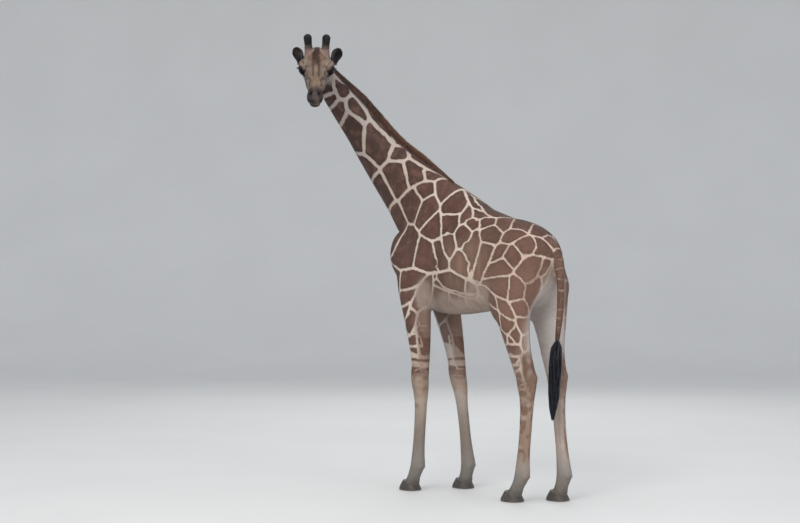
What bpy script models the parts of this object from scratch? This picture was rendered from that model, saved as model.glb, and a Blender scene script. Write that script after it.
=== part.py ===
"""A young adult female reticulated giraffe, standing square with its neck bent over its left side and its head turned back.

Metres, +Z up. The animal faces -Y and its left side is +X. The body is worked out round the withers: V(f, w, z)
is a point f forward of the withers, w to the left and z above the floor. The flesh is one blended shape, the
union of stations, muscles and bent tubes, polygonised, thinned and then parted into its members with thin cuts.
"""
import math
import bpy
import bmesh
import numpy as np
from mathutils import Vector

# ---------------------------------------------------------------- driving sizes
COAT = 0.007            # how far the solids stand outside the skin, so that the coat lies inside them
COAT_HEAD = 0.004
GAP = 0.0005            # clearance between neighbouring pieces
CELL_BODY = 0.018       # grid of the trunk and legs
CELL_NECK = 0.010       # grid of the neck and head
CELL_FINE = 0.006       # grid of the ossicones
TRIS_BODY = 2600
TRIS_NECK = 1900
TRIS_OSSICONE = 140
LEG_CUT = 1.44          # level at which the free legs leave the trunk
HOOF_TOP_FRONT, HOOF_TOP_BACK = 0.088, 0.046
CLEFT = 0.006           # gap between the two claws of a foot
MANE_HIGH, MANE_WIDE = 0.053, 0.038
TUFT_TOP, TUFT_END = 1.315, 0.645
CENTRE = (-0.3204, 0.1238, 0.0)   # moves the middle of the outline to the origin

# ---------------------------------------------------------------- small tools
def V(f, w, z):
    """A point f forward of the withers, w to the animal's left, z above the floor."""
    return np.array([w, -f, z], float)

def unit(v):
    v = np.asarray(v, float)
    return v / np.linalg.norm(v)

def curve(ts, vals):
    """Smooth interpolation of stations: a cubic Hermite through each of them."""
    ts = np.asarray(ts, float)
    vals = np.asarray(vals, float)
    one = vals.ndim == 1
    if one:
        vals = vals[:, None]
    m = np.gradient(vals, ts, axis=0)
    def f(t):
        t = np.clip(np.asarray(t, float), ts[0], ts[-1])
        i = np.clip(np.searchsorted(ts, t) - 1, 0, len(ts) - 2)
        h = (ts[i + 1] - ts[i])
        u = ((t - ts[i]) / h)[..., None]
        h = h[..., None]
        a, b = vals[i], vals[i + 1]
        r = (2*u**3 - 3*u**2 + 1)*a + (u**3 - 2*u**2 + u)*h*m[i] + (3*u**2 - 2*u**3)*b + (u**3 - u**2)*h*m[i + 1]
        return r[..., 0] if one else r
    return f

def smin(a, b, k):
    h = np.clip(0.5 + 0.5*(b - a)/k, 0.0, 1.0)
    return b*(1 - h) + a*h - k*h*(1 - h)

def section(x, y, a, b, n=2.0):
    """Distance, to first order, from an ellipse-like section with half sizes a and b."""
    ax, ay = np.abs(x)/a, np.abs(y)/b
    if n == 2.0:
        r = np.sqrt(ax*ax + ay*ay) + 1e-9
        g = np.sqrt((ax/a)**2 + (ay/b)**2)/r + 1e-9
    else:
        r = (ax**n + ay**n)**(1.0/n) + 1e-9
        g = np.sqrt((ax**(n - 1)/a)**2 + (ay**(n - 1)/b)**2)*r**(1 - n) + 1e-9
    return (r - 1)/g*1.0

# ---------------------------------------------------------------- shapes: each is (function of points, low corner, high corner)
def ell(c, r, long=None, side=None):
    """Ellipsoid, half sizes r along three axes: long, side and their normal."""
    c = np.asarray(c, float); r = np.asarray(r, float)
    if long is None:
        R = np.eye(3)
    else:
        a = unit(long)
        b = np.asarray(side if side is not None else (1.0, 0, 0), float)
        b = unit(b - a*(a@b))
        R = np.stack([a, b, np.cross(a, b)], 1)
    ext = np.sqrt(((R*r)**2).sum(1))
    def f(P):
        q = (P - c)@R
        k0 = np.sqrt(((q/r)**2).sum(1)) + 1e-9
        k1 = np.sqrt(((q/r**2)**2).sum(1)) + 1e-9
        return k0*(k0 - 1)/k1
    return f, c - ext, c + ext

def cone(p, q, ra, rb):
    """Round cone from p, radius ra, to q, radius rb."""
    p = np.asarray(p, float); q = np.asarray(q, float)
    d = q - p; L2 = d@d
    def f(P):
        t = np.clip((P - p)@d/L2, 0, 1)
        return np.linalg.norm(P - p - t[:, None]*d, axis=1) - (ra + (rb - ra)*t)
    r = max(ra, rb)
    return f, np.minimum(p, q) - r, np.maximum(p, q) + r

def path(points, radii, n=14):
    """A round cord through points, with a radius at each."""
    points = np.asarray(points, float); radii = np.asarray(radii, float)
    t = np.linspace(0, 1, len(points)); s = np.linspace(0, 1, n)
    c = curve(t, points)(s); r = curve(t, radii)(s)
    def f(P):
        best = np.full(len(P), 1e9)
        for i in range(n - 1):
            d = c[i + 1] - c[i]
            u = np.clip((P - c[i])@d/(d@d), 0, 1)
            best = np.minimum(best, np.linalg.norm(P - c[i] - u[:, None]*d, axis=1) - (r[i] + (r[i + 1] - r[i])*u))
        return best
    m = r.max()
    return f, c.min(0) - m, c.max(0) + m

def stack(axis, ts, rows, n=2.0, slant=None):
    """A body of slices along one axis. Each row is (centre u, centre v, half size +u, -u, +v, -v).
    For axis z the slice is (f, w); for axis f it is (w, z); for axis h, in a head's own frame, it is (l, u)."""
    ts = np.asarray(ts, float)
    rows = np.asarray(rows, float)
    fn = curve(ts, rows)
    # how far the centre line leans, so that distances are true on a slanting limb
    def f(P):
        if axis == "z":
            t, u, v = P[:, 2], -P[:, 1], P[:, 0]
        elif axis == "f":
            t, u, v = -P[:, 1], P[:, 0], P[:, 2]
        else:
            t, u, v = P[:, 0], P[:, 1], P[:, 2]
        r = fn(t)
        e = 1e-3
        r2 = fn(t + e)
        du, dv = u - r[:, 0], v - r[:, 1]
        a = np.where(du > 0, r[:, 2], r[:, 3]); b = np.where(dv > 0, r[:, 4], r[:, 5])
        lean = 1.0/np.sqrt(1 + ((r2[:, 0] - r[:, 0])/e)**2 + ((r2[:, 1] - r[:, 1])/e)**2)
        d = section(du, dv, a, b, n)*np.where((t > ts[0]) & (t < ts[-1]), lean, 1.0)
        over = np.maximum(np.maximum(ts[0] - t, t - ts[-1]), 0)
        return np.where(over > 0, np.sqrt(np.maximum(d, 0)**2 + over**2), d)
    s = fn(np.linspace(ts[0], ts[-1], 40))
    ulo, uhi = (s[:, 0] - s[:, 3]).min(), (s[:, 0] + s[:, 2]).max()
    vlo, vhi = (s[:, 1] - s[:, 5]).min(), (s[:, 1] + s[:, 4]).max()
    if axis == "z":
        lo, hi = np.array([vlo, -uhi, ts[0]]), np.array([vhi, -ulo, ts[-1]])
    elif axis == "f":
        lo, hi = np.array([ulo, -ts[-1], vlo]), np.array([uhi, -ts[0], vhi])
    else:
        lo, hi = np.array([ts[0], ulo, vlo]), np.array([ts[-1], uhi, vhi])
    return f, lo, hi

def tube(points, ups, rows, n=2.0, samples=60):
    """A body round a bent centre line. Each row is (half size up, down, side); ups are the dorsal directions."""
    points = np.asarray(points, float)
    L = np.r_[0, np.cumsum(np.linalg.norm(np.diff(points, axis=0), axis=1))]
    s = np.linspace(0, L[-1], samples)
    c = curve(L, points)(s); up = curve(L, np.asarray(ups, float))(s); r = curve(L, np.asarray(rows, float))(s)
    tan = np.gradient(c, axis=0); tan /= np.linalg.norm(tan, axis=1)[:, None]
    up -= tan*(up*tan).sum(1)[:, None]; up /= np.linalg.norm(up, axis=1)[:, None]
    side = np.cross(up, tan)
    def where(P):
        d2 = ((P[:, None, :] - c[None])**2).sum(2)
        i = np.clip(d2.argmin(1), 1, samples - 2)
        rows_ = np.arange(len(P))
        a, b, e = d2[rows_, i - 1], d2[rows_, i], d2[rows_, i + 1]
        off = np.clip(0.5*(a - e)/(a - 2*b + e + 1e-12), -1, 1)
        return i + off
    def at(arr, u):
        j = np.clip(u.astype(int), 0, samples - 2); w = (u - j)[:, None]
        return arr[j]*(1 - w) + arr[j + 1]*w
    def f(P):
        out = np.empty(len(P))
        for k in range(0, len(P), 20000):
            Q = P[k:k + 20000]
            u = where(Q)
            q = Q - at(c, u)
            U, S, T, R = at(up, u), at(side, u), at(tan, u), at(r, u)
            x, y, z = (q*S).sum(1), (q*U).sum(1), (q*T).sum(1)
            d = section(x, y, R[:, 2], np.where(y > 0, R[:, 0], R[:, 1]), n)
            over = np.where((u <= 0.01) | (u >= samples - 1.01), np.abs(z), 0)
            out[k:k + 20000] = np.where(over > 0, np.sqrt(np.maximum(d, 0)**2 + over**2), d)
        return out
    f.where, f.at, f.c, f.up, f.side, f.tan, f.r, f.s = where, at, c, up, side, tan, r, s
    m = r.max()
    return f, c.min(0) - m, c.max(0) + m

# ---------------------------------------------------------------- a body: shapes blended in order
class Body:
    def __init__(self):
        self.items = []
    def add(self, shape, k=0.03):
        self.items.append(("add", *shape, k)); return self
    def cut(self, shape, k=0.01):
        self.items.append(("cut", *shape, k)); return self
    def swell(self, c, r, amp, long=None, side=None):
        """Raises the surface by amp, or sinks it, in a soft patch of half sizes r round c."""
        c = np.asarray(c, float); r = np.asarray(r, float)*np.ones(3)
        if long is None:
            R = np.eye(3)
        else:
            a = unit(long); b = np.asarray(side if side is not None else (1.0, 0, 0), float); b = unit(b - a*(a@b))
            R = np.stack([a, b, np.cross(a, b)], 1)
        def f(P):
            q = ((P - c)@R)/r
            return amp*np.exp(-1.5*(q*q).sum(1))
        ext = np.sqrt(((R*r)**2).sum(1))*1.7
        self.items.append(("swell", f, c - ext, c + ext, amp)); return self
    def both(self, how, shape_of, *args, **kw):
        for s in (1, -1):
            getattr(self, how)(shape_of(s), *args, **kw)
        return self
    def __call__(self, P, far=0.22, cell=0.25):
        P = np.asarray(P, float)
        out = np.empty(len(P))
        key = np.floor(P/cell).astype(np.int64)
        key -= key.min(0)
        m = key.max(0) + 1
        code = (key[:, 0]*m[1] + key[:, 1])*m[2] + key[:, 2]
        order = np.argsort(code, kind="stable")
        bounds = np.flatnonzero(np.diff(code[order])) + 1
        for idx in np.split(order, bounds):
            Q = P[idx]
            lo, hi = Q.min(0), Q.max(0)
            d = np.full(len(Q), far)
            for how, f, a, b, k in self.items:
                gap = np.maximum(np.maximum(a - hi, lo - b), 0)
                reach = 0.0 if how == "swell" else (0.22 if how == "add" else 0.06)
                if (gap*gap).sum() > reach*reach:
                    continue
                if how == "add":
                    d = smin(d, f(Q), k)
                elif how == "cut":
                    d = -smin(-d, f(Q), k)
                else:
                    d = d - f(Q)
            out[idx] = d
        return out

def normals_of(field, P, e=1e-3):
    g = np.stack([field(P + e*np.eye(3)[i]) - field(P - e*np.eye(3)[i]) for i in range(3)], 1)
    return g/(np.linalg.norm(g, axis=1)[:, None] + 1e-12)

def settle(field, P, level=0.0, steps=3, e=1e-3, most=0.01):
    """Moves points onto the surface along its own slope."""
    for _ in range(steps):
        g = np.stack([field(P + e*np.eye(3)[i]) - field(P - e*np.eye(3)[i]) for i in range(3)], 1)/(2*e)
        d = field(P) - level
        step = d/np.maximum((g*g).sum(1), 0.05)
        step = np.clip(step, -most, most)
        P = P - g*step[:, None]
    return P

def net(field, lo, hi, h, level=0.0, coarse=4):
    """Closed quad mesh of the surface field = level: one vertex in each cell that it crosses."""
    lo = np.asarray(lo, float); hi = np.asarray(hi, float)
    H = h*coarse
    n = np.ceil((hi - lo)/H).astype(int)
    ax = [np.arange(k + 1) for k in n]
    G = np.stack(np.meshgrid(*[lo[i] + ax[i]*H for i in range(3)], indexing="ij"), -1)
    D = (field(G.reshape(-1, 3)) - level).reshape(G.shape[:3])
    near = np.abs(D) < H*1.9
    blk = np.zeros(n, bool)
    for dx in (0, 1):
        for dy in (0, 1):
            for dz in (0, 1):
                blk |= near[dx:dx + n[0], dy:dy + n[1], dz:dz + n[2]]
    blocks = np.argwhere(blk)
    # fine grid values on the corners of the active blocks, found once each
    N = n*coarse + 1
    off = np.stack(np.meshgrid(*[np.arange(coarse + 1)]*3, indexing="ij"), -1).reshape(-1, 3)
    pts = (blocks[:, None, :]*coarse + off[None]).reshape(-1, 3)
    code = (pts[:, 0]*N[1] + pts[:, 1])*N[2] + pts[:, 2]
    uniq = np.unique(code)
    ix = np.stack([uniq//(N[1]*N[2]), (uniq//N[2]) % N[1], uniq % N[2]], 1)
    val = field(lo + ix*h) - level
    # cells
    coff = np.stack(np.meshgrid(*[np.arange(coarse)]*3, indexing="ij"), -1).reshape(-1, 3)
    cells = (blocks[:, None, :]*coarse + coff[None]).reshape(-1, 3)
    def value(idx):
        c = (idx[:, 0]*N[1] + idx[:, 1])*N[2] + idx[:, 2]
        return val[np.searchsorted(uniq, c)]
    corners = np.array([[i, j, k] for i in (0, 1) for j in (0, 1) for k in (0, 1)])
    cv = np.stack([value(cells + c) for c in corners], 1)
    inside = cv < 0
    act = inside.any(1) & ~inside.all(1)
    cells, cv, inside = cells[act], cv[act], inside[act]
    edges = [(a, b) for a in range(8) for b in range(a + 1, 8) if np.abs(corners[a] - corners[b]).sum() == 1]
    S = np.zeros((len(cells), 3)); C = np.zeros(len(cells))
    for a, b in edges:
        m = inside[:, a] != inside[:, b]
        t = np.where(m, cv[:, a]/np.where(m, cv[:, a] - cv[:, b], 1), 0)
        p = corners[a] + t[:, None]*(corners[b] - corners[a])
        S += p*m[:, None]; C += m
    verts = lo + (cells + S/C[:, None])*h
    ccode = (cells[:, 0]*N[1] + cells[:, 1])*N[2] + cells[:, 2]
    order = np.argsort(ccode); sc = ccode[order]
    def vid(idx):
        c = (idx[:, 0]*N[1] + idx[:, 1])*N[2] + idx[:, 2]
        return order[np.clip(np.searchsorted(sc, c), 0, len(sc) - 1)]
    faces = []
    for axis in range(3):
        e = np.zeros(3, int); e[axis] = 1
        u = np.zeros(3, int); u[(axis + 1) % 3] = 1
        v = np.zeros(3, int); v[(axis + 2) % 3] = 1
        ia = 0; ib = int(e@np.array([4, 2, 1]))
        m = inside[:, ia] != inside[:, ib]
        base = cells[m]
        q = np.stack([vid(base), vid(base - u), vid(base - u - v), vid(base - v)], 1)
        flip = ~inside[m][:, ia]
        q[flip] = q[flip][:, ::-1]
        faces.append(q)
    return verts, np.concatenate(faces)

# ---------------------------------------------------------------- the head's own frame
HEAD_O = V(1.1523, 0.6036, 3.700)         # occiput
HEAD_YAW = math.radians(132.6)          # from straight ahead to the animal's left
HEAD_PITCH = math.radians(41.0)        # nose below level
HEAD_ROLL = math.radians(-1.5)
HEAD_S = 1.0                           # head size

def head_axes():
    cy, sy = math.cos(HEAD_YAW), math.sin(HEAD_YAW)
    cp, sp = math.cos(HEAD_PITCH), math.sin(HEAD_PITCH)
    h = V(cy*cp, sy*cp, -sp)
    l = V(-sy, cy, 0)
    u = np.cross(h, l) if np.cross(h, l)[2] > 0 else -np.cross(h, l)
    c, s = math.cos(HEAD_ROLL), math.sin(HEAD_ROLL)
    l2, u2 = l*c + u*s, u*c - l*s
    return np.stack([h, l2, u2], 1)
HEAD_R = head_axes()

def to_head(P):
    return (P - HEAD_O)@HEAD_R/HEAD_S

def from_head(q):
    return np.asarray(q, float)*HEAD_S@HEAD_R.T + HEAD_O

H = lambda h, l, u: np.array([h, l, u], float)

OSS_BASE, OSS_TIP = (0.118, 0.066, 0.085), (0.075, 0.079, 0.238)
EAR_BASE, EAR_TIP = (0.080, 0.133, 0.000), (0.018, 0.184, 0.106)
EYE, EYE_R = (0.253, 0.1200, 0.031), 0.0315

def head_field(fine=True):
    B = Body()
    # long wedge of the skull and face: rows (l, u centre of the widest level, +l, -l, +u, -u)
    rows = []
    st = [  # h, top, bottom, half width, widest level
        (-0.085, -0.004, -0.020, 0.012, -0.012),
        (-0.055, 0.034, -0.050, 0.046, -0.01),
        (-0.015, 0.068, -0.072, 0.066, 0.00),
        (0.030, 0.102, -0.086, 0.084, 0.01),
        (0.075, 0.124, -0.098, 0.094, 0.012),
        (0.130, 0.132, -0.106, 0.101, 0.018),
        (0.180, 0.122, -0.108, 0.106, 0.020),
        (0.240, 0.101, -0.106, 0.100, 0.010),
        (0.300, 0.080, -0.102, 0.089, -0.008),
        (0.360, 0.060, -0.097, 0.078, -0.022),
        (0.420, 0.043, -0.091, 0.067, -0.026),
        (0.470, 0.031, -0.087, 0.060, -0.026),
        (0.520, 0.022, -0.085, 0.060, -0.028),
        (0.560, 0.009, -0.083, 0.058, -0.034),
        (0.592, -0.012, -0.078, 0.047, -0.042),
        (0.610, -0.034, -0.064, 0.022, -0.050),
    ]
    ts = [s[0] for s in st]
    rows = [(0, s[4], s[3], s[3], s[1] - s[4], s[4] - s[2]) for s in st]
    B.add(stack("h", ts, rows, n=2.25), 0.02)
    # lower jaw: deep and narrow, its angle behind the cheek
    st = [  # h, top, bottom, half width, widest level
        (0.045, -0.030, -0.090, 0.042, -0.055),
        (0.085, -0.010, -0.122, 0.066, -0.060),
        (0.130, 0.000, -0.142, 0.076, -0.068),
        (0.190, 0.000, -0.148, 0.077, -0.075),
        (0.260, -0.010, -0.142, 0.070, -0.080),
        (0.330, -0.020, -0.131, 0.060, -0.080),
        (0.400, -0.030, -0.118, 0.052, -0.078),
        (0.470, -0.040, -0.108, 0.048, -0.076),
        (0.530, -0.050, -0.105, 0.048, -0.078),
        (0.575, -0.060, -0.101, 0.036, -0.082),
    ]
    ts = [s[0] for s in st]
    rows = [(0, s[4], s[3], s[3], s[1] - s[4], s[4] - s[2]) for s in st]
    B.add(stack("h", ts, rows, n=2.0), 0.028)
    # cheeks, brows and the bony rims of the orbits
    B.both("add", lambda s: ell(H(0.180, s*0.062, -0.058), (0.095, 0.042, 0.068), (1, 0, -0.15), (0, 1, 0)), 0.03)
    B.both("add", lambda s: ell(H(0.240, s*0.117, 0.036), (0.050, 0.031, 0.041), (1, -s*0.22, -0.2), (0, 1, 0)), 0.032)
    B.both("add", lambda s: ell(H(0.218, s*0.112, 0.067), (0.056, 0.034, 0.018), (1, 0, -0.25), (0, 1, -0.2)), 0.032)
    B.both("add", lambda s: cone(H(0.272, s*0.089, -0.008), H(0.390, s*0.062, -0.044), 0.020, 0.012), 0.03)
    B.both("add", lambda s: ell(H(0.125, s*0.090, 0.045), (0.065, 0.028, 0.030), (1, 0, -0.1), (0, 1, 0)), 0.025)   # behind the eye
    B.both("add", lambda s: cone(H(0.062, s*0.080, 0.010), H(0.082, s*0.127, -0.006), 0.032, 0.021), 0.018)   # root of the ear
    # forehead
    B.add(ell(H(0.130, 0, 0.117), (0.080, 0.058, 0.028), (1, 0, -0.15), (0, 1, 0)), 0.03)
    B.add(cone(H(0.25, 0, 0.083), H(0.46, 0, 0.022), 0.020, 0.014), 0.03)
    # muzzle: nostril wings, upper lip, lower lip and chin
    B.both("add", lambda s: ell(H(0.535, s*0.034, -0.004), (0.034, 0.018, 0.020), (1, -s*0.1, -0.3), (0, 1, 0)), 0.02)
    B.add(ell(H(0.574, 0, -0.034), (0.038, 0.056, 0.032), (1, 0, -0.7), (0, 1, 0)), 0.02)
    B.both("add", lambda s: ell(H(0.547, s*0.038, -0.046), (0.050, 0.027, 0.025), (1, -s*0.15, -0.35), (0, 1, 0)), 0.02)
    B.add(ell(H(0.560, 0, -0.096), (0.036, 0.043, 0.022), (1, 0, 0.0), (0, 1, 0)), 0.014)
    if fine:
        # mouth line between the lips
        B.cut(path([H(0.63, 0, -0.076), H(0.596, 0.040, -0.075), H(0.550, 0.062, -0.074), H(0.49, 0.070, -0.071), H(0.45, 0.072, -0.066)],
                   [0.0045, 0.0045, 0.004, 0.0035, 0.002], 16), 0.006)
        B.cut(path([H(0.63, 0, -0.076), H(0.596, -0.040, -0.075), H(0.550, -0.062, -0.074), H(0.49, -0.070, -0.071), H(0.45, -0.072, -0.066)],
                   [0.0045, 0.0045, 0.004, 0.0035, 0.002], 16), 0.006)
        # nostrils: slanting slits
        B.both("cut", lambda s: ell(H(0.552, s*0.033, 0.004), (0.021, 0.0055, 0.016), (0.85, s*0.45, -0.25), (0, 1, 0.3*s)), 0.006)
    # hollow before the cheek, and between the jaw bones
    B.both("swell", lambda s: H(0.345, s*0.086, -0.065), (0.07, 0.03, 0.03), -0.005)
    B.both("swell", lambda s: H(0.305, s*0.088, 0.030), (0.040, 0.030, 0.024), -0.012)
    B.swell(H(0.33, 0, -0.135), (0.12, 0.025, 0.03), -0.010)
    # eye sockets
    if fine:
        B.both("cut", lambda s: ell(H(EYE[0] + 0.014, s*(EYE[1] + 0.013), EYE[2] + 0.003), (0.0310, 0.025, 0.0230), (1, -s*0.50, -0.20), (0, 1, 0)), 0.006)
        # creases of the upper and lower lid
        B.both("cut", lambda s: path([H(0.224, s*0.161, 0.042), H(0.244, s*0.162, 0.0690), H(0.270, s*0.150, 0.0670), H(0.297, s*0.128, 0.046)], [0.0015, 0.0032, 0.0030, 0.0015], 12), 0.006)
        B.both("cut", lambda s: path([H(0.236, s*0.158, 0.007), H(0.256, s*0.152, -0.0030), H(0.280, s*0.136, -0.0010), H(0.301, s*0.117, 0.011)], [0.0012, 0.0024, 0.0024, 0.0012], 12), 0.006)
    else:
        B.both("swell", lambda s: H(EYE[0] + 0.014, s*(EYE[1] + 0.025), EYE[2] + 0.003), (0.038, 0.024, 0.029), -0.016)
    return B

def ossicones():
    B = Body()
    for s in (1, -1):
        b, t = H(OSS_BASE[0], s*OSS_BASE[1], OSS_BASE[2]), H(OSS_TIP[0], s*OSS_TIP[1], OSS_TIP[2])
        d = t - b
        B.add(cone(b - d*0.1, b + d*0.45, 0.046, 0.0290), 0.02)
        B.add(cone(b + d*0.3, t, 0.0285, 0.0330), 0.015)
    return B

def ear_frame(s):
    """Base, tip, length and axes of an ear, and its half width, hollow and thickness at a distance from the base."""
    b, t = from_head((EAR_BASE[0], s*EAR_BASE[1], EAR_BASE[2])), from_head((EAR_TIP[0], s*EAR_TIP[1], EAR_TIP[2]))
    L = np.linalg.norm(t - b)
    a = (t - b)/L
    face = HEAD_R@H(0.72, s*0.38, 0.40); face = face - a*(face@a); face /= np.linalg.norm(face)
    wide = np.cross(a, face)
    def shape(x):
        u = np.clip(x/L, 0, 1)
        half = 0.0430*np.maximum(np.sin(np.pi*u**1.60), 0)**0.72 + 0.016*(1 - u)**1.5 + 0.002
        cup = 0.034*np.sin(np.pi*np.clip(u*0.90 + 0.10, 0, 1))
        return half, cup, 0.0046 + 0.010*(1 - u)**3
    return b, t, L, a, wide, face, shape

def ear(s):
    """A leaf-shaped cup, open to the front and side."""
    b, t, L, a, wide, face, shape = ear_frame(s)
    def f(P):
        q = P - b
        x, y, z = q@a, q@wide, q@face
        half, cup, th = shape(x)
        mid = z + cup*(1 - (y/half)**2) - 0.012
        slope = np.sqrt(1 + (2*0.036*y/np.maximum(half, 0.012)**2)**2)
        d1 = np.abs(mid)/slope - th
        e = np.maximum(np.abs(y) - half, np.maximum(-x - 0.01, x - L))
        k = 0.006
        h_ = np.clip(0.5 - 0.5*(e - d1)/k, 0, 1)
        return e*(1 - h_) + d1*h_ + k*h_*(1 - h_)
    ends = np.stack([b - 0.08, b + 0.08, t - 0.06, t + 0.06])
    return f, ends.min(0), ends.max(0)

# ---------------------------------------------------------------- neck and trunk
NECK = [  # centre line (f, w, z) and half sizes: up, down, side
    ((0.12, 0.0, 2.08), (0.42, 0.30, 0.185)),
    ((0.42, 0.0, 2.36), (0.365, 0.34, 0.180)),
    ((0.63, 0.005, 2.565), (0.300, 0.278, 0.166)),
    ((0.82, 0.035, 2.775), (0.235, 0.236, 0.148)),
    ((0.94, 0.085, 2.95), (0.192, 0.212, 0.130)),
    ((1.03, 0.16, 3.11), (0.172, 0.180, 0.117)),
    ((1.10, 0.26, 3.28), (0.142, 0.164, 0.105)),
    ((1.15, 0.375, 3.44), (0.105, 0.144, 0.095)),
    ((1.165, 0.49, 3.570), (0.070, 0.120, 0.085)),
    ((1.140, 0.60, 3.665), (0.043, 0.085, 0.070)),
    ((1.090, 0.66, 3.680), (0.040, 0.050, 0.045)),
]
def neck_tube():
    pts = [V(*p) for p, _ in NECK]
    rows = [r for _, r in NECK]
    ups = []
    hu = HEAD_R[:, 2]
    for i, p in enumerate(pts):
        t = i/(len(pts) - 1)
        ups.append(V(-0.6, 0, 0.8)*(1 - t**2) + (unit(hu + np.array([0, 0, 0.3])))*t**2)
    return tube(pts, ups, rows, 2.15, 80)

def tail_tube():
    pts = [V(-0.84, 0.0, 2.08), V(-0.935, 0.0, 2.035), V(-0.985, 0.0, 1.94), V(-1.008, 0.0, 1.78), V(-1.010, 0.003, 1.60), V(-1.002, 0.012, 1.44), V(-0.990, 0.022, 1.30)]
    rows = [(0.06, 0.07, 0.06), (0.044, 0.050, 0.046), (0.034, 0.036, 0.037), (0.029, 0.029, 0.031), (0.026, 0.026, 0.028), (0.023, 0.023, 0.025), (0.016, 0.016, 0.017)]
    return tube(pts, [V(-0.5, 0, 0.9)] + [V(-1, 0, 0.2)]*6, rows, 2.0, 40)

def trunk():
    st = [  # f, top, bottom, half width, widest level
        (-0.955, 2.040, 1.820, 0.045, 1.93),
        (-0.920, 2.095, 1.720, 0.092, 1.93),
        (-0.850, 2.165, 1.650, 0.150, 1.93),
        (-0.760, 2.225, 1.605, 0.195, 1.93),
        (-0.640, 2.266, 1.580, 0.234, 1.93),
        (-0.500, 2.295, 1.560, 0.270, 1.93),
        (-0.360, 2.340, 1.540, 0.300, 1.92),
        (-0.200, 2.400, 1.516, 0.315, 1.90),
        (-0.050, 2.470, 1.498, 0.310, 1.88),
        (0.080, 2.515, 1.492, 0.290, 1.88),
        (0.200, 2.500, 1.498, 0.262, 1.89),
        (0.320, 2.440, 1.520, 0.232, 1.91),
        (0.430, 2.340, 1.575, 0.200, 1.93),
        (0.530, 2.240, 1.670, 0.160, 1.96),
        (0.600, 2.120, 1.780, 0.110, 1.96),
        (0.650, 2.030, 1.880, 0.050, 1.96),
    ]
    ts = [s[0] for s in st]
    rows = [(0, s[4], s[3], s[3], s[1] - s[4], s[4] - s[2]) for s in st]
    return stack("f", ts, rows, n=2.12)

# ---------------------------------------------------------------- legs: rows of (z, f, w, half front, half back, half side)
LEG_FL = [
    (2.20, 0.36, 0.120, 0.03, 0.03, 0.02), (2.08, 0.40, 0.135, 0.10, 0.10, 0.07), (1.95, 0.425, 0.150, 0.145, 0.145, 0.096), (1.75, 0.415, 0.172, 0.150, 0.150, 0.108), (1.60, 0.395, 0.185, 0.138, 0.145, 0.100),
    (1.48, 0.370, 0.192, 0.125, 0.128, 0.092), (1.33, 0.348, 0.196, 0.106, 0.112, 0.080), (1.17, 0.328, 0.199, 0.087, 0.090, 0.067),
    (1.06, 0.322, 0.200, 0.079, 0.078, 0.063), (0.98, 0.326, 0.200, 0.080, 0.072, 0.067), (0.91, 0.324, 0.200, 0.076, 0.070, 0.065),
    (0.83, 0.318, 0.201, 0.063, 0.063, 0.055), (0.74, 0.318, 0.202, 0.052, 0.055, 0.047), (0.60, 0.325, 0.203, 0.047, 0.053, 0.043),
    (0.42, 0.338, 0.204, 0.047, 0.053, 0.043), (0.30, 0.347, 0.205, 0.051, 0.058, 0.049), (0.215, 0.354, 0.205, 0.056, 0.064, 0.056),
    (0.165, 0.372, 0.205, 0.054, 0.060, 0.054), (0.115, 0.396, 0.205, 0.052, 0.056, 0.053), (0.07, 0.414, 0.205, 0.060, 0.062, 0.060), (0.035, 0.425, 0.205, 0.066, 0.064, 0.064),
]
LEG_FR = [
    (2.20, 0.36, -0.120, 0.03, 0.03, 0.02), (2.08, 0.40, -0.135, 0.10, 0.10, 0.07), (1.95, 0.425, -0.150, 0.145, 0.145, 0.096), (1.75, 0.415, -0.172, 0.150, 0.150, 0.108), (1.60, 0.395, -0.185, 0.138, 0.145, 0.100),
    (1.48, 0.365, -0.192, 0.122, 0.128, 0.092), (1.33, 0.325, -0.196, 0.104, 0.110, 0.078), (1.17, 0.286, -0.199, 0.086, 0.088, 0.066),
    (1.06, 0.264, -0.200, 0.079, 0.077, 0.062), (0.98, 0.254, -0.200, 0.080, 0.071, 0.066), (0.91, 0.240, -0.200, 0.075, 0.069, 0.064),
    (0.83, 0.224, -0.200, 0.061, 0.062, 0.054), (0.74, 0.210, -0.200, 0.050, 0.053, 0.045), (0.60, 0.190, -0.200, 0.045, 0.050, 0.041),
    (0.42, 0.166, -0.200, 0.046, 0.051, 0.042), (0.30, 0.150, -0.200, 0.052, 0.058, 0.049), (0.215, 0.140, -0.200, 0.056, 0.064, 0.056),
    (0.165, 0.146, -0.200, 0.054, 0.060, 0.054), (0.115, 0.160, -0.200, 0.052, 0.056, 0.053), (0.07, 0.172, -0.200, 0.060, 0.062, 0.060), (0.035, 0.181, -0.200, 0.066, 0.064, 0.064),
]
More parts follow.
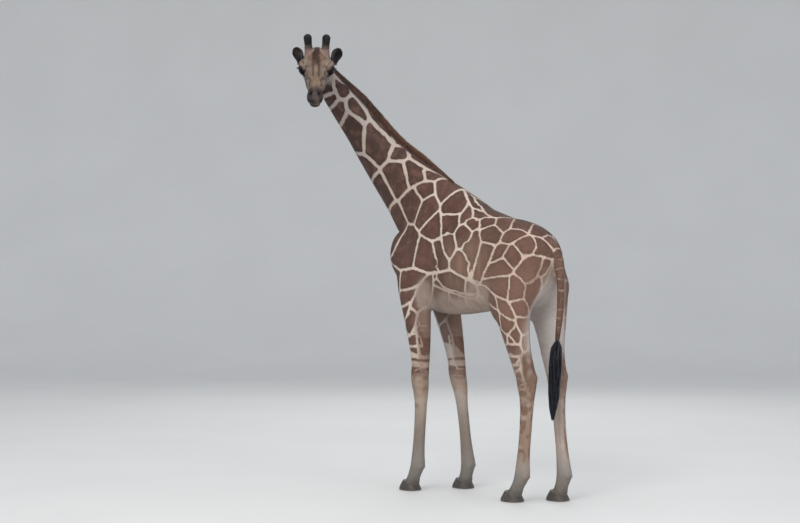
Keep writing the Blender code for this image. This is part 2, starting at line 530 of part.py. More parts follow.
LEG_HL = [
    (2.08, -0.66, 0.110, 0.04, 0.04, 0.03), (1.93, -0.665, 0.140, 0.165, 0.170, 0.100), (1.78, -0.665, 0.165, 0.215, 0.225, 0.125), (1.62, -0.665, 0.178, 0.190, 0.190, 0.118), (1.50, -0.668, 0.183, 0.162, 0.155, 0.106),
    (1.40, -0.690, 0.181, 0.142, 0.124, 0.093), (1.30, -0.712, 0.178, 0.126, 0.106, 0.079), (1.18, -0.742, 0.174, 0.112, 0.096, 0.066),
    (1.08, -0.770, 0.171, 0.102, 0.095, 0.058), (1.00, -0.792, 0.169, 0.095, 0.096, 0.058), (0.93, -0.798, 0.168, 0.083, 0.083, 0.056),
    (0.85, -0.797, 0.167, 0.062, 0.068, 0.050), (0.75, -0.793, 0.166, 0.053, 0.058, 0.044), (0.60, -0.782, 0.165, 0.048, 0.053, 0.041),
    (0.42, -0.764, 0.164, 0.048, 0.053, 0.042), (0.30, -0.751, 0.163, 0.053, 0.060, 0.049), (0.215, -0.741, 0.162, 0.057, 0.066, 0.056),
    (0.165, -0.722, 0.162, 0.054, 0.061, 0.054), (0.115, -0.692, 0.162, 0.052, 0.056, 0.053), (0.07, -0.668, 0.162, 0.060, 0.062, 0.060), (0.035, -0.655, 0.162, 0.066, 0.064, 0.064),
]
LEG_HR = [
    (2.08, -0.66, -0.110, 0.04, 0.04, 0.03), (1.93, -0.68, -0.140, 0.165, 0.170, 0.100), (1.78, -0.705, -0.165, 0.215, 0.230, 0.125), (1.62, -0.725, -0.172, 0.190, 0.200, 0.118), (1.50, -0.745, -0.172, 0.165, 0.170, 0.106),
    (1.40, -0.775, -0.166, 0.144, 0.138, 0.093), (1.30, -0.797, -0.160, 0.128, 0.112, 0.079), (1.18, -0.820, -0.153, 0.113, 0.096, 0.066),
    (1.08, -0.842, -0.148, 0.102, 0.094, 0.058), (1.00, -0.860, -0.145, 0.094, 0.095, 0.058), (0.93, -0.868, -0.142, 0.082, 0.082, 0.056),
    (0.85, -0.874, -0.140, 0.061, 0.067, 0.050), (0.75, -0.882, -0.138, 0.052, 0.057, 0.044), (0.60, -0.896, -0.135, 0.047, 0.052, 0.041),
    (0.42, -0.918, -0.132, 0.047, 0.053, 0.042), (0.30, -0.934, -0.130, 0.053, 0.060, 0.049), (0.215, -0.942, -0.129, 0.057, 0.066, 0.056),
    (0.165, -0.934, -0.128, 0.054, 0.061, 0.054), (0.115, -0.916, -0.128, 0.052, 0.056, 0.053), (0.07, -0.902, -0.128, 0.060, 0.062, 0.060), (0.035, -0.893, -0.128, 0.066, 0.064, 0.064),
]
def leg(rows, n=2.15):
    rows = sorted(rows)
    return stack("z", [r[0] for r in rows], [(r[1], r[2], r[3], r[4], r[5], r[5]) for r in rows], n)

def body_field(head=True, ears=True, tail=True, fine=True):
    B = Body()
    B.add(trunk(), 0.05)
    B.add(neck_tube(), 0.12)
    for s in (1, -1):
        # shoulder blade, point of the shoulder, upper arm, elbow
        B.add(ell(V(0.255, s*0.150, 2.06), (0.40, 0.21, 0.085), V(0.42, s*0.10, -0.75), V(1, 0, 0.5)), 0.10)
        B.add(ell(V(0.548, s*0.147, 1.985), (0.215, 0.138, 0.100), V(0.13, 0, 1), V(1, 0, 0)), 0.075)
        B.add(ell(V(0.35, s*0.185, 1.80), (0.25, 0.155, 0.085), V(-0.45, 0, 1), V(1, 0, 0.3)), 0.07)
        # thigh
        B.add(ell(V(-0.680, s*0.140, 1.84), (0.32, 0.215, 0.104), V(0.22, 0, -1), V(1, 0, 0.3)), 0.12)
    B.add(ell(V(-0.850, 0.088, 1.84), (0.24, 0.095, 0.078), V(0.20, 0.12, -1), V(1, 0, 0.2)), 0.06)
    B.add(ell(V(-0.865, -0.088, 1.80), (0.27, 0.100, 0.078), V(0.04, -0.10, -1), V(1, 0, 0.2)), 0.06)
    B.add(ell(V(-0.535, 0.190, 1.60), (0.135, 0.085, 0.068), V(0.0, 0, 1), V(1, 0, 0)), 0.06)          # stifle
    B.add(ell(V(-0.600, -0.185, 1.58), (0.135, 0.085, 0.068), V(-0.1, 0, 1), V(1, 0, 0)), 0.06)
    for L in (LEG_FL, LEG_FR, LEG_HL, LEG_HR):
        B.add(leg(L), 0.055)
    if tail:
        B.add(tail_tube(), 0.035)
    for s in (1, -1):
        B.swell(V(-0.49, s*0.235, 2.13), (0.15, 0.13, 0.10), 0.016)                       # point of the hip
        B.swell(V(-0.37, s*0.29, 1.96), (0.16, 0.14, 0.22), -0.016)                       # hollow of the flank
        B.swell(V(0.07, s*0.26, 2.12), (0.34, 0.12, 0.16), -0.009, V(0.3, 0, -1), V(1, 0, 0.3))   # behind the shoulder blade
        B.swell(V(0.20, s*0.23, 2.12), (0.32, 0.07, 0.14), 0.008, V(0.42, 0, -0.75), V(1, 0, 0.5))  # spine of the blade
        B.swell(V(0.275, s*0.20, 1.62), (0.08, 0.09, 0.07), 0.022)                        # point of the elbow
        B.swell(V(0.10, s*0.20, 1.60), (0.12, 0.12, 0.14), -0.010)                        # girth behind the elbow
        B.swell(V(0.60, s*0.09, 2.20), (0.16, 0.07, 0.08), -0.018, V(-0.5, 0, 0.8), V(1, 0, 0.6))  # furrow before the shoulder
        B.swell(V(0.60, s*0.17, 1.97), (0.08, 0.10, 0.09), 0.012)                         # point of the shoulder
    for L, hind in ((LEG_FL, 0), (LEG_FR, 0), (LEG_HL, 1), (LEG_HR, 1)):
        c = curve([r[0] for r in sorted(L)], [r[1:] for r in sorted(L)])
        if hind:
            for s in (1, -1):   # furrow before the hamstring cord above the hock
                f, w, a, b, e = c(1.12)
                B.swell(V(f - b*0.38, w + s*e*0.95, 1.14), (0.12, 0.022, 0.035), -0.013, V(-0.12, 0, -1), V(1, 0, 0))
            f, w, a, b, e = c(1.0)
            B.swell(V(f - b*0.95, w, 1.005), (0.04, 0.05, 0.035), 0.010)
            B.swell(V(f + a*0.9, w, 0.985), (0.04, 0.05, 0.05), -0.006)
        else:
            f, w, a, b, e = c(0.95)
            B.swell(V(f + a, w, 0.955), (0.03, 0.05, 0.06), 0.006)
            B.swell(V(f - b, w, 0.985), (0.03, 0.03, 0.03), 0.008)
            for s in (1, -1):
                B.swell(V(f - 0.01, w + s*e, 0.90), (0.03, 0.02, 0.03), 0.005)
        for s in (1, -1):       # cord behind the cannon stands apart from the bone
            for z in (0.40, 0.52, 0.64):
                f, w, a, b, e = c(z)
                B.swell(V(f - b*0.22, w + s*e, z), (0.09, 0.014, 0.03), -0.0055, V(0, 0, 1), V(1, 0, 0))
        f, w, a, b, e = c(0.225)
        for s in (1, -1):       # dew claws' place: two knobs behind the fetlock
            B.swell(V(f - b*0.92, w + s*0.028, 0.20), (0.02, 0.02, 0.022), 0.008)
    if head:
        hf = head_field(fine); os_ = ossicones(); e1 = ear(1); e2 = ear(-1)
        def hd(P):
            q = to_head(P)
            d = hf(q, far=0.25, cell=0.12)
            d = smin(d, os_(q, far=0.25, cell=0.2), 0.022) if ears else d
            for e in (e1, e2) if ears else ():
                m = ((P > e[1] - 0.03) & (P < e[2] + 0.03)).all(1)
                if m.any():
                    d[m] = smin(d[m], e[0](P[m]), 0.012)
            return d*HEAD_S
        c = from_head((0.3, 0, 0.05))
        B.add((hd, c - 0.46*HEAD_S, c + 0.46*HEAD_S), 0.055)
    return B

# ---------------------------------------------------------------- Blender pieces
def material(name, colour, rough):
    m = bpy.data.materials.new(name)
    m.use_nodes = True
    b = m.node_tree.nodes["Principled BSDF"]
    b.inputs["Base Color"].default_value = (*colour, 1)
    b.inputs["Roughness"].default_value = rough
    b.inputs["Metallic"].default_value = 0.0
    m.diffuse_color = (*colour, 1)
    return m

def piece(name, verts, faces, mat, hidden=False):
    me = bpy.data.meshes.new(name)
    me.from_pydata([tuple(map(float, p)) for p in verts], [], [tuple(int(i) for i in f) for f in faces])
    me.validate()
    ob = bpy.data.objects.new(name, me)
    bpy.context.scene.collection.objects.link(ob)
    if mat:
        me.materials.append(mat)
    bm = bmesh.new(); bm.from_mesh(me)
    bmesh.ops.recalc_face_normals(bm, faces=bm.faces)
    bm.to_mesh(me); bm.free()
    if hidden:
        ob.hide_render = True
        ob.display_type = "WIRE"
    return ob

def apply_modifiers(ob):
    dg = bpy.context.evaluated_depsgraph_get()
    dg.update()
    me = bpy.data.meshes.new_from_object(ob.evaluated_get(dg))
    ob.modifiers.clear()
    old, ob.data = ob.data, me
    bpy.data.meshes.remove(old)
    me.name = ob.name
    return ob

def thin(ob, tris):
    """Collapse a dense surface to about this many triangles."""
    n = sum(len(p.vertices) - 2 for p in ob.data.polygons)
    m = ob.modifiers.new("thin", "DECIMATE")
    m.ratio = min(1.0, tris/n)
    m.use_collapse_triangulate = True
    return apply_modifiers(ob)

def boolean(ob, cutter, how):
    m = ob.modifiers.new(how.lower(), "BOOLEAN")
    m.operation = how
    m.solver = "EXACT"
    m.object = cutter
    return apply_modifiers(ob)

def copy(ob, name, grow=0.0, hidden=True):
    c = bpy.data.objects.new(name, ob.data.copy())
    bpy.context.scene.collection.objects.link(c)
    if grow:
        d = c.modifiers.new("grow", "DISPLACE")
        d.strength = grow
        d.mid_level = 0.0
        d.direction = "NORMAL"
        apply_modifiers(c)
    if hidden:
        c.hide_render = True
        c.display_type = "WIRE"
    return c

def drop(*obs):
    for o in obs:
        bpy.data.objects.remove(o, do_unlink=True)

def slab_box(name, origin, across, along, out, size):
    """A hidden box on one side of a plane: the plane passes through origin, across and along lie in it, out points away from it."""
    o = np.asarray(origin, float)
    a, b, c = unit(across), unit(along), unit(out)
    sa, sb, sc = size
    pts = [o + a*x*sa + b*y*sb + c*z*sc for z in (0, 1) for y in (-1, 1) for x in (-1, 1)]
    faces = [(0, 1, 3, 2), (4, 6, 7, 5), (0, 4, 5, 1), (2, 3, 7, 6), (0, 2, 6, 4), (1, 5, 7, 3)]
    return piece(name, pts, faces, None, hidden=True)

def islands(ob):
    """Splits an object into its unconnected parts, as (verts, faces) pairs."""
    me = ob.data
    n = len(me.vertices)
    root = list(range(n))
    def find(i):
        while root[i] != i:
            root[i] = root[root[i]]
            i = root[i]
        return i
    for e in me.edges:
        a, b = find(e.vertices[0]), find(e.vertices[1])
        if a != b:
            root[a] = b
    groups = {}
    for p in me.polygons:
        groups.setdefault(find(p.vertices[0]), []).append(tuple(p.vertices))
    co = np.empty(n*3); me.vertices.foreach_get("co", co); co = co.reshape(-1, 3)
    out = []
    for fs in groups.values():
        used = sorted({i for f in fs for i in f})
        new = {i: k for k, i in enumerate(used)}
        out.append((co[used], [tuple(new[i] for i in f) for f in fs]))
    return out

def volume(verts, faces):
    v = 0.0
    for f in faces:
        for i in range(1, len(f) - 1):
            v += np.dot(verts[f[0]], np.cross(verts[f[i]], verts[f[i + 1]]))/6
    return abs(v)

def keep_largest(ob):
    parts = islands(ob)
    if len(parts) > 1:
        v, f = max(parts, key=lambda p: volume(*p))
        mat = ob.data.materials[0] if ob.data.materials else None
        name = ob.name
        drop(ob)
        ob = piece(name, v, f, mat)
    return ob

def rings(name, loops, mat, hidden=False):
    """A closed loft: bmesh faces between each loop of points and the next, and a cap on each end."""
    bm = bmesh.new()
    rows = [[bm.verts.new(tuple(map(float, p))) for p in loop] for loop in loops]
    n = len(rows[0])
    for a, b in zip(rows, rows[1:]):
        for i in range(n):
            bm.faces.new((a[i], a[(i + 1) % n], b[(i + 1) % n], b[i]))
    bm.faces.new(rows[0]); bm.faces.new(rows[-1])
    bmesh.ops.triangulate(bm, faces=bm.faces, quad_method="FIXED")
    bmesh.ops.recalc_face_normals(bm, faces=bm.faces)
    me = bpy.data.meshes.new(name)
    bm.to_mesh(me); bm.free()
    ob = bpy.data.objects.new(name, me)
    bpy.context.scene.collection.objects.link(ob)
    if mat:
        me.materials.append(mat)
    if hidden:
        ob.hide_render = True
        ob.display_type = "WIRE"
    return ob

def ball(name, centre, r, mat, hidden=False, seg=14, rows=9):
    bm = bmesh.new()
    bmesh.ops.create_uvsphere(bm, u_segments=seg, v_segments=rows, radius=r)
    me = bpy.data.meshes.new(name)
    bm.to_mesh(me); bm.free()
    ob = bpy.data.objects.new(name, me)
    ob.location = Vector(tuple(map(float, centre)))
    bpy.context.scene.collection.objects.link(ob)
    if mat:
        me.materials.append(mat)
    if hidden:
        ob.hide_render = True
        ob.display_type = "WIRE"
    return ob

for o in list(bpy.data.objects):
    bpy.data.objects.remove(o, do_unlink=True)

HIDE = material("giraffe_coat", (0.30, 0.13, 0.07), 0.75)
PALE = material("giraffe_leg_coat", (0.52, 0.43, 0.34), 0.75)
FACE = material("giraffe_face_coat", (0.45, 0.30, 0.19), 0.72)
EARC = material("giraffe_ear_coat", (0.05, 0.045, 0.045), 0.8)
MANE = material("giraffe_mane_hair", (0.10, 0.045, 0.03), 0.7)
TUFT = material("giraffe_tail_hair", (0.012, 0.012, 0.016), 0.6)
HORN = material("giraffe_hoof_horn", (0.05, 0.042, 0.038), 0.5)
EYEM = material("giraffe_eye", (0.02, 0.012, 0.008), 0.12)

# where the neck leaves the trunk and the head leaves the neck
NECK_CUT = V(0.52, 0, 2.38)
NECK_OUT = V(0.80, 0, 0.60) - V(0, 0, 0)
NECK_ALONG = V(0.60, 0, -0.80)
HEAD_CUT = from_head((0.112, 0.0, -0.150))
HEAD_OUT = HEAD_R@np.array([0.703, 0, 0.711])
HEAD_ALONG = HEAD_R@np.array([0.711, 0, -0.703])
HEAD_ACROSS = HEAD_R@np.array([0, 1.0, 0])

def beyond(p0, out):
    out = unit(out)
    return lambda P: (P - p0)@out

def closed_net(field, lo, hi, h, level=0.0, kept=None):
    """The net of a surface, on the first of a few grid placings on which each edge kept later has two faces."""
    for nudge in (0.0, 0.37, 0.61, 0.83, 0.19, 0.5, 0.71, 0.28, 0.93):
        v, f = net(field, np.asarray(lo, float) - nudge*h, hi, h, level)
        e = np.sort(np.concatenate([f[:, [0, 1]], f[:, [1, 2]], f[:, [2, 3]], f[:, [3, 0]]]), axis=1)
        key, n = np.unique(e[:, 0].astype(np.int64)*len(v) + e[:, 1], return_counts=True)
        bad = key[n != 2]
        if kept is not None:
            bad = bad[kept(v[bad//len(v)])]
        if len(bad) == 0:
            break
    return v, f

# ---- flesh: trunk and legs in one shape, neck and head in another, each carried a little past the cut between them
flesh_low = body_field(head=False, tail=False)
flesh_up = body_field(head=True, ears=False, tail=False, fine=False)
past = beyond(NECK_CUT, NECK_OUT)
low = lambda P: np.maximum(flesh_low(P), past(P) - 0.06)
up = lambda P: np.maximum(flesh_up(P), -past(P) - 0.06)
near_head = lambda P: np.clip(1.6 - np.linalg.norm(P - from_head((0.25, 0, 0)), axis=1)/0.30, 0, 1)
up_level = lambda P: up(P) - (COAT + (COAT_HEAD - COAT)*near_head(P))

v, f = closed_net(low, (-0.45, -0.95, -0.02), (0.45, 1.15, 2.75), CELL_BODY, level=COAT)
body = thin(piece("body", v, f, HIDE), TRIS_BODY)
v, f = closed_net(up_level, (-0.35, -1.45, 1.85), (1.15, -0.20, 3.98), CELL_NECK, kept=lambda P: -past(P) < 0.05)
crown = thin(piece("crown", v, f, HIDE), TRIS_NECK)
round_body = copy(body, "round_body", grow=GAP)
round_crown = copy(crown, "round_crown", grow=GAP)

neck_side = slab_box("neck_side", NECK_CUT, V(0, 1, 0), NECK_ALONG, NECK_OUT, (1.4, 1.2, 2.6))
neck_side_wide = slab_box("neck_side_wide", NECK_CUT - unit(NECK_OUT)*GAP, V(0, 1, 0), NECK_ALONG, NECK_OUT, (1.5, 1.3, 2.8))
boolean(body, neck_side_wide, "DIFFERENCE")
boolean(crown, neck_side, "INTERSECT")
drop(neck_side, neck_side_wide)

head_side = slab_box("head_side", HEAD_CUT, HEAD_ACROSS, HEAD_ALONG, HEAD_OUT, (0.42, 0.46, 0.80))
head_side_wide = slab_box("head_side_wide", HEAD_CUT - unit(HEAD_OUT)*GAP, HEAD_ACROSS, HEAD_ALONG, HEAD_OUT, (0.43, 0.47, 0.82))
neck = copy(crown, "neck", hidden=False)
boolean(neck, head_side_wide, "DIFFERENCE")
boolean(crown, head_side, "INTERSECT")
neck = keep_largest(neck)
crown.name = "head"
head = keep_largest(crown)
head.data.materials.clear(); head.data.materials.append(FACE)
drop(head_side, head_side_wide)

# ---- free legs below one level
below = slab_box("below", (0, 0, LEG_CUT), (1, 0, 0), (0, 1, 0), (0, 0, -1), (1.2, 1.6, 1.6))
below_wide = slab_box("below_wide", (0, 0, LEG_CUT + GAP), (1, 0, 0), (0, 1, 0), (0, 0, -1), (1.3, 1.7, 1.7))
legs = copy(body, "legs")
boolean(legs, below, "INTERSECT")
boolean(body, below_wide, "DIFFERENCE")
body.name = "trunk"
trunk_ob = keep_largest(body)
drop(below, below_wide)
LEG_OF = {}
for lv, lf in islands(legs):
    if volume(lv, lf) < 0.001:
        continue
    c = lv.mean(0)
    key = ("foreleg" if c[1] < 0.2 else "hindleg") + ("_left" if c[0] > 0 else "_right")
    LEG_OF[key] = piece(key, lv, lf, PALE)
drop(legs)

# ---- hooves: two claws a foot, flat-soled, the front wall longer than the heel
def claw(name, foot, side, mat, grow=0.0, hidden=False):
    f0, w0 = foot
    slope = (HOOF_TOP_FRONT - HOOF_TOP_BACK)/0.130
    loops = []
    for t, front, back, wide in ((0.0, 0.108, 0.080, 0.076), (0.20, 0.105, 0.081, 0.077), (0.65, 0.083, 0.074, 0.070), (1.0, 0.066, 0.064, 0.064)):
        plan = []
        for i in range(9):
            a = math.pi*(i/8.0)                    # round the outside, toe to heel
            x = math.cos(a); y = math.sin(a)
            fx = (front + grow if x > 0 else back + grow)*math.copysign(abs(x)**0.92, x)
            plan.append((fx, CLEFT/2 - grow + (wide - CLEFT/2 + 2*grow)*abs(y)**0.70))
        plan += [(-back*0.45, CLEFT/2 - grow), (front*0.5, CLEFT/2 - grow)]
        level = lambda fx: t*(HOOF_TOP_BACK + slope*(fx + 0.064) + grow) if t else (-0.02 if grow else 0.0)
        loops.append([V(f0 + fx, w0 + side*wy, level(fx)) for fx, wy in plan])
    return rings(name, loops, mat, hidden)

FEET = {"foreleg_left": (0.425, 0.205), "foreleg_right": (0.181, -0.200), "hindleg_left": (-0.655, 0.162), "hindleg_right": (-0.893, -0.128)}
for key, foot in FEET.items():
    for side, tag in ((1, "a"), (-1, "b")):
        outer = (side > 0) == key.endswith("left")
        nm = "hoof_" + key.replace("leg", "") + ("_outer" if outer else "_inner")
        claw(nm, foot, side, HORN)
        cut = claw("cut_claw", foot, side, None, grow=GAP, hidden=True)
        boolean(LEG_OF[key], cut, "DIFFERENCE")
        drop(cut)
    LEG_OF[key] = keep_largest(LEG_OF[key])

# ---- eyes, each in its own socket
eyes = []
for s, side in ((1, "left"), (-1, "right")):
    c = from_head((EYE[0], s*EYE[1], EYE[2]))
    cut = ball("socket", c, EYE_R + GAP, None, hidden=True)
    boolean(head, cut, "DIFFERENCE")
    drop(cut)
    eyes.append(ball("eye_" + side, c, EYE_R, EYEM))
head = keep_largest(head)

# ---- ossicones and ears stand on the head
o_field = ossicones()
def in_world(fn, lo, hi, pad=0.02):
    pts = [from_head((x, y, z)) for x in (lo[0] - pad, hi[0] + pad) for y in (lo[1] - pad, hi[1] + pad) for z in (lo[2] - pad, hi[2] + pad)]
    pts = np.array(pts)
    return (lambda P: fn(to_head(P))), pts.min(0), pts.max(0)

spikes = []
for s, side in ((1, "left"), (-1, "right")):
    b, t = np.array([OSS_BASE[0], s*OSS_BASE[1], OSS_BASE[2]]), np.array([OSS_TIP[0], s*OSS_TIP[1], OSS_TIP[2]])
    fn, lo, hi = in_world(lambda q: o_field(q, far=0.25, cell=0.2), np.minimum(b, t) - 0.05, np.maximum(b, t) + 0.04)
    half = lambda P, s=s: np.maximum(fn(P), -s*to_head(P)[:, 1])
    v, f = closed_net(half, lo, hi, CELL_FINE, level=COAT_HEAD)
    ob = thin(piece("ossicone_" + side, v, f, EARC), TRIS_OSSICONE)
    boolean(ob, round_crown, "DIFFERENCE")
    spikes.append(keep_largest(ob))
def ear_solid(name, s, grow, mat, stations=9, across=6):
    """A cupped leaf: a ring of points round each cross section, convex behind and hollow before."""
    b, t, L, a, wide, face, shape = ear_frame(s)
    loops = []
    for i in range(stations):
        x = L*(-0.10 + 1.10*i/(stations - 1))
        half, cup, th = shape(x)
        half += grow*(1 if i < stations - 1 else 0.6)
        back, front = [], []
        for j in range(across + 1):
            y = half*math.sin(math.pi/2*(2*j/across - 1)*0.98)
            slope = math.sqrt(1 + (2*0.036*y/max(half, 0.012)**2)**2)
            mid = 0.012 - cup*(1 - (y/half)**2)
            edge = 0.55 if j in (0, across) else 1.0
            back.append(b + a*x + wide*y + face*(mid - (th + grow)*slope*edge))
            front.append(b + a*x + wide*y + face*(mid + (th + grow)*slope*edge))
        loops.append(back + front[::-1])
    return rings(name, loops, mat)

for (s, side), spike in zip(((1, "left"), (-1, "right")), spikes):
    ob = ear_solid("ear_" + side, s, COAT_HEAD, EARC)
    boolean(ob, round_crown, "DIFFERENCE")
    grown = copy(spike, "grown", grow=GAP)
    boolean(ob, grown, "DIFFERENCE")
    drop(grown)
    keep_largest(ob)

# ---- mane: an upright crest from the nape to the withers
line = neck_tube()[0]
whole = body_field(head=True, ears=False, tail=False, fine=False)
def crest(u):
    """The point of the dorsal line over station u of the neck, and the way up from it."""
    c, d = line.at(line.c, np.array([u]))[0], line.at(line.up, np.array([u]))[0]
    d = unit(d)
    r = np.linspace(0, 0.55, 56)
    val = whole(c + r[:, None]*d)
    k = int(np.argmax(val > 0))
    a, b = r[max(k - 1, 0)], r[k]
    for _ in range(12):
        m = 0.5*(a + b)
        if whole((c + m*d)[None])[0] > 0: b = m
        else: a = m
    return c + a*d, d
n_line = len(line.c)
loops = []
us = np.linspace(0.17, 0.935, 26)*(n_line - 1)
top = [crest(u) for u in us]
for i, (p, d) in enumerate(top):
    t = i/(len(top) - 1)
    tan = unit(top[min(i + 1, len(top) - 1)][0] - top[max(i - 1, 0)][0])
    side = unit(np.cross(d, tan))
    up_ = unit(np.cross(tan, side))
    high = COAT + MANE_HIGH*min(1.0, 0.25 + t*3.2, 0.16 + (1 - t)*3.2)
    w = MANE_WIDE/2
    prof = ((-1.0, -0.030), (-0.92, 0.45*high), (-0.45, high*0.97), (0.45, high*0.97), (0.92, 0.45*high), (1.0, -0.030))
    loops.append([p + side*w*x + up_*y for x, y in prof])
mane = rings("mane", loops, MANE)
boolean(mane, round_crown, "DIFFERENCE")
boolean(mane, round_body, "DIFFERENCE")
mane = keep_largest(mane)

# ---- tail and its tuft
tline = tail_tube()[0]
loops = []
for u in np.linspace(0.0, len(tline.c) - 1.01, 15):
    c, a, b, r = (tline.at(x, np.array([u]))[0] for x in (tline.c, tline.up, tline.side, tline.r))
    a, b = unit(a), unit(b)
    loops.append([c + a*math.cos(q)*((r[0] if math.cos(q) > 0 else r[1]) + COAT_HEAD) + b*math.sin(q)*(r[2] + COAT_HEAD)
                  for q in (2*math.pi*i/10 for i in range(10))])
tail = rings("tail", loops, HIDE)
TUFT_AXIS = ((TUFT_TOP, -0.992, 0.018, 0.026), (1.27, -0.987, 0.022, 0.042), (1.18, -0.980, 0.027, 0.052), (1.04, -0.973, 0.030, 0.054), (0.90, -0.966, 0.030, 0.050),
             (0.80, -0.960, 0.030, 0.040), (0.72, -0.955, 0.030, 0.028), (TUFT_END, -0.952, 0.030, 0.010))
def tuft(name, grow=0.0, mat=None, hidden=False):
    loops = [[V(f + (r + grow)*math.cos(q), w + (r*0.85 + grow)*math.sin(q), z + (grow if k == 0 else (-grow if k == len(TUFT_AXIS) - 1 else 0)))
              for q in (2*math.pi*i/12 for i in range(12))] for k, (z, f, w, r) in enumerate(TUFT_AXIS)]
    return rings(name, loops, mat, hidden)
tuft("tail_tuft", mat=TUFT)
cut = tuft("cut_tuft", grow=GAP, hidden=True)
boolean(tail, cut, "DIFFERENCE")
drop(cut)
boolean(tail, round_body, "DIFFERENCE")
drop(round_body, round_crown)
tail = keep_largest(tail)

# ---- the outline's middle goes to the origin, and every piece gets its own origin at its middle
for ob in list(bpy.data.objects):
    if ob.type != "MESH" or ob.hide_render:
        continue
    me = ob.data
    n = len(me.vertices)
    co = np.empty(n*3); me.vertices.foreach_get("co", co); co = co.reshape(-1, 3) + np.array(ob.location) + np.array(CENTRE)
    mid = (co.min(0) + co.max(0))/2
    me.vertices.foreach_set("co", (co - mid).ravel())
    ob.location = Vector(tuple(mid))
    me.shade_smooth()
    me.set_sharp_from_angle(angle=math.radians(40))
    me.update()
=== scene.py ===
"""Looks of the life-size reticulated giraffe: one skin, its net markings, short coat, mane, tail tuft, eyes and hooves.

Metres, +Z up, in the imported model's frame. The body is worked out round the withers, V(f, w, z), as the solids are,
and moved by CENTRE at the end. The skin is the zero level of the shape that the solids stand a coat's depth outside.
"""
import time
import math
import bpy
import bmesh
import numpy as np
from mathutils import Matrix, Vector


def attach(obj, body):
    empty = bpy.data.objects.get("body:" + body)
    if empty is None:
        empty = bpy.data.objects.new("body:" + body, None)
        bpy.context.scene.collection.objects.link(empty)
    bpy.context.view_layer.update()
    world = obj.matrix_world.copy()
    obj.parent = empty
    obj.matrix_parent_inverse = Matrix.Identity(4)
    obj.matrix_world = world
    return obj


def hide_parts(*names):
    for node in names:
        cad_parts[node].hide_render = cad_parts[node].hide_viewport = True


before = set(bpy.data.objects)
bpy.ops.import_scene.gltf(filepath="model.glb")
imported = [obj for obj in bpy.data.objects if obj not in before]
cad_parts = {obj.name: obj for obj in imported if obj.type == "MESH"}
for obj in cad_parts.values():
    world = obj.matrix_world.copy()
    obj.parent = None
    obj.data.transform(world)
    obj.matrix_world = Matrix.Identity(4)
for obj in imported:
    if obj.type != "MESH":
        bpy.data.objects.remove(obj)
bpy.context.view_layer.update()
CENTRE = np.array([-0.3204, 0.1238, 0.0])   # moves the middle of the outline to the origin, as in the solids
# ---------------------------------------------------------------- small tools
def V(f, w, z):
    """A point f forward of the withers, w to the animal's left, z above the floor."""
    return np.array([w, -f, z], float)

def unit(v):
    v = np.asarray(v, float)
    return v / np.linalg.norm(v)

def curve(ts, vals):
    """Smooth interpolation of stations: a cubic Hermite through each of them."""
    ts = np.asarray(ts, float)
    vals = np.asarray(vals, float)
    one = vals.ndim == 1
    if one:
        vals = vals[:, None]
    m = np.gradient(vals, ts, axis=0)
    def f(t):
        t = np.clip(np.asarray(t, float), ts[0], ts[-1])
        i = np.clip(np.searchsorted(ts, t) - 1, 0, len(ts) - 2)
        h = (ts[i + 1] - ts[i])
        u = ((t - ts[i]) / h)[..., None]
        h = h[..., None]
        a, b = vals[i], vals[i + 1]
        r = (2*u**3 - 3*u**2 + 1)*a + (u**3 - 2*u**2 + u)*h*m[i] + (3*u**2 - 2*u**3)*b + (u**3 - u**2)*h*m[i + 1]
        return r[..., 0] if one else r
    return f

def smin(a, b, k):
    h = np.clip(0.5 + 0.5*(b - a)/k, 0.0, 1.0)
    return b*(1 - h) + a*h - k*h*(1 - h)

def section(x, y, a, b, n=2.0):
    """Distance, to first order, from an ellipse-like section with half sizes a and b."""
    ax, ay = np.abs(x)/a, np.abs(y)/b
    if n == 2.0:
        r = np.sqrt(ax*ax + ay*ay) + 1e-9
        g = np.sqrt((ax/a)**2 + (ay/b)**2)/r + 1e-9
    else:
        r = (ax**n + ay**n)**(1.0/n) + 1e-9
        g = np.sqrt((ax**(n - 1)/a)**2 + (ay**(n - 1)/b)**2)*r**(1 - n) + 1e-9
    return (r - 1)/g*1.0

# ---------------------------------------------------------------- shapes: each is (function of points, low corner, high corner)
def ell(c, r, long=None, side=None):
    """Ellipsoid, half sizes r along three axes: long, side and their normal."""
    c = np.asarray(c, float); r = np.asarray(r, float)
    if long is None:
        R = np.eye(3)
    else:
        a = unit(long)
        b = np.asarray(side if side is not None else (1.0, 0, 0), float)
        b = unit(b - a*(a@b))
        R = np.stack([a, b, np.cross(a, b)], 1)
    ext = np.sqrt(((R*r)**2).sum(1))
    def f(P):
        q = (P - c)@R
        k0 = np.sqrt(((q/r)**2).sum(1)) + 1e-9
        k1 = np.sqrt(((q/r**2)**2).sum(1)) + 1e-9
        return k0*(k0 - 1)/k1
    return f, c - ext, c + ext

def cone(p, q, ra, rb):
    """Round cone from p, radius ra, to q, radius rb."""
    p = np.asarray(p, float); q = np.asarray(q, float)
    d = q - p; L2 = d@d
    def f(P):
        t = np.clip((P - p)@d/L2, 0, 1)
        return np.linalg.norm(P - p - t[:, None]*d, axis=1) - (ra + (rb - ra)*t)
    r = max(ra, rb)
    return f, np.minimum(p, q) - r, np.maximum(p, q) + r

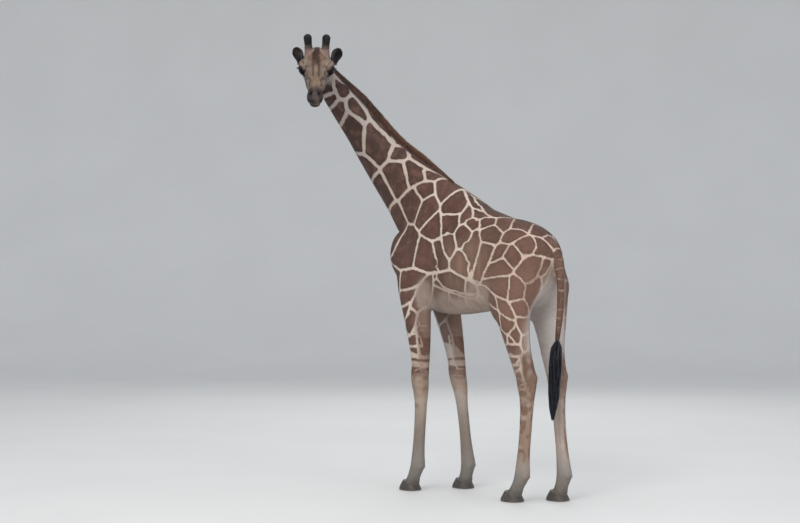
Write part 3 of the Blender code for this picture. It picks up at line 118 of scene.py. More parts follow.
def path(points, radii, n=14):
    """A round cord through points, with a radius at each."""
    points = np.asarray(points, float); radii = np.asarray(radii, float)
    t = np.linspace(0, 1, len(points)); s = np.linspace(0, 1, n)
    c = curve(t, points)(s); r = curve(t, radii)(s)
    def f(P):
        best = np.full(len(P), 1e9)
        for i in range(n - 1):
            d = c[i + 1] - c[i]
            u = np.clip((P - c[i])@d/(d@d), 0, 1)
            best = np.minimum(best, np.linalg.norm(P - c[i] - u[:, None]*d, axis=1) - (r[i] + (r[i + 1] - r[i])*u))
        return best
    m = r.max()
    return f, c.min(0) - m, c.max(0) + m

def stack(axis, ts, rows, n=2.0, slant=None):
    """A body of slices along one axis. Each row is (centre u, centre v, half size +u, -u, +v, -v).
    For axis z the slice is (f, w); for axis f it is (w, z); for axis h, in a head's own frame, it is (l, u)."""
    ts = np.asarray(ts, float)
    rows = np.asarray(rows, float)
    fn = curve(ts, rows)
    # how far the centre line leans, so that distances are true on a slanting limb
    def f(P):
        if axis == "z":
            t, u, v = P[:, 2], -P[:, 1], P[:, 0]
        elif axis == "f":
            t, u, v = -P[:, 1], P[:, 0], P[:, 2]
        else:
            t, u, v = P[:, 0], P[:, 1], P[:, 2]
        r = fn(t)
        e = 1e-3
        r2 = fn(t + e)
        du, dv = u - r[:, 0], v - r[:, 1]
        a = np.where(du > 0, r[:, 2], r[:, 3]); b = np.where(dv > 0, r[:, 4], r[:, 5])
        lean = 1.0/np.sqrt(1 + ((r2[:, 0] - r[:, 0])/e)**2 + ((r2[:, 1] - r[:, 1])/e)**2)
        d = section(du, dv, a, b, n)*np.where((t > ts[0]) & (t < ts[-1]), lean, 1.0)
        over = np.maximum(np.maximum(ts[0] - t, t - ts[-1]), 0)
        return np.where(over > 0, np.sqrt(np.maximum(d, 0)**2 + over**2), d)
    s = fn(np.linspace(ts[0], ts[-1], 40))
    ulo, uhi = (s[:, 0] - s[:, 3]).min(), (s[:, 0] + s[:, 2]).max()
    vlo, vhi = (s[:, 1] - s[:, 5]).min(), (s[:, 1] + s[:, 4]).max()
    if axis == "z":
        lo, hi = np.array([vlo, -uhi, ts[0]]), np.array([vhi, -ulo, ts[-1]])
    elif axis == "f":
        lo, hi = np.array([ulo, -ts[-1], vlo]), np.array([uhi, -ts[0], vhi])
    else:
        lo, hi = np.array([ts[0], ulo, vlo]), np.array([ts[-1], uhi, vhi])
    return f, lo, hi

def tube(points, ups, rows, n=2.0, samples=60):
    """A body round a bent centre line. Each row is (half size up, down, side); ups are the dorsal directions."""
    points = np.asarray(points, float)
    L = np.r_[0, np.cumsum(np.linalg.norm(np.diff(points, axis=0), axis=1))]
    s = np.linspace(0, L[-1], samples)
    c = curve(L, points)(s); up = curve(L, np.asarray(ups, float))(s); r = curve(L, np.asarray(rows, float))(s)
    tan = np.gradient(c, axis=0); tan /= np.linalg.norm(tan, axis=1)[:, None]
    up -= tan*(up*tan).sum(1)[:, None]; up /= np.linalg.norm(up, axis=1)[:, None]
    side = np.cross(up, tan)
    def where(P):
        d2 = ((P[:, None, :] - c[None])**2).sum(2)
        i = np.clip(d2.argmin(1), 1, samples - 2)
        rows_ = np.arange(len(P))
        a, b, e = d2[rows_, i - 1], d2[rows_, i], d2[rows_, i + 1]
        off = np.clip(0.5*(a - e)/(a - 2*b + e + 1e-12), -1, 1)
        return i + off
    def at(arr, u):
        j = np.clip(u.astype(int), 0, samples - 2); w = (u - j)[:, None]
        return arr[j]*(1 - w) + arr[j + 1]*w
    def f(P):
        out = np.empty(len(P))
        for k in range(0, len(P), 20000):
            Q = P[k:k + 20000]
            u = where(Q)
            q = Q - at(c, u)
            U, S, T, R = at(up, u), at(side, u), at(tan, u), at(r, u)
            x, y, z = (q*S).sum(1), (q*U).sum(1), (q*T).sum(1)
            d = section(x, y, R[:, 2], np.where(y > 0, R[:, 0], R[:, 1]), n)
            over = np.where((u <= 0.01) | (u >= samples - 1.01), np.abs(z), 0)
            out[k:k + 20000] = np.where(over > 0, np.sqrt(np.maximum(d, 0)**2 + over**2), d)
        return out
    f.where, f.at, f.c, f.up, f.side, f.tan, f.r, f.s = where, at, c, up, side, tan, r, s
    m = r.max()
    return f, c.min(0) - m, c.max(0) + m

# ---------------------------------------------------------------- a body: shapes blended in order
class Body:
    def __init__(self):
        self.items = []
    def add(self, shape, k=0.03):
        self.items.append(("add", *shape, k)); return self
    def cut(self, shape, k=0.01):
        self.items.append(("cut", *shape, k)); return self
    def swell(self, c, r, amp, long=None, side=None):
        """Raises the surface by amp, or sinks it, in a soft patch of half sizes r round c."""
        c = np.asarray(c, float); r = np.asarray(r, float)*np.ones(3)
        if long is None:
            R = np.eye(3)
        else:
            a = unit(long); b = np.asarray(side if side is not None else (1.0, 0, 0), float); b = unit(b - a*(a@b))
            R = np.stack([a, b, np.cross(a, b)], 1)
        def f(P):
            q = ((P - c)@R)/r
            return amp*np.exp(-1.5*(q*q).sum(1))
        ext = np.sqrt(((R*r)**2).sum(1))*1.7
        self.items.append(("swell", f, c - ext, c + ext, amp)); return self
    def both(self, how, shape_of, *args, **kw):
        for s in (1, -1):
            getattr(self, how)(shape_of(s), *args, **kw)
        return self
    def __call__(self, P, far=0.22, cell=0.25):
        P = np.asarray(P, float)
        out = np.empty(len(P))
        key = np.floor(P/cell).astype(np.int64)
        key -= key.min(0)
        m = key.max(0) + 1
        code = (key[:, 0]*m[1] + key[:, 1])*m[2] + key[:, 2]
        order = np.argsort(code, kind="stable")
        bounds = np.flatnonzero(np.diff(code[order])) + 1
        for idx in np.split(order, bounds):
            Q = P[idx]
            lo, hi = Q.min(0), Q.max(0)
            d = np.full(len(Q), far)
            for how, f, a, b, k in self.items:
                gap = np.maximum(np.maximum(a - hi, lo - b), 0)
                reach = 0.0 if how == "swell" else (0.22 if how == "add" else 0.06)
                if (gap*gap).sum() > reach*reach:
                    continue
                if how == "add":
                    d = smin(d, f(Q), k)
                elif how == "cut":
                    d = -smin(-d, f(Q), k)
                else:
                    d = d - f(Q)
            out[idx] = d
        return out

def normals_of(field, P, e=1e-3):
    g = np.stack([field(P + e*np.eye(3)[i]) - field(P - e*np.eye(3)[i]) for i in range(3)], 1)
    return g/(np.linalg.norm(g, axis=1)[:, None] + 1e-12)

def settle(field, P, level=0.0, steps=3, e=1e-3, most=0.01):
    """Moves points onto the surface along its own slope."""
    for _ in range(steps):
        g = np.stack([field(P + e*np.eye(3)[i]) - field(P - e*np.eye(3)[i]) for i in range(3)], 1)/(2*e)
        d = field(P) - level
        step = d/np.maximum((g*g).sum(1), 0.05)
        step = np.clip(step, -most, most)
        P = P - g*step[:, None]
    return P

# ---------------------------------------------------------------- the head's own frame
HEAD_O = V(1.1523, 0.6036, 3.700)         # occiput
HEAD_YAW = math.radians(132.6)          # from straight ahead to the animal's left
HEAD_PITCH = math.radians(41.0)        # nose below level
HEAD_ROLL = math.radians(-1.5)
HEAD_S = 1.0                           # head size

def head_axes():
    cy, sy = math.cos(HEAD_YAW), math.sin(HEAD_YAW)
    cp, sp = math.cos(HEAD_PITCH), math.sin(HEAD_PITCH)
    h = V(cy*cp, sy*cp, -sp)
    l = V(-sy, cy, 0)
    u = np.cross(h, l) if np.cross(h, l)[2] > 0 else -np.cross(h, l)
    c, s = math.cos(HEAD_ROLL), math.sin(HEAD_ROLL)
    l2, u2 = l*c + u*s, u*c - l*s
    return np.stack([h, l2, u2], 1)
HEAD_R = head_axes()

def to_head(P):
    return (P - HEAD_O)@HEAD_R/HEAD_S

def from_head(q):
    return np.asarray(q, float)*HEAD_S@HEAD_R.T + HEAD_O

H = lambda h, l, u: np.array([h, l, u], float)

OSS_BASE, OSS_TIP = (0.118, 0.066, 0.085), (0.075, 0.079, 0.238)
EAR_BASE, EAR_TIP = (0.080, 0.133, 0.000), (0.018, 0.184, 0.106)
EYE, EYE_R = (0.253, 0.1200, 0.031), 0.0315

def head_field(fine=True):
    B = Body()
    # long wedge of the skull and face: rows (l, u centre of the widest level, +l, -l, +u, -u)
    rows = []
    st = [  # h, top, bottom, half width, widest level
        (-0.085, -0.004, -0.020, 0.012, -0.012),
        (-0.055, 0.034, -0.050, 0.046, -0.01),
        (-0.015, 0.068, -0.072, 0.066, 0.00),
        (0.030, 0.102, -0.086, 0.084, 0.01),
        (0.075, 0.124, -0.098, 0.094, 0.012),
        (0.130, 0.132, -0.106, 0.101, 0.018),
        (0.180, 0.122, -0.108, 0.106, 0.020),
        (0.240, 0.101, -0.106, 0.100, 0.010),
        (0.300, 0.080, -0.102, 0.089, -0.008),
        (0.360, 0.060, -0.097, 0.078, -0.022),
        (0.420, 0.043, -0.091, 0.067, -0.026),
        (0.470, 0.031, -0.087, 0.060, -0.026),
        (0.520, 0.022, -0.085, 0.060, -0.028),
        (0.560, 0.009, -0.083, 0.058, -0.034),
        (0.592, -0.012, -0.078, 0.047, -0.042),
        (0.610, -0.034, -0.064, 0.022, -0.050),
    ]
    ts = [s[0] for s in st]
    rows = [(0, s[4], s[3], s[3], s[1] - s[4], s[4] - s[2]) for s in st]
    B.add(stack("h", ts, rows, n=2.25), 0.02)
    # lower jaw: deep and narrow, its angle behind the cheek
    st = [  # h, top, bottom, half width, widest level
        (0.045, -0.030, -0.090, 0.042, -0.055),
        (0.085, -0.010, -0.122, 0.066, -0.060),
        (0.130, 0.000, -0.142, 0.076, -0.068),
        (0.190, 0.000, -0.148, 0.077, -0.075),
        (0.260, -0.010, -0.142, 0.070, -0.080),
        (0.330, -0.020, -0.131, 0.060, -0.080),
        (0.400, -0.030, -0.118, 0.052, -0.078),
        (0.470, -0.040, -0.108, 0.048, -0.076),
        (0.530, -0.050, -0.105, 0.048, -0.078),
        (0.575, -0.060, -0.101, 0.036, -0.082),
    ]
    ts = [s[0] for s in st]
    rows = [(0, s[4], s[3], s[3], s[1] - s[4], s[4] - s[2]) for s in st]
    B.add(stack("h", ts, rows, n=2.0), 0.028)
    # cheeks, brows and the bony rims of the orbits
    B.both("add", lambda s: ell(H(0.180, s*0.062, -0.058), (0.095, 0.042, 0.068), (1, 0, -0.15), (0, 1, 0)), 0.03)
    B.both("add", lambda s: ell(H(0.240, s*0.117, 0.036), (0.050, 0.031, 0.041), (1, -s*0.22, -0.2), (0, 1, 0)), 0.032)
    B.both("add", lambda s: ell(H(0.218, s*0.112, 0.067), (0.056, 0.034, 0.018), (1, 0, -0.25), (0, 1, -0.2)), 0.032)
    B.both("add", lambda s: cone(H(0.272, s*0.089, -0.008), H(0.390, s*0.062, -0.044), 0.020, 0.012), 0.03)
    B.both("add", lambda s: ell(H(0.125, s*0.090, 0.045), (0.065, 0.028, 0.030), (1, 0, -0.1), (0, 1, 0)), 0.025)   # behind the eye
    B.both("add", lambda s: cone(H(0.062, s*0.080, 0.010), H(0.082, s*0.127, -0.006), 0.032, 0.021), 0.018)   # root of the ear
    # forehead
    B.add(ell(H(0.130, 0, 0.117), (0.080, 0.058, 0.028), (1, 0, -0.15), (0, 1, 0)), 0.03)
    B.add(cone(H(0.25, 0, 0.083), H(0.46, 0, 0.022), 0.020, 0.014), 0.03)
    # muzzle: nostril wings, upper lip, lower lip and chin
    B.both("add", lambda s: ell(H(0.535, s*0.034, -0.004), (0.034, 0.018, 0.020), (1, -s*0.1, -0.3), (0, 1, 0)), 0.02)
    B.add(ell(H(0.574, 0, -0.034), (0.038, 0.056, 0.032), (1, 0, -0.7), (0, 1, 0)), 0.02)
    B.both("add", lambda s: ell(H(0.547, s*0.038, -0.046), (0.050, 0.027, 0.025), (1, -s*0.15, -0.35), (0, 1, 0)), 0.02)
    B.add(ell(H(0.560, 0, -0.096), (0.036, 0.043, 0.022), (1, 0, 0.0), (0, 1, 0)), 0.014)
    if fine:
        # mouth line between the lips
        B.cut(path([H(0.63, 0, -0.076), H(0.596, 0.040, -0.075), H(0.550, 0.062, -0.074), H(0.49, 0.070, -0.071), H(0.45, 0.072, -0.066)],
                   [0.0045, 0.0045, 0.004, 0.0035, 0.002], 16), 0.006)
        B.cut(path([H(0.63, 0, -0.076), H(0.596, -0.040, -0.075), H(0.550, -0.062, -0.074), H(0.49, -0.070, -0.071), H(0.45, -0.072, -0.066)],
                   [0.0045, 0.0045, 0.004, 0.0035, 0.002], 16), 0.006)
        # nostrils: slanting slits
        B.both("cut", lambda s: ell(H(0.552, s*0.033, 0.004), (0.021, 0.0055, 0.016), (0.85, s*0.45, -0.25), (0, 1, 0.3*s)), 0.006)
    # hollow before the cheek, and between the jaw bones
    B.both("swell", lambda s: H(0.345, s*0.086, -0.065), (0.07, 0.03, 0.03), -0.005)
    B.both("swell", lambda s: H(0.305, s*0.088, 0.030), (0.040, 0.030, 0.024), -0.012)
    B.swell(H(0.33, 0, -0.135), (0.12, 0.025, 0.03), -0.010)
    # eye sockets
    if fine:
        B.both("cut", lambda s: ell(H(EYE[0] + 0.014, s*(EYE[1] + 0.013), EYE[2] + 0.003), (0.0310, 0.025, 0.0230), (1, -s*0.50, -0.20), (0, 1, 0)), 0.006)
        # creases of the upper and lower lid
        B.both("cut", lambda s: path([H(0.224, s*0.161, 0.042), H(0.244, s*0.162, 0.0690), H(0.270, s*0.150, 0.0670), H(0.297, s*0.128, 0.046)], [0.0015, 0.0032, 0.0030, 0.0015], 12), 0.006)
        B.both("cut", lambda s: path([H(0.236, s*0.158, 0.007), H(0.256, s*0.152, -0.0030), H(0.280, s*0.136, -0.0010), H(0.301, s*0.117, 0.011)], [0.0012, 0.0024, 0.0024, 0.0012], 12), 0.006)
    else:
        B.both("swell", lambda s: H(EYE[0] + 0.014, s*(EYE[1] + 0.025), EYE[2] + 0.003), (0.038, 0.024, 0.029), -0.016)
    return B

def ossicones():
    B = Body()
    for s in (1, -1):
        b, t = H(OSS_BASE[0], s*OSS_BASE[1], OSS_BASE[2]), H(OSS_TIP[0], s*OSS_TIP[1], OSS_TIP[2])
        d = t - b
        B.add(cone(b - d*0.1, b + d*0.45, 0.046, 0.0290), 0.02)
        B.add(cone(b + d*0.3, t, 0.0285, 0.0330), 0.015)
    return B

def ear_frame(s):
    """Base, tip, length and axes of an ear, and its half width, hollow and thickness at a distance from the base."""
    b, t = from_head((EAR_BASE[0], s*EAR_BASE[1], EAR_BASE[2])), from_head((EAR_TIP[0], s*EAR_TIP[1], EAR_TIP[2]))
    L = np.linalg.norm(t - b)
    a = (t - b)/L
    face = HEAD_R@H(0.72, s*0.38, 0.40); face = face - a*(face@a); face /= np.linalg.norm(face)
    wide = np.cross(a, face)
    def shape(x):
        u = np.clip(x/L, 0, 1)
        half = 0.0430*np.maximum(np.sin(np.pi*u**1.60), 0)**0.72 + 0.016*(1 - u)**1.5 + 0.002
        cup = 0.034*np.sin(np.pi*np.clip(u*0.90 + 0.10, 0, 1))
        return half, cup, 0.0046 + 0.010*(1 - u)**3
    return b, t, L, a, wide, face, shape

def ear(s):
    """A leaf-shaped cup, open to the front and side."""
    b, t, L, a, wide, face, shape = ear_frame(s)
    def f(P):
        q = P - b
        x, y, z = q@a, q@wide, q@face
        half, cup, th = shape(x)
        mid = z + cup*(1 - (y/half)**2) - 0.012
        slope = np.sqrt(1 + (2*0.036*y/np.maximum(half, 0.012)**2)**2)
        d1 = np.abs(mid)/slope - th
        e = np.maximum(np.abs(y) - half, np.maximum(-x - 0.01, x - L))
        k = 0.006
        h_ = np.clip(0.5 - 0.5*(e - d1)/k, 0, 1)
        return e*(1 - h_) + d1*h_ + k*h_*(1 - h_)
    ends = np.stack([b - 0.08, b + 0.08, t - 0.06, t + 0.06])
    return f, ends.min(0), ends.max(0)

# ---------------------------------------------------------------- neck and trunk
NECK = [  # centre line (f, w, z) and half sizes: up, down, side
    ((0.12, 0.0, 2.08), (0.42, 0.30, 0.185)),
    ((0.42, 0.0, 2.36), (0.365, 0.34, 0.180)),
    ((0.63, 0.005, 2.565), (0.300, 0.278, 0.166)),
    ((0.82, 0.035, 2.775), (0.235, 0.236, 0.148)),
    ((0.94, 0.085, 2.95), (0.192, 0.212, 0.130)),
    ((1.03, 0.16, 3.11), (0.172, 0.180, 0.117)),
    ((1.10, 0.26, 3.28), (0.142, 0.164, 0.105)),
    ((1.15, 0.375, 3.44), (0.105, 0.144, 0.095)),
    ((1.165, 0.49, 3.570), (0.070, 0.120, 0.085)),
    ((1.140, 0.60, 3.665), (0.043, 0.085, 0.070)),
    ((1.090, 0.66, 3.680), (0.040, 0.050, 0.045)),
]
def neck_tube():
    pts = [V(*p) for p, _ in NECK]
    rows = [r for _, r in NECK]
    ups = []
    hu = HEAD_R[:, 2]
    for i, p in enumerate(pts):
        t = i/(len(pts) - 1)
        ups.append(V(-0.6, 0, 0.8)*(1 - t**2) + (unit(hu + np.array([0, 0, 0.3])))*t**2)
    return tube(pts, ups, rows, 2.15, 80)

def tail_tube():
    pts = [V(-0.84, 0.0, 2.08), V(-0.935, 0.0, 2.035), V(-0.985, 0.0, 1.94), V(-1.008, 0.0, 1.78), V(-1.010, 0.003, 1.60), V(-1.002, 0.012, 1.44), V(-0.990, 0.022, 1.30)]
    rows = [(0.06, 0.07, 0.06), (0.044, 0.050, 0.046), (0.034, 0.036, 0.037), (0.029, 0.029, 0.031), (0.026, 0.026, 0.028), (0.023, 0.023, 0.025), (0.016, 0.016, 0.017)]
    return tube(pts, [V(-0.5, 0, 0.9)] + [V(-1, 0, 0.2)]*6, rows, 2.0, 40)

def trunk():
    st = [  # f, top, bottom, half width, widest level
        (-0.955, 2.040, 1.820, 0.045, 1.93),
        (-0.920, 2.095, 1.720, 0.092, 1.93),
        (-0.850, 2.165, 1.650, 0.150, 1.93),
        (-0.760, 2.225, 1.605, 0.195, 1.93),
        (-0.640, 2.266, 1.580, 0.234, 1.93),
        (-0.500, 2.295, 1.560, 0.270, 1.93),
        (-0.360, 2.340, 1.540, 0.300, 1.92),
        (-0.200, 2.400, 1.516, 0.315, 1.90),
        (-0.050, 2.470, 1.498, 0.310, 1.88),
        (0.080, 2.515, 1.492, 0.290, 1.88),
        (0.200, 2.500, 1.498, 0.262, 1.89),
        (0.320, 2.440, 1.520, 0.232, 1.91),
        (0.430, 2.340, 1.575, 0.200, 1.93),
        (0.530, 2.240, 1.670, 0.160, 1.96),
        (0.600, 2.120, 1.780, 0.110, 1.96),
        (0.650, 2.030, 1.880, 0.050, 1.96),
    ]
    ts = [s[0] for s in st]
    rows = [(0, s[4], s[3], s[3], s[1] - s[4], s[4] - s[2]) for s in st]
    return stack("f", ts, rows, n=2.12)

# ---------------------------------------------------------------- legs: rows of (z, f, w, half front, half back, half side)
LEG_FL = [
    (2.20, 0.36, 0.120, 0.03, 0.03, 0.02), (2.08, 0.40, 0.135, 0.10, 0.10, 0.07), (1.95, 0.425, 0.150, 0.145, 0.145, 0.096), (1.75, 0.415, 0.172, 0.150, 0.150, 0.108), (1.60, 0.395, 0.185, 0.138, 0.145, 0.100),
    (1.48, 0.370, 0.192, 0.125, 0.128, 0.092), (1.33, 0.348, 0.196, 0.106, 0.112, 0.080), (1.17, 0.328, 0.199, 0.087, 0.090, 0.067),
    (1.06, 0.322, 0.200, 0.079, 0.078, 0.063), (0.98, 0.326, 0.200, 0.080, 0.072, 0.067), (0.91, 0.324, 0.200, 0.076, 0.070, 0.065),
    (0.83, 0.318, 0.201, 0.063, 0.063, 0.055), (0.74, 0.318, 0.202, 0.052, 0.055, 0.047), (0.60, 0.325, 0.203, 0.047, 0.053, 0.043),
    (0.42, 0.338, 0.204, 0.047, 0.053, 0.043), (0.30, 0.347, 0.205, 0.051, 0.058, 0.049), (0.215, 0.354, 0.205, 0.056, 0.064, 0.056),
    (0.165, 0.372, 0.205, 0.054, 0.060, 0.054), (0.115, 0.396, 0.205, 0.052, 0.056, 0.053), (0.07, 0.414, 0.205, 0.060, 0.062, 0.060), (0.035, 0.425, 0.205, 0.066, 0.064, 0.064),
]
LEG_FR = [
    (2.20, 0.36, -0.120, 0.03, 0.03, 0.02), (2.08, 0.40, -0.135, 0.10, 0.10, 0.07), (1.95, 0.425, -0.150, 0.145, 0.145, 0.096), (1.75, 0.415, -0.172, 0.150, 0.150, 0.108), (1.60, 0.395, -0.185, 0.138, 0.145, 0.100),
    (1.48, 0.365, -0.192, 0.122, 0.128, 0.092), (1.33, 0.325, -0.196, 0.104, 0.110, 0.078), (1.17, 0.286, -0.199, 0.086, 0.088, 0.066),
    (1.06, 0.264, -0.200, 0.079, 0.077, 0.062), (0.98, 0.254, -0.200, 0.080, 0.071, 0.066), (0.91, 0.240, -0.200, 0.075, 0.069, 0.064),
    (0.83, 0.224, -0.200, 0.061, 0.062, 0.054), (0.74, 0.210, -0.200, 0.050, 0.053, 0.045), (0.60, 0.190, -0.200, 0.045, 0.050, 0.041),
    (0.42, 0.166, -0.200, 0.046, 0.051, 0.042), (0.30, 0.150, -0.200, 0.052, 0.058, 0.049), (0.215, 0.140, -0.200, 0.056, 0.064, 0.056),
    (0.165, 0.146, -0.200, 0.054, 0.060, 0.054), (0.115, 0.160, -0.200, 0.052, 0.056, 0.053), (0.07, 0.172, -0.200, 0.060, 0.062, 0.060), (0.035, 0.181, -0.200, 0.066, 0.064, 0.064),
]
LEG_HL = [
    (2.08, -0.66, 0.110, 0.04, 0.04, 0.03), (1.93, -0.665, 0.140, 0.165, 0.170, 0.100), (1.78, -0.665, 0.165, 0.215, 0.225, 0.125), (1.62, -0.665, 0.178, 0.190, 0.190, 0.118), (1.50, -0.668, 0.183, 0.162, 0.155, 0.106),
    (1.40, -0.690, 0.181, 0.142, 0.124, 0.093), (1.30, -0.712, 0.178, 0.126, 0.106, 0.079), (1.18, -0.742, 0.174, 0.112, 0.096, 0.066),
    (1.08, -0.770, 0.171, 0.102, 0.095, 0.058), (1.00, -0.792, 0.169, 0.095, 0.096, 0.058), (0.93, -0.798, 0.168, 0.083, 0.083, 0.056),
    (0.85, -0.797, 0.167, 0.062, 0.068, 0.050), (0.75, -0.793, 0.166, 0.053, 0.058, 0.044), (0.60, -0.782, 0.165, 0.048, 0.053, 0.041),
    (0.42, -0.764, 0.164, 0.048, 0.053, 0.042), (0.30, -0.751, 0.163, 0.053, 0.060, 0.049), (0.215, -0.741, 0.162, 0.057, 0.066, 0.056),
    (0.165, -0.722, 0.162, 0.054, 0.061, 0.054), (0.115, -0.692, 0.162, 0.052, 0.056, 0.053), (0.07, -0.668, 0.162, 0.060, 0.062, 0.060), (0.035, -0.655, 0.162, 0.066, 0.064, 0.064),
]
LEG_HR = [
    (2.08, -0.66, -0.110, 0.04, 0.04, 0.03), (1.93, -0.68, -0.140, 0.165, 0.170, 0.100), (1.78, -0.705, -0.165, 0.215, 0.230, 0.125), (1.62, -0.725, -0.172, 0.190, 0.200, 0.118), (1.50, -0.745, -0.172, 0.165, 0.170, 0.106),
    (1.40, -0.775, -0.166, 0.144, 0.138, 0.093), (1.30, -0.797, -0.160, 0.128, 0.112, 0.079), (1.18, -0.820, -0.153, 0.113, 0.096, 0.066),
    (1.08, -0.842, -0.148, 0.102, 0.094, 0.058), (1.00, -0.860, -0.145, 0.094, 0.095, 0.058), (0.93, -0.868, -0.142, 0.082, 0.082, 0.056),
    (0.85, -0.874, -0.140, 0.061, 0.067, 0.050), (0.75, -0.882, -0.138, 0.052, 0.057, 0.044), (0.60, -0.896, -0.135, 0.047, 0.052, 0.041),
    (0.42, -0.918, -0.132, 0.047, 0.053, 0.042), (0.30, -0.934, -0.130, 0.053, 0.060, 0.049), (0.215, -0.942, -0.129, 0.057, 0.066, 0.056),
    (0.165, -0.934, -0.128, 0.054, 0.061, 0.054), (0.115, -0.916, -0.128, 0.052, 0.056, 0.053), (0.07, -0.902, -0.128, 0.060, 0.062, 0.060), (0.035, -0.893, -0.128, 0.066, 0.064, 0.064),
]
def leg(rows, n=2.15):
    rows = sorted(rows)
    return stack("z", [r[0] for r in rows], [(r[1], r[2], r[3], r[4], r[5], r[5]) for r in rows], n)

def body_field(head=True, ears=True, tail=True, fine=True):
    B = Body()
    B.add(trunk(), 0.05)
    B.add(neck_tube(), 0.12)
    for s in (1, -1):
        # shoulder blade, point of the shoulder, upper arm, elbow
        B.add(ell(V(0.255, s*0.150, 2.06), (0.40, 0.21, 0.085), V(0.42, s*0.10, -0.75), V(1, 0, 0.5)), 0.10)
        B.add(ell(V(0.548, s*0.147, 1.985), (0.215, 0.138, 0.100), V(0.13, 0, 1), V(1, 0, 0)), 0.075)
        B.add(ell(V(0.35, s*0.185, 1.80), (0.25, 0.155, 0.085), V(-0.45, 0, 1), V(1, 0, 0.3)), 0.07)
        # thigh
        B.add(ell(V(-0.680, s*0.140, 1.84), (0.32, 0.215, 0.104), V(0.22, 0, -1), V(1, 0, 0.3)), 0.12)
    B.add(ell(V(-0.850, 0.088, 1.84), (0.24, 0.095, 0.078), V(0.20, 0.12, -1), V(1, 0, 0.2)), 0.06)
    B.add(ell(V(-0.865, -0.088, 1.80), (0.27, 0.100, 0.078), V(0.04, -0.10, -1), V(1, 0, 0.2)), 0.06)
    B.add(ell(V(-0.535, 0.190, 1.60), (0.135, 0.085, 0.068), V(0.0, 0, 1), V(1, 0, 0)), 0.06)          # stifle
    B.add(ell(V(-0.600, -0.185, 1.58), (0.135, 0.085, 0.068), V(-0.1, 0, 1), V(1, 0, 0)), 0.06)
    for L in (LEG_FL, LEG_FR, LEG_HL, LEG_HR):
        B.add(leg(L), 0.055)
    if tail:
        B.add(tail_tube(), 0.035)
    for s in (1, -1):
        B.swell(V(-0.49, s*0.235, 2.13), (0.15, 0.13, 0.10), 0.016)                       # point of the hip
        B.swell(V(-0.37, s*0.29, 1.96), (0.16, 0.14, 0.22), -0.016)                       # hollow of the flank
        B.swell(V(0.07, s*0.26, 2.12), (0.34, 0.12, 0.16), -0.009, V(0.3, 0, -1), V(1, 0, 0.3))   # behind the shoulder blade
        B.swell(V(0.20, s*0.23, 2.12), (0.32, 0.07, 0.14), 0.008, V(0.42, 0, -0.75), V(1, 0, 0.5))  # spine of the blade
        B.swell(V(0.275, s*0.20, 1.62), (0.08, 0.09, 0.07), 0.022)                        # point of the elbow
        B.swell(V(0.10, s*0.20, 1.60), (0.12, 0.12, 0.14), -0.010)                        # girth behind the elbow
        B.swell(V(0.60, s*0.09, 2.20), (0.16, 0.07, 0.08), -0.018, V(-0.5, 0, 0.8), V(1, 0, 0.6))  # furrow before the shoulder
        B.swell(V(0.60, s*0.17, 1.97), (0.08, 0.10, 0.09), 0.012)                         # point of the shoulder
    for L, hind in ((LEG_FL, 0), (LEG_FR, 0), (LEG_HL, 1), (LEG_HR, 1)):
        c = curve([r[0] for r in sorted(L)], [r[1:] for r in sorted(L)])
        if hind:
            for s in (1, -1):   # furrow before the hamstring cord above the hock
                f, w, a, b, e = c(1.12)
                B.swell(V(f - b*0.38, w + s*e*0.95, 1.14), (0.12, 0.022, 0.035), -0.013, V(-0.12, 0, -1), V(1, 0, 0))
            f, w, a, b, e = c(1.0)
            B.swell(V(f - b*0.95, w, 1.005), (0.04, 0.05, 0.035), 0.010)
            B.swell(V(f + a*0.9, w, 0.985), (0.04, 0.05, 0.05), -0.006)
        else:
            f, w, a, b, e = c(0.95)
            B.swell(V(f + a, w, 0.955), (0.03, 0.05, 0.06), 0.006)
            B.swell(V(f - b, w, 0.985), (0.03, 0.03, 0.03), 0.008)
            for s in (1, -1):
                B.swell(V(f - 0.01, w + s*e, 0.90), (0.03, 0.02, 0.03), 0.005)
        for s in (1, -1):       # cord behind the cannon stands apart from the bone
            for z in (0.40, 0.52, 0.64):
                f, w, a, b, e = c(z)
                B.swell(V(f - b*0.22, w + s*e, z), (0.09, 0.014, 0.03), -0.0055, V(0, 0, 1), V(1, 0, 0))
        f, w, a, b, e = c(0.225)
        for s in (1, -1):       # dew claws' place: two knobs behind the fetlock
            B.swell(V(f - b*0.92, w + s*0.028, 0.20), (0.02, 0.02, 0.022), 0.008)
    if head:
        hf = head_field(fine); os_ = ossicones(); e1 = ear(1); e2 = ear(-1)
        def hd(P):
            q = to_head(P)
            d = hf(q, far=0.25, cell=0.12)
            d = smin(d, os_(q, far=0.25, cell=0.2), 0.022) if ears else d
            for e in (e1, e2) if ears else ():
                m = ((P > e[1] - 0.03) & (P < e[2] + 0.03)).all(1)
                if m.any():
                    d[m] = smin(d[m], e[0](P[m]), 0.012)
            return d*HEAD_S
        c = from_head((0.3, 0, 0.05))
        B.add((hd, c - 0.46*HEAD_S, c + 0.46*HEAD_S), 0.055)
    return B

# ================================================================ the skin
LAP = time.time()
def lap(what):
    """Prints how long a step took, for the builder."""
    global LAP
    print("%6.1f s  %s" % (time.time() - LAP, what), flush=True)
    LAP = time.time()

def graded(lo, hi, h, fine_lo, fine_hi, hf, block=4):
    """Coordinates h apart, easing to hf apart between fine_lo and fine_hi; a whole number of blocks."""
    xs = [lo]
    while xs[-1] < hi or (len(xs) - 1) % block:
        x = xs[-1]
        away = max(fine_lo - x, x - fine_hi, 0.0)
        xs.append(x + hf + (h - hf)*min(1.0, away/0.10))
    return np.array(xs)

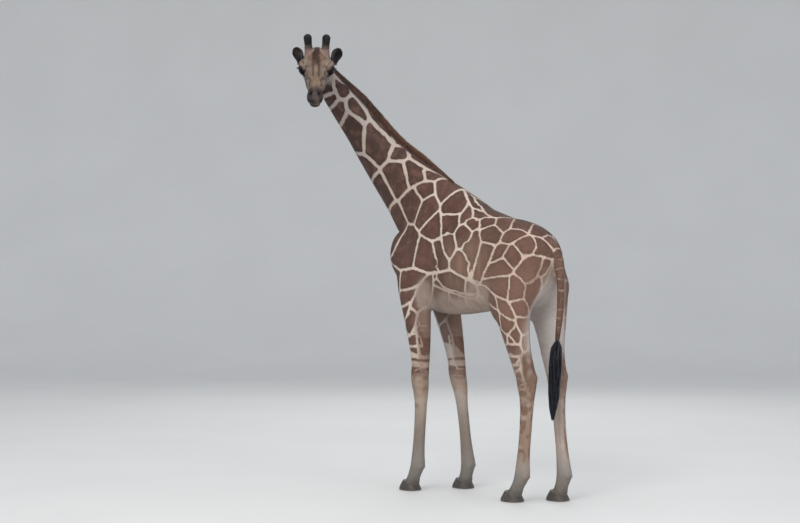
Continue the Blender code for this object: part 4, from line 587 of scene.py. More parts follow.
def graded_net(field, X, Y, Z, block=4):
    """Closed quad mesh of field = 0 on a grid of uneven spacing: one vertex in each cell that the surface crosses."""
    ax = [X, Y, Z]
    n = [(len(a) - 1)//block for a in ax]
    co = [a[::block] for a in ax]
    G = np.stack(np.meshgrid(*co, indexing="ij"), -1)
    D = field(G.reshape(-1, 3)).reshape(G.shape[:3])
    size = [np.diff(a) for a in co]
    H3 = np.maximum(np.maximum(size[0][:, None, None], size[1][None, :, None]), size[2][None, None, :])
    low = np.full(n, 9.0)
    for dx in (0, 1):
        for dy in (0, 1):
            for dz in (0, 1):
                low = np.minimum(low, np.abs(D[dx:dx + n[0], dy:dy + n[1], dz:dz + n[2]]))
    blocks = np.argwhere(low < H3*1.9)
    N = [len(a) for a in ax]
    off = np.stack(np.meshgrid(*[np.arange(block + 1)]*3, indexing="ij"), -1).reshape(-1, 3)
    pts = (blocks[:, None, :]*block + off[None]).reshape(-1, 3)
    code = (pts[:, 0]*N[1] + pts[:, 1])*N[2] + pts[:, 2]
    uniq = np.unique(code)
    ix = (uniq//(N[1]*N[2]), (uniq//N[2]) % N[1], uniq % N[2])
    P = np.stack([ax[i][ix[i]] for i in range(3)], 1)
    val = field(P)
    coff = np.stack(np.meshgrid(*[np.arange(block)]*3, indexing="ij"), -1).reshape(-1, 3)
    cells = (blocks[:, None, :]*block + coff[None]).reshape(-1, 3)
    def value(idx):
        return val[np.searchsorted(uniq, (idx[:, 0]*N[1] + idx[:, 1])*N[2] + idx[:, 2])]
    corners = np.array([[i, j, k] for i in (0, 1) for j in (0, 1) for k in (0, 1)])
    cv = np.stack([value(cells + c) for c in corners], 1)
    inside = cv < 0
    act = inside.any(1) & ~inside.all(1)
    cells, cv, inside = cells[act], cv[act], inside[act]
    edges = [(a, b) for a in range(8) for b in range(a + 1, 8) if np.abs(corners[a] - corners[b]).sum() == 1]
    S = np.zeros((len(cells), 3)); C = np.zeros(len(cells))
    for a, b in edges:
        m = inside[:, a] != inside[:, b]
        t = np.where(m, cv[:, a]/np.where(m, cv[:, a] - cv[:, b], 1), 0)
        S += (corners[a] + t[:, None]*(corners[b] - corners[a]))*m[:, None]; C += m
    S /= C[:, None]
    verts = np.stack([ax[i][cells[:, i]] + S[:, i]*(ax[i][cells[:, i] + 1] - ax[i][cells[:, i]]) for i in range(3)], 1)
    ccode = (cells[:, 0]*N[1] + cells[:, 1])*N[2] + cells[:, 2]
    order = np.argsort(ccode); sc = ccode[order]
    def vid(idx):
        c = (idx[:, 0]*N[1] + idx[:, 1])*N[2] + idx[:, 2]
        return order[np.clip(np.searchsorted(sc, c), 0, len(sc) - 1)]
    faces = []
    for axis in range(3):
        e = np.zeros(3, int); e[axis] = 1
        u = np.zeros(3, int); u[(axis + 1) % 3] = 1
        v = np.zeros(3, int); v[(axis + 2) % 3] = 1
        m = inside[:, 0] != inside[:, int(e@np.array([4, 2, 1]))]
        base = cells[m]
        q = np.stack([vid(base), vid(base - u), vid(base - u - v), vid(base - v)], 1)
        flip = ~inside[m][:, 0]
        q[flip] = q[flip][:, ::-1]
        faces.append(q)
    return verts, np.concatenate(faces)

def mesh_piece(name, verts, faces, mats, smooth=True, shift=True):
    """A mesh object from arrays: faces all of one size, or a list of such arrays. The points are round the withers."""
    me = bpy.data.meshes.new(name)
    verts = np.asarray(verts, np.float64) + (CENTRE if shift else 0)
    groups = faces if isinstance(faces, (list, tuple)) else [faces]
    groups = [np.asarray(g) for g in groups if len(g)]
    loops = np.concatenate([g.ravel() for g in groups]).astype(np.int32)
    counts = np.concatenate([np.full(len(g), g.shape[1]) for g in groups]).astype(np.int32)
    me.vertices.add(len(verts)); me.loops.add(len(loops)); me.polygons.add(len(counts))
    me.vertices.foreach_set("co", verts.astype(np.float32).ravel())
    me.loops.foreach_set("vertex_index", loops)
    me.polygons.foreach_set("loop_start", np.concatenate([[0], np.cumsum(counts)[:-1]]).astype(np.int32))
    me.polygons.foreach_set("loop_total", counts)
    me.update(calc_edges=True)
    me.polygons.foreach_set("use_smooth", np.full(len(counts), smooth))
    for m in mats if isinstance(mats, (list, tuple)) else [mats]:
        me.materials.append(m)
    ob = bpy.data.objects.new(name, me)
    bpy.context.scene.collection.objects.link(ob)
    return ob

def put(ob, name, values):
    """A float, vector or colour for each vertex."""
    values = np.asarray(values, np.float32)
    kind = "FLOAT" if values.ndim == 1 else ("FLOAT_VECTOR" if name.startswith("v_") else "FLOAT_COLOR")
    a = ob.data.attributes.new(name, kind, "POINT")
    if kind == "FLOAT":
        a.data.foreach_set("value", values.ravel())
    elif kind == "FLOAT_VECTOR":
        a.data.foreach_set("vector", values.ravel())
    else:
        if values.shape[1] == 3:
            values = np.concatenate([values, np.ones((len(values), 1), np.float32)], 1)
        a.data.foreach_set("color", values.ravel())

def lin(r, g, b):
    """An sRGB colour of 0 to 255 as linear light."""
    c = np.array([r, g, b], float)/255
    return np.where(c <= 0.04045, c/12.92, ((c + 0.055)/1.055)**2.4)

def step(a, b, x):
    t = np.clip((x - a)/(b - a), 0, 1)
    return t*t*(3 - 2*t)

def hashed(i, j, k, seed):
    n = (i*73856093) ^ (j*19349663) ^ (k*83492791) ^ (seed*26544357)
    n = ((n ^ (n >> 13))*1274126177) & 0x7fffffff
    return ((n ^ (n >> 15)) & 0xffff)/32767.5 - 1

def noise(P, size, seed=0):
    """Smooth noise from -1 to 1, with lumps about this size."""
    q = np.asarray(P, float)/size
    i = np.floor(q).astype(np.int64)
    t = q - i
    t = t*t*(3 - 2*t)
    out = np.zeros(len(q))
    for a in (0, 1):
        for b in (0, 1):
            for c in (0, 1):
                w = (t[:, 0] if a else 1 - t[:, 0])*(t[:, 1] if b else 1 - t[:, 1])*(t[:, 2] if c else 1 - t[:, 2])
                out += w*hashed(i[:, 0] + a, i[:, 1] + b, i[:, 2] + c, seed)
    return out

def noise_vec(P, size, seed=0):
    return np.stack([noise(P, size, seed + i) for i in (11, 23, 37)], 1)

FIELD = body_field()
HF = 0.0036
HB = 0.0095
GX = graded(-0.46, 1.14, HB, 0.52, 0.98, HF)
GY = graded(-1.44, 1.13, HB, -1.27, -0.76, HF)
GZ = graded(-0.03, 3.92, HB, 3.22, 3.90, HF)
skin_v, skin_f = graded_net(FIELD, GX, GY, GZ)
lap("net %d points, grid %d %d %d" % (len(skin_v), len(GX), len(GY), len(GZ)))
skin_v = settle(FIELD, skin_v, steps=1)
lap("settled")


# ================================================================ the lie of the land: where on the body a point is
def vertex_normals(v, f):
    n = np.cross(v[f[:, 2]] - v[f[:, 0]], v[f[:, 3]] - v[f[:, 1]])
    out = np.zeros_like(v)
    for i in range(4):
        for k in range(3):
            out[:, k] += np.bincount(f[:, i], n[:, k], len(v))
    return out/(np.linalg.norm(out, axis=1)[:, None] + 1e-12)

skin_n = vertex_normals(skin_v, skin_f)
NECK_LINE = neck_tube()[0]
TAIL_LINE = tail_tube()[0]
LEG_AT = {k: curve([r[0] for r in sorted(L)], [r[1:] for r in sorted(L)])
          for k, L in (("FL", LEG_FL), ("FR", LEG_FR), ("HL", LEG_HL), ("HR", LEG_HR))}

def along(line, P):
    """How far along a bent part a point is, 0 to 1, and its place across and above the centre line."""
    n = len(line.c) - 1
    u = np.concatenate([line.where(P[k:k + 20000]) for k in range(0, len(P), 20000)])
    c, up, side, tan = (line.at(a, u) for a in (line.c, line.up, line.side, line.tan))
    q = P - c
    return u/n, (q*side).sum(1), (q*up).sum(1), tan

class Place:
    """What part of the body each point belongs to, as soft weights."""
    def __init__(self, P, N):
        self.P, self.N = P, N
        self.f, self.w, self.z = -P[:, 1], P[:, 0], P[:, 2]
        self.q = to_head(P)
        h, l, u = self.q.T
        self.neck_u, self.neck_x, self.neck_y, self.neck_tan = along(NECK_LINE, P)
        # the head begins at a slanting line behind the ears and the angle of the jaw
        self.head = step(-0.055, 0.015, h - np.maximum(-u - 0.02, 0)*0.95 + 0.02)*(np.linalg.norm(P - from_head((0.25, 0, 0.03)), axis=1) < 0.50)
        self.neck = step(0.30, 0.62, self.f + (self.z - 2.2)*0.55)*(1 - self.head)*(self.z > 1.95)
        d = []
        for s in (1, -1):
            b, t, L, a, wide, face, shape = ear_frame(s)
            x, y, z_ = (P - b)@a, (P - b)@wide, (P - b)@face
            half, cup, th = shape(x)
            on = (x > -0.022) & (x < L + 0.03) & (np.abs(y) < half + 0.02) & (np.abs(z_ + cup*0.5) < 0.055) & (s*l > 0.098)
            d.append((on, x/L, y/half, N@face, (x, y, z_)))
        self.ear_on = d[0][0] | d[1][0]
        self.ear_x = np.where(d[0][0], d[0][1], d[1][1])
        self.ear_y = np.where(d[0][0], d[0][2], -d[1][2])
        self.ear_face = np.where(d[0][0], d[0][3], d[1][3])
        o = []
        for s in (1, -1):
            b, t = H(OSS_BASE[0], s*OSS_BASE[1], OSS_BASE[2]), H(OSS_TIP[0], s*OSS_TIP[1], OSS_TIP[2])
            x = (self.q - b)@(t - b)/((t - b)@(t - b))
            r = np.linalg.norm(self.q - b - np.clip(x, 0, 1)[:, None]*(t - b), axis=1)
            o.append((x, r))
        self.oss_x = np.where(l > 0, o[0][0], o[1][0])
        self.oss_r = np.where(l > 0, o[0][1], o[1][1])
        self.oss_on = (self.oss_x > 0.0) & (self.oss_r < 0.050) & (np.abs(l) > 0.02)
        # legs: which one, and where round it
        self.leg = np.full(len(P), -1)
        self.leg_a = np.zeros(len(P))
        low = self.z < 1.62
        for i, (k, c) in enumerate(LEG_AT.items()):
            rr = c(np.clip(self.z, 0.035, 2.0))
            m = low & (np.sign(self.w) == (1 if k[1] == "L" else -1)) & ((self.f > -0.25) == (k[0] == "F"))
            m &= (np.abs(self.f - rr[:, 0]) < 0.24)
            self.leg[m] = i
            self.leg_a[m] = np.arctan2((self.w - rr[:, 1])*(1 if k[1] == "L" else -1), self.f - rr[:, 0])[m]
        self.tail = (self.f < -0.975) & (self.z < 2.02) & (self.z > 1.2) & (np.abs(self.w) < 0.06) & (self.leg < 0)

place = Place(skin_v, skin_n)

# ================================================================ the net of markings
PATCHES = np.array([   # centre (f, w, z) and how far the patch reaches past its neighbours' half way, m2
    (1.288, 0.584, 3.287, 0.0014), (0.961, 0.600, 3.347, -0.0218), (1.150, 0.401, 3.091, -0.0019), (0.867, 0.376, 3.081, 0.0219),
    (1.043, 0.231, 3.024, 0.0232), (0.900, 0.196, 2.999, 0.0207), (1.051, 0.198, 2.814, 0.0086), (0.551, 0.225, 2.960, 0.0116),
    (0.622, 0.084, 2.639, 0.0039), (0.836, 0.116, 2.494, 0.0086), (0.527, -0.002, 2.668, 0.0135), (0.373, 0.128, 2.814, -0.0056),
    (0.363, 0.278, 2.525, -0.0090), (0.451, 0.112, 2.423, -0.0057), (0.729, 0.237, 2.251, 0.0260), (0.067, 0.275, 2.652, 0.0046),
    (-0.124, 0.239, 2.493, -0.0018), (0.311, 0.320, 2.424, -0.0035), (0.225, 0.416, 2.336, -0.0074), (-0.104, 0.093, 2.335, -0.0194),
    (-0.254, 0.001, 2.426, 0.0065), (-0.171, 0.073, 2.346, -0.0112), (1.316, 0.618, 3.387, 0.0078), (0.467, 0.076, 2.083, 0.0044),
    (0.320, 0.477, 2.108, -0.0115), (0.445, 0.473, 1.657, 0.0001), (0.152, -0.024, 2.114, -0.0060), (-0.084, 0.470, 2.362, -0.0063),
    (-0.232, 0.367, 2.402, -0.0059), (-0.272, 0.269, 2.446, -0.0013), (-0.215, -0.009, 2.311, 0.0078), (-0.305, -0.006, 2.497, 0.0231),
    (-0.364, 0.217, 2.455, -0.0049), (-0.503, 0.150, 2.465, -0.0115), (-0.437, 0.334, 2.440, 0.0029), (-0.772, -0.021, 2.391, -0.0021),
    (-0.846, -0.105, 2.299, 0.0010), (-0.807, 0.319, 2.378, -0.0076), (-1.002, 0.360, 2.126, -0.0054), (-0.855, -0.009, 1.955, -0.0236),
    (-0.805, 0.550, 2.100, -0.0062), (-0.373, 0.015, 2.236, -0.0381), (-0.913, 0.479, 2.029, -0.0049), (-1.049, 0.224, 1.821, -0.0065),
    (-1.066, 0.128, 1.788, -0.0004), (-0.258, 0.064, 2.273, -0.0285), (-0.244, 0.601, 2.245, -0.0093), (0.141, 0.333, 1.427, 0.0022),
    (-0.855, 0.550, 1.958, -0.0038), (-0.874, 0.562, 1.734, -0.0019), (-1.004, 0.403, 1.716, -0.0028), (-0.986, 0.095, 1.724, -0.0065),
    (-0.938, 0.007, 1.743, 0.0041), (-0.696, 0.480, 1.366, -0.0340), (-0.764, 0.526, 1.382, -0.0015), (-0.659, 0.491, 1.294, -0.0055),
    (-1.033, 0.376, 1.541, 0.0045), (-0.721, 0.475, 1.297, -0.0027), (-0.960, 0.332, 1.342, -0.0147), (-0.789, 0.412, 1.243, -0.0074),
    (-0.651, 0.404, 1.182, -0.0045), (0.158, 0.229, 1.411, 0.0188), (0.155, 0.181, 1.437, 0.0068), (0.257, 0.214, 1.440, 0.0183),
    (-0.940, -0.156, 2.084, -0.0019), (-1.093, -0.137, 1.986, 0.0042), (-1.087, 0.012, 1.772, 0.0025), (-1.020, -0.085, 1.719, 0.0168),
    (0.426, 0.395, 1.542, 0.0001), (0.404, 0.360, 1.488, -0.0002), (0.264, 0.303, 1.406, 0.0208), (0.215, 0.217, 1.372, 0.0315),
    (0.168, 0.221, 1.379, 0.0426), (0.239, 0.178, 1.177, -0.0167), (0.243, 0.180, 1.030, -0.0242), (0.245, 0.182, 0.877, 0.0112),
    (-0.725, 0.405, 1.178, -0.0005), (-0.955, 0.274, 1.201, -0.0031), (-0.725, 0.293, 1.130, -0.0103), (-0.847, 0.070, 1.154, -0.0078),
    (-0.725, 0.271, 1.055, 0.0004), (-0.776, 0.201, 1.013, 0.0084), (-0.902, 0.148, 1.008, 0.0288), (-0.802, 0.232, 0.975, 0.0151),
    (-0.805, 0.264, 0.904, 0.0134), (-0.773, 0.249, 0.774, 0.0112), (-0.801, 0.213, 0.803, 0.0000), (0.245, 0.162, 1.363, 0.0000),
    (0.246, 0.162, 1.279, 0.0000), (0.246, 0.162, 1.279, 0.0000), (0.246, 0.162, 1.279, 0.0000), (0.687, 0.240, 1.670, -0.0017),
    (-0.910, -0.030, 1.736, 0.0135), (0.831, 0.101, 2.447, 0.0000), (1.332, 0.449, 3.435, -0.0172), (0.734, 0.202, 3.416, -0.0074),
    (0.959, 0.216, 3.118, -0.0134), (0.725, 0.162, 3.168, 0.0250), (0.795, 0.050, 3.068, 0.0000), (0.743, 0.020, 3.087, 0.0061),
    (0.428, -0.097, 2.863, 0.0310),
])

def inner_of_leg(pl):
    """1 on the inner side of a leg, 0 outside."""
    return np.where(pl.leg >= 0, step(0.15, -0.55, np.sin(pl.leg_a)), 0.0)

def presence(pl):
    """How strongly the patches show: everywhere but the face, belly, groin, inner legs and feet."""
    f, w, z, N = pl.f, pl.w, pl.z, pl.N
    p = 1 - pl.head
    # the patches dissolve into tan low on the flank, in front of the stifle and behind the elbow
    edge = 1.66 + 0.10*step(-0.16, -0.34, f) + 0.05*noise(pl.P, 0.14, 5) + 0.02*noise(pl.P, 0.04, 6)
    belly = step(edge + 0.05, edge - 0.06, z)*step(-0.52, -0.40, f)*step(0.30, 0.20, f)*(z > 1.3)
    p = p*(1 - 0.55*belly)
    arm = np.exp(-1.3*(((f - 0.235)/0.105)**2 + ((z - 1.66)/0.20)**2) + 0.35*noise(pl.P, 0.06, 7))*step(0.06, 0.14, np.abs(w))
    p = p*(1 - 0.62*step(0.35, 0.80, arm))
    under = step(-0.45, -0.85, N[:, 2])*(z < 1.85)*(z > 1.3)
    p = p*(1 - 0.70*under)
    fore = np.where((pl.leg == 0) | (pl.leg == 1), 1.0, 0.0)
    hind = np.where((pl.leg == 2) | (pl.leg == 3), 1.0, 0.0)
    p = p*(1 - fore*step(1.07, 0.90, z + 0.06*noise(pl.P, 0.06, 9)))
    p = p*(1 - hind*step(0.90, 0.66, z + 0.10*noise(pl.P, 0.06, 9)))
    p = p*(1 - 0.82*inner_of_leg(pl)*step(1.66, 1.50, z)*np.where(fore > 0, 0.22, 1.0))
    groin = step(-0.45, -0.62, f)*step(1.95, 1.75, z)*step(0.16, 0.06, np.abs(w) - 0.10*step(1.9, 1.3, z))
    p = p*(1 - 0.88*groin*(1 - pl.tail))
    return np.clip(p, 0, 1)

def line_half(pl):
    """Half the width of the pale lines between patches: fine on the rump, broad up the neck."""
    f, w, z = pl.f, pl.w, pl.z
    half = 0.0072 + 0.0030*step(-0.55, 0.1, f) + 0.0062*step(0.05, 0.55, pl.neck_u)*pl.neck
    half = half + np.where(pl.leg >= 0, 0.0035*step(1.35, 1.0, z)*np.where(f > -0.28, 2.0, 0.8), 0)
    return np.where(pl.tail, 0.004, half)*(1 + 0.18*noise(pl.P, 0.05, 41))

def mirrored(P, N):
    """Points of the right half moved to the left half: the net is read off the left side, and the right repeats it.
    The neck has its own middle plane, and the right legs stand farther back than the left ones."""
    f, w, z = -P[:, 1], P[:, 0], P[:, 2]
    nk = step(0.30, 0.62, f + (z - 2.2)*0.55)*(z > 1.9)
    n = len(NECK_LINE.c) - 1
    x, side = w.copy(), np.tile([1.0, 0, 0], (len(P), 1))
    m = nk > 0
    if m.any():
        u = np.concatenate([NECK_LINE.where(P[m][k:k + 20000]) for k in range(0, m.sum(), 20000)])
        sd = NECK_LINE.at(NECK_LINE.side, u)
        nx = ((P[m] - NECK_LINE.at(NECK_LINE.c, u))*sd).sum(1)
        flip = np.sign(sd[:, 0].mean())
        x[m] = (1 - nk[m])*w[m] + nk[m]*nx*flip
        side[m] = (1 - nk[m])[:, None]*side[m] + nk[m][:, None]*sd*flip
    over = np.minimum(x, 0)
    Q = P - 2*over[:, None]*side
    M = np.where((x < 0)[:, None], N - 2*(N*side).sum(1)[:, None]*side, N)
    low = (x < 0)*step(1.80, 1.35, z)
    for a, b, on in (("FL", "FR", f > -0.28), ("HL", "HR", f <= -0.28)):
        zz = np.clip(z, 0.035, 2.0)
        Q[:, 1] -= low*on*(LEG_AT[a](zz)[:, 0] - LEG_AT[b](zz)[:, 0])
    return Q, M

# pale lines drawn one by one low on the flank and down the legs: half width, side (1: right fore leg only), points (f, w, z)
LINES = [
    (0.0085, 0, [(-0.265, 0.296, 1.788), (-0.257, 0.294, 1.774), (-0.255, 0.290, 1.758), (-0.247, 0.284, 1.736), (-0.244, 0.280, 1.725), (-0.234, 0.274, 1.706), (-0.231, 0.267, 1.691), (-0.222, 0.256, 1.668), (-0.218, 0.249, 1.656), (-0.210, 0.237, 1.638), (-0.203, 0.228, 1.625), (-0.192, 0.214, 1.607), (-0.192, 0.203, 1.596), (-0.191, 0.188, 1.582), (-0.192, 0.177, 1.573), (-0.192, 0.161, 1.562), (-0.192, 0.143, 1.551), (-0.197, 0.136, 1.548)]),
    (0.0070, 0, [(-0.066, 0.276, 1.692), (-0.053, 0.267, 1.674), (-0.045, 0.257, 1.655), (-0.043, 0.252, 1.647), (-0.024, 0.236, 1.626), (-0.010, 0.223, 1.611), (0.004, 0.210, 1.596), (0.018, 0.192, 1.579), (0.018, 0.178, 1.565), (0.025, 0.158, 1.549), (0.032, 0.135, 1.532), (0.018, 0.135, 1.531), (-0.007, 0.133, 1.530), (-0.024, 0.133, 1.530), (-0.049, 0.133, 1.530), (-0.059, 0.126, 1.527), (-0.077, 0.120, 1.526), (-0.092, 0.115, 1.524), (-0.101, 0.106, 1.522), (-0.115, 0.094, 1.519), (-0.119, 0.076, 1.515), (-0.147, 0.082, 1.520), (-0.160, 0.074, 1.519)]),
    (0.0055, 0, [(-0.150, 0.253, 1.651), (-0.140, 0.242, 1.634), (-0.136, 0.230, 1.618), (-0.122, 0.214, 1.598), (-0.117, 0.201, 1.584), (-0.108, 0.183, 1.567), (-0.098, 0.166, 1.553), (-0.080, 0.143, 1.537), (-0.073, 0.123, 1.526)]),
    (0.0050, 0, [(-0.031, 0.229, 1.615), (-0.038, 0.225, 1.608), (-0.046, 0.216, 1.597), (-0.052, 0.206, 1.586), (-0.059, 0.195, 1.575), (-0.066, 0.184, 1.566), (-0.072, 0.175, 1.558), (-0.073, 0.162, 1.549), (-0.073, 0.145, 1.538)]),
    (0.0055, 0, [(0.004, 0.216, 1.604), (0.025, 0.211, 1.603), (0.048, 0.205, 1.601), (0.074, 0.198, 1.600), (0.104, 0.194, 1.602)]),
    (0.0050, 0, [(0.116, 0.173, 1.577), (0.144, 0.158, 1.564), (0.174, 0.136, 1.546), (0.207, 0.112, 1.532), (0.235, 0.100, 1.529), (0.246, 0.097, 1.528), (0.258, 0.133, 1.502)]),
    (0.0060, 0, [(-0.319, 0.294, 1.860), (-0.318, 0.293, 1.846), (-0.318, 0.291, 1.825), (-0.318, 0.289, 1.804), (-0.318, 0.286, 1.790), (-0.333, 0.282, 1.783), (-0.346, 0.278, 1.776), (-0.360, 0.275, 1.776), (-0.377, 0.271, 1.770), (-0.389, 0.268, 1.768)]),
    (0.0045, 0, [(-0.205, 0.216, 1.611), (-0.217, 0.215, 1.612), (-0.234, 0.217, 1.617), (-0.252, 0.220, 1.624), (-0.273, 0.225, 1.635), (-0.287, 0.214, 1.626), (-0.304, 0.210, 1.624), (-0.318, 0.201, 1.619), (-0.339, 0.212, 1.636), (-0.351, 0.215, 1.643), (-0.369, 0.226, 1.664)]),
    (0.0040, 0, [(-0.254, 0.244, 1.656), (-0.276, 0.240, 1.657), (-0.295, 0.239, 1.660)]),
    (0.0045, 0, [(-0.196, 0.181, 1.577), (-0.206, 0.168, 1.569), (-0.210, 0.156, 1.561), (-0.211, 0.141, 1.553), (-0.218, 0.126, 1.546), (-0.234, 0.120, 1.546), (-0.247, 0.109, 1.543), (-0.255, 0.097, 1.540), (-0.273, 0.093, 1.541), (-0.280, 0.076, 1.537)]),
    (0.0075, 0, [(0.427, 0.257, 1.352), (0.421, 0.259, 1.349), (0.411, 0.262, 1.333), (0.406, 0.264, 1.331), (0.384, 0.271, 1.326), (0.361, 0.275, 1.324), (0.340, 0.276, 1.328), (0.326, 0.275, 1.328), (0.306, 0.271, 1.324), (0.297, 0.268, 1.317), (0.288, 0.265, 1.317)]),
    (0.0060, 0, [(0.288, 0.265, 1.317), (0.278, 0.260, 1.310), (0.273, 0.257, 1.300), (0.269, 0.255, 1.289), (0.267, 0.253, 1.275), (0.262, 0.249, 1.268), (0.262, 0.249, 1.254), (0.258, 0.246, 1.244), (0.259, 0.246, 1.230)]),
    (0.0105, 0, [(0.396, 0.253, 1.229), (0.375, 0.263, 1.227), (0.353, 0.268, 1.224), (0.333, 0.269, 1.227), (0.313, 0.268, 1.225), (0.309, 0.267, 1.228), (0.283, 0.260, 1.230), (0.273, 0.256, 1.232), (0.270, 0.254, 1.236), (0.259, 0.246, 1.230)]),
    (0.0105, 0, [(0.375, 0.253, 1.139), (0.353, 0.261, 1.139), (0.333, 0.264, 1.135), (0.319, 0.264, 1.135), (0.305, 0.263, 1.135), (0.285, 0.258, 1.132), (0.276, 0.254, 1.132), (0.267, 0.249, 1.132), (0.257, 0.241, 1.129), (0.253, 0.237, 1.129), (0.242, 0.217, 1.132)]),
    (0.0055, 0, [(0.243, 0.224, 1.177), (0.244, 0.223, 1.163), (0.244, 0.223, 1.149), (0.244, 0.223, 1.142), (0.242, 0.217, 1.132)]),
    (0.0105, 0, [(0.371, 0.250, 1.069), (0.352, 0.258, 1.069), (0.333, 0.262, 1.066), (0.312, 0.262, 1.062), (0.298, 0.260, 1.062), (0.286, 0.257, 1.062), (0.274, 0.251, 1.058), (0.265, 0.245, 1.051), (0.255, 0.234, 1.048), (0.251, 0.225, 1.048)]),
    (0.0055, 0, [(0.287, 0.265, 1.451), (0.287, 0.266, 1.437), (0.282, 0.263, 1.426), (0.282, 0.263, 1.412), (0.287, 0.266, 1.401), (0.291, 0.268, 1.398), (0.300, 0.271, 1.384), (0.306, 0.273, 1.380), (0.300, 0.271, 1.370), (0.296, 0.269, 1.359), (0.292, 0.267, 1.342), (0.288, 0.265, 1.338)]),
    (0.0045, 0, [(0.243, 0.253, 1.701), (0.240, 0.249, 1.692), (0.232, 0.241, 1.676), (0.234, 0.240, 1.664), (0.236, 0.239, 1.650), (0.237, 0.238, 1.636), (0.241, 0.240, 1.628)]),
    (0.0080, 0, [(0.368, 0.284, 1.510), (0.382, 0.284, 1.496), (0.398, 0.283, 1.486), (0.406, 0.281, 1.479), (0.424, 0.275, 1.468), (0.445, 0.265, 1.459), (0.441, 0.264, 1.447), (0.438, 0.265, 1.437), (0.434, 0.265, 1.422), (0.435, 0.262, 1.410)]),
    (0.0060, 0, [(0.277, 0.261, 1.402), (0.269, 0.255, 1.402), (0.262, 0.248, 1.402), (0.252, 0.237, 1.398), (0.246, 0.228, 1.398), (0.242, 0.219, 1.398), (0.238, 0.198, 1.398)]),
    (0.0050, 0, [(0.326, 0.265, 1.020), (0.319, 0.264, 1.024), (0.305, 0.262, 1.031), (0.286, 0.257, 1.034), (0.278, 0.253, 1.034), (0.270, 0.248, 1.034), (0.260, 0.236, 1.023), (0.255, 0.228, 1.023), (0.250, 0.212, 1.020)]),
    (0.0045, 0, [(0.347, 0.265, 0.982), (0.326, 0.266, 0.992), (0.312, 0.265, 0.992), (0.298, 0.262, 0.992), (0.292, 0.260, 0.996), (0.278, 0.253, 0.992), (0.271, 0.246, 0.992), (0.263, 0.238, 0.992), (0.256, 0.226, 0.984), (0.254, 0.223, 0.981)]),
    (0.0100, 1, [(0.436, -0.119, 1.468), (0.438, -0.125, 1.453), (0.434, -0.126, 1.440), (0.430, -0.128, 1.429), (0.413, -0.121, 1.416), (0.411, -0.123, 1.404), (0.411, -0.127, 1.394), (0.401, -0.126, 1.378), (0.400, -0.130, 1.363), (0.402, -0.135, 1.350), (0.396, -0.133, 1.341), (0.397, -0.138, 1.326), (0.393, -0.139, 1.317), (0.383, -0.137, 1.301), (0.377, -0.136, 1.294), (0.370, -0.136, 1.277), (0.372, -0.141, 1.266), (0.368, -0.142, 1.255), (0.363, -0.142, 1.242), (0.361, -0.144, 1.229), (0.354, -0.143, 1.219), (0.346, -0.141, 1.209), (0.342, -0.143, 1.193), (0.347, -0.148, 1.181), (0.338, -0.146, 1.167), (0.333, -0.147, 1.151), (0.336, -0.150, 1.143), (0.330, -0.148, 1.135), (0.324, -0.147, 1.118), (0.327, -0.152, 1.105), (0.326, -0.153, 1.097), (0.318, -0.150, 1.085)]),
    (0.0080, 1, [(0.290, -0.123, 1.306), (0.288, -0.124, 1.298), (0.292, -0.124, 1.287), (0.284, -0.126, 1.272), (0.277, -0.128, 1.268), (0.284, -0.127, 1.258), (0.284, -0.128, 1.244), (0.284, -0.129, 1.230), (0.280, -0.130, 1.223), (0.291, -0.129, 1.226), (0.315, -0.130, 1.226), (0.336, -0.135, 1.223), (0.356, -0.143, 1.224)]),
    (0.0060, 1, [(0.280, -0.130, 1.223), (0.277, -0.131, 1.212), (0.270, -0.133, 1.202), (0.264, -0.134, 1.184), (0.258, -0.136, 1.174), (0.258, -0.136, 1.160), (0.254, -0.137, 1.142), (0.251, -0.138, 1.132), (0.251, -0.138, 1.118), (0.252, -0.138, 1.106), (0.255, -0.138, 1.094), (0.248, -0.140, 1.080)]),
    (0.0115, 1, [(0.318, -0.150, 1.085), (0.309, -0.146, 1.083), (0.278, -0.138, 1.081), (0.270, -0.138, 1.079), (0.256, -0.139, 1.076), (0.242, -0.141, 1.076)]),
    (0.0065, 1, [(0.242, -0.141, 1.076), (0.242, -0.140, 1.062), (0.228, -0.144, 1.048), (0.222, -0.146, 1.045), (0.216, -0.148, 1.034), (0.216, -0.147, 1.020), (0.204, -0.156, 1.024), (0.194, -0.168, 1.020), (0.187, -0.184, 1.023), (0.186, -0.195, 1.028)]),
    (0.0050, 1, [(0.245, -0.230, 1.463), (0.245, -0.230, 1.463), (0.245, -0.230, 1.463), (0.245, -0.233, 1.454), (0.241, -0.230, 1.440), (0.240, -0.232, 1.428), (0.236, -0.228, 1.417), (0.234, -0.228, 1.398), (0.232, -0.228, 1.389), (0.227, -0.223, 1.379), (0.226, -0.224, 1.366), (0.226, -0.227, 1.353), (0.226, -0.231, 1.342), (0.223, -0.227, 1.328), (0.219, -0.222, 1.315), (0.217, -0.221, 1.303), (0.215, -0.221, 1.291), (0.214, -0.222, 1.279), (0.213, -0.223, 1.267)]),
    (0.0045, 1, [(0.296, -0.146, 0.953), (0.277, -0.138, 0.957), (0.256, -0.134, 0.964), (0.242, -0.135, 0.964), (0.227, -0.138, 0.973), (0.218, -0.141, 0.968), (0.203, -0.150, 0.966), (0.197, -0.155, 0.966), (0.191, -0.163, 0.964), (0.183, -0.176, 0.961), (0.179, -0.187, 0.960), (0.182, -0.219, 0.957)]),
    (0.0045, 1, [(0.285, -0.151, 0.899), (0.257, -0.137, 0.899), (0.241, -0.135, 0.899), (0.224, -0.136, 0.904), (0.211, -0.141, 0.908), (0.201, -0.146, 0.908), (0.192, -0.152, 0.908), (0.179, -0.168, 0.908), (0.172, -0.181, 0.900), (0.171, -0.191, 0.904), (0.173, -0.220, 0.899)]),
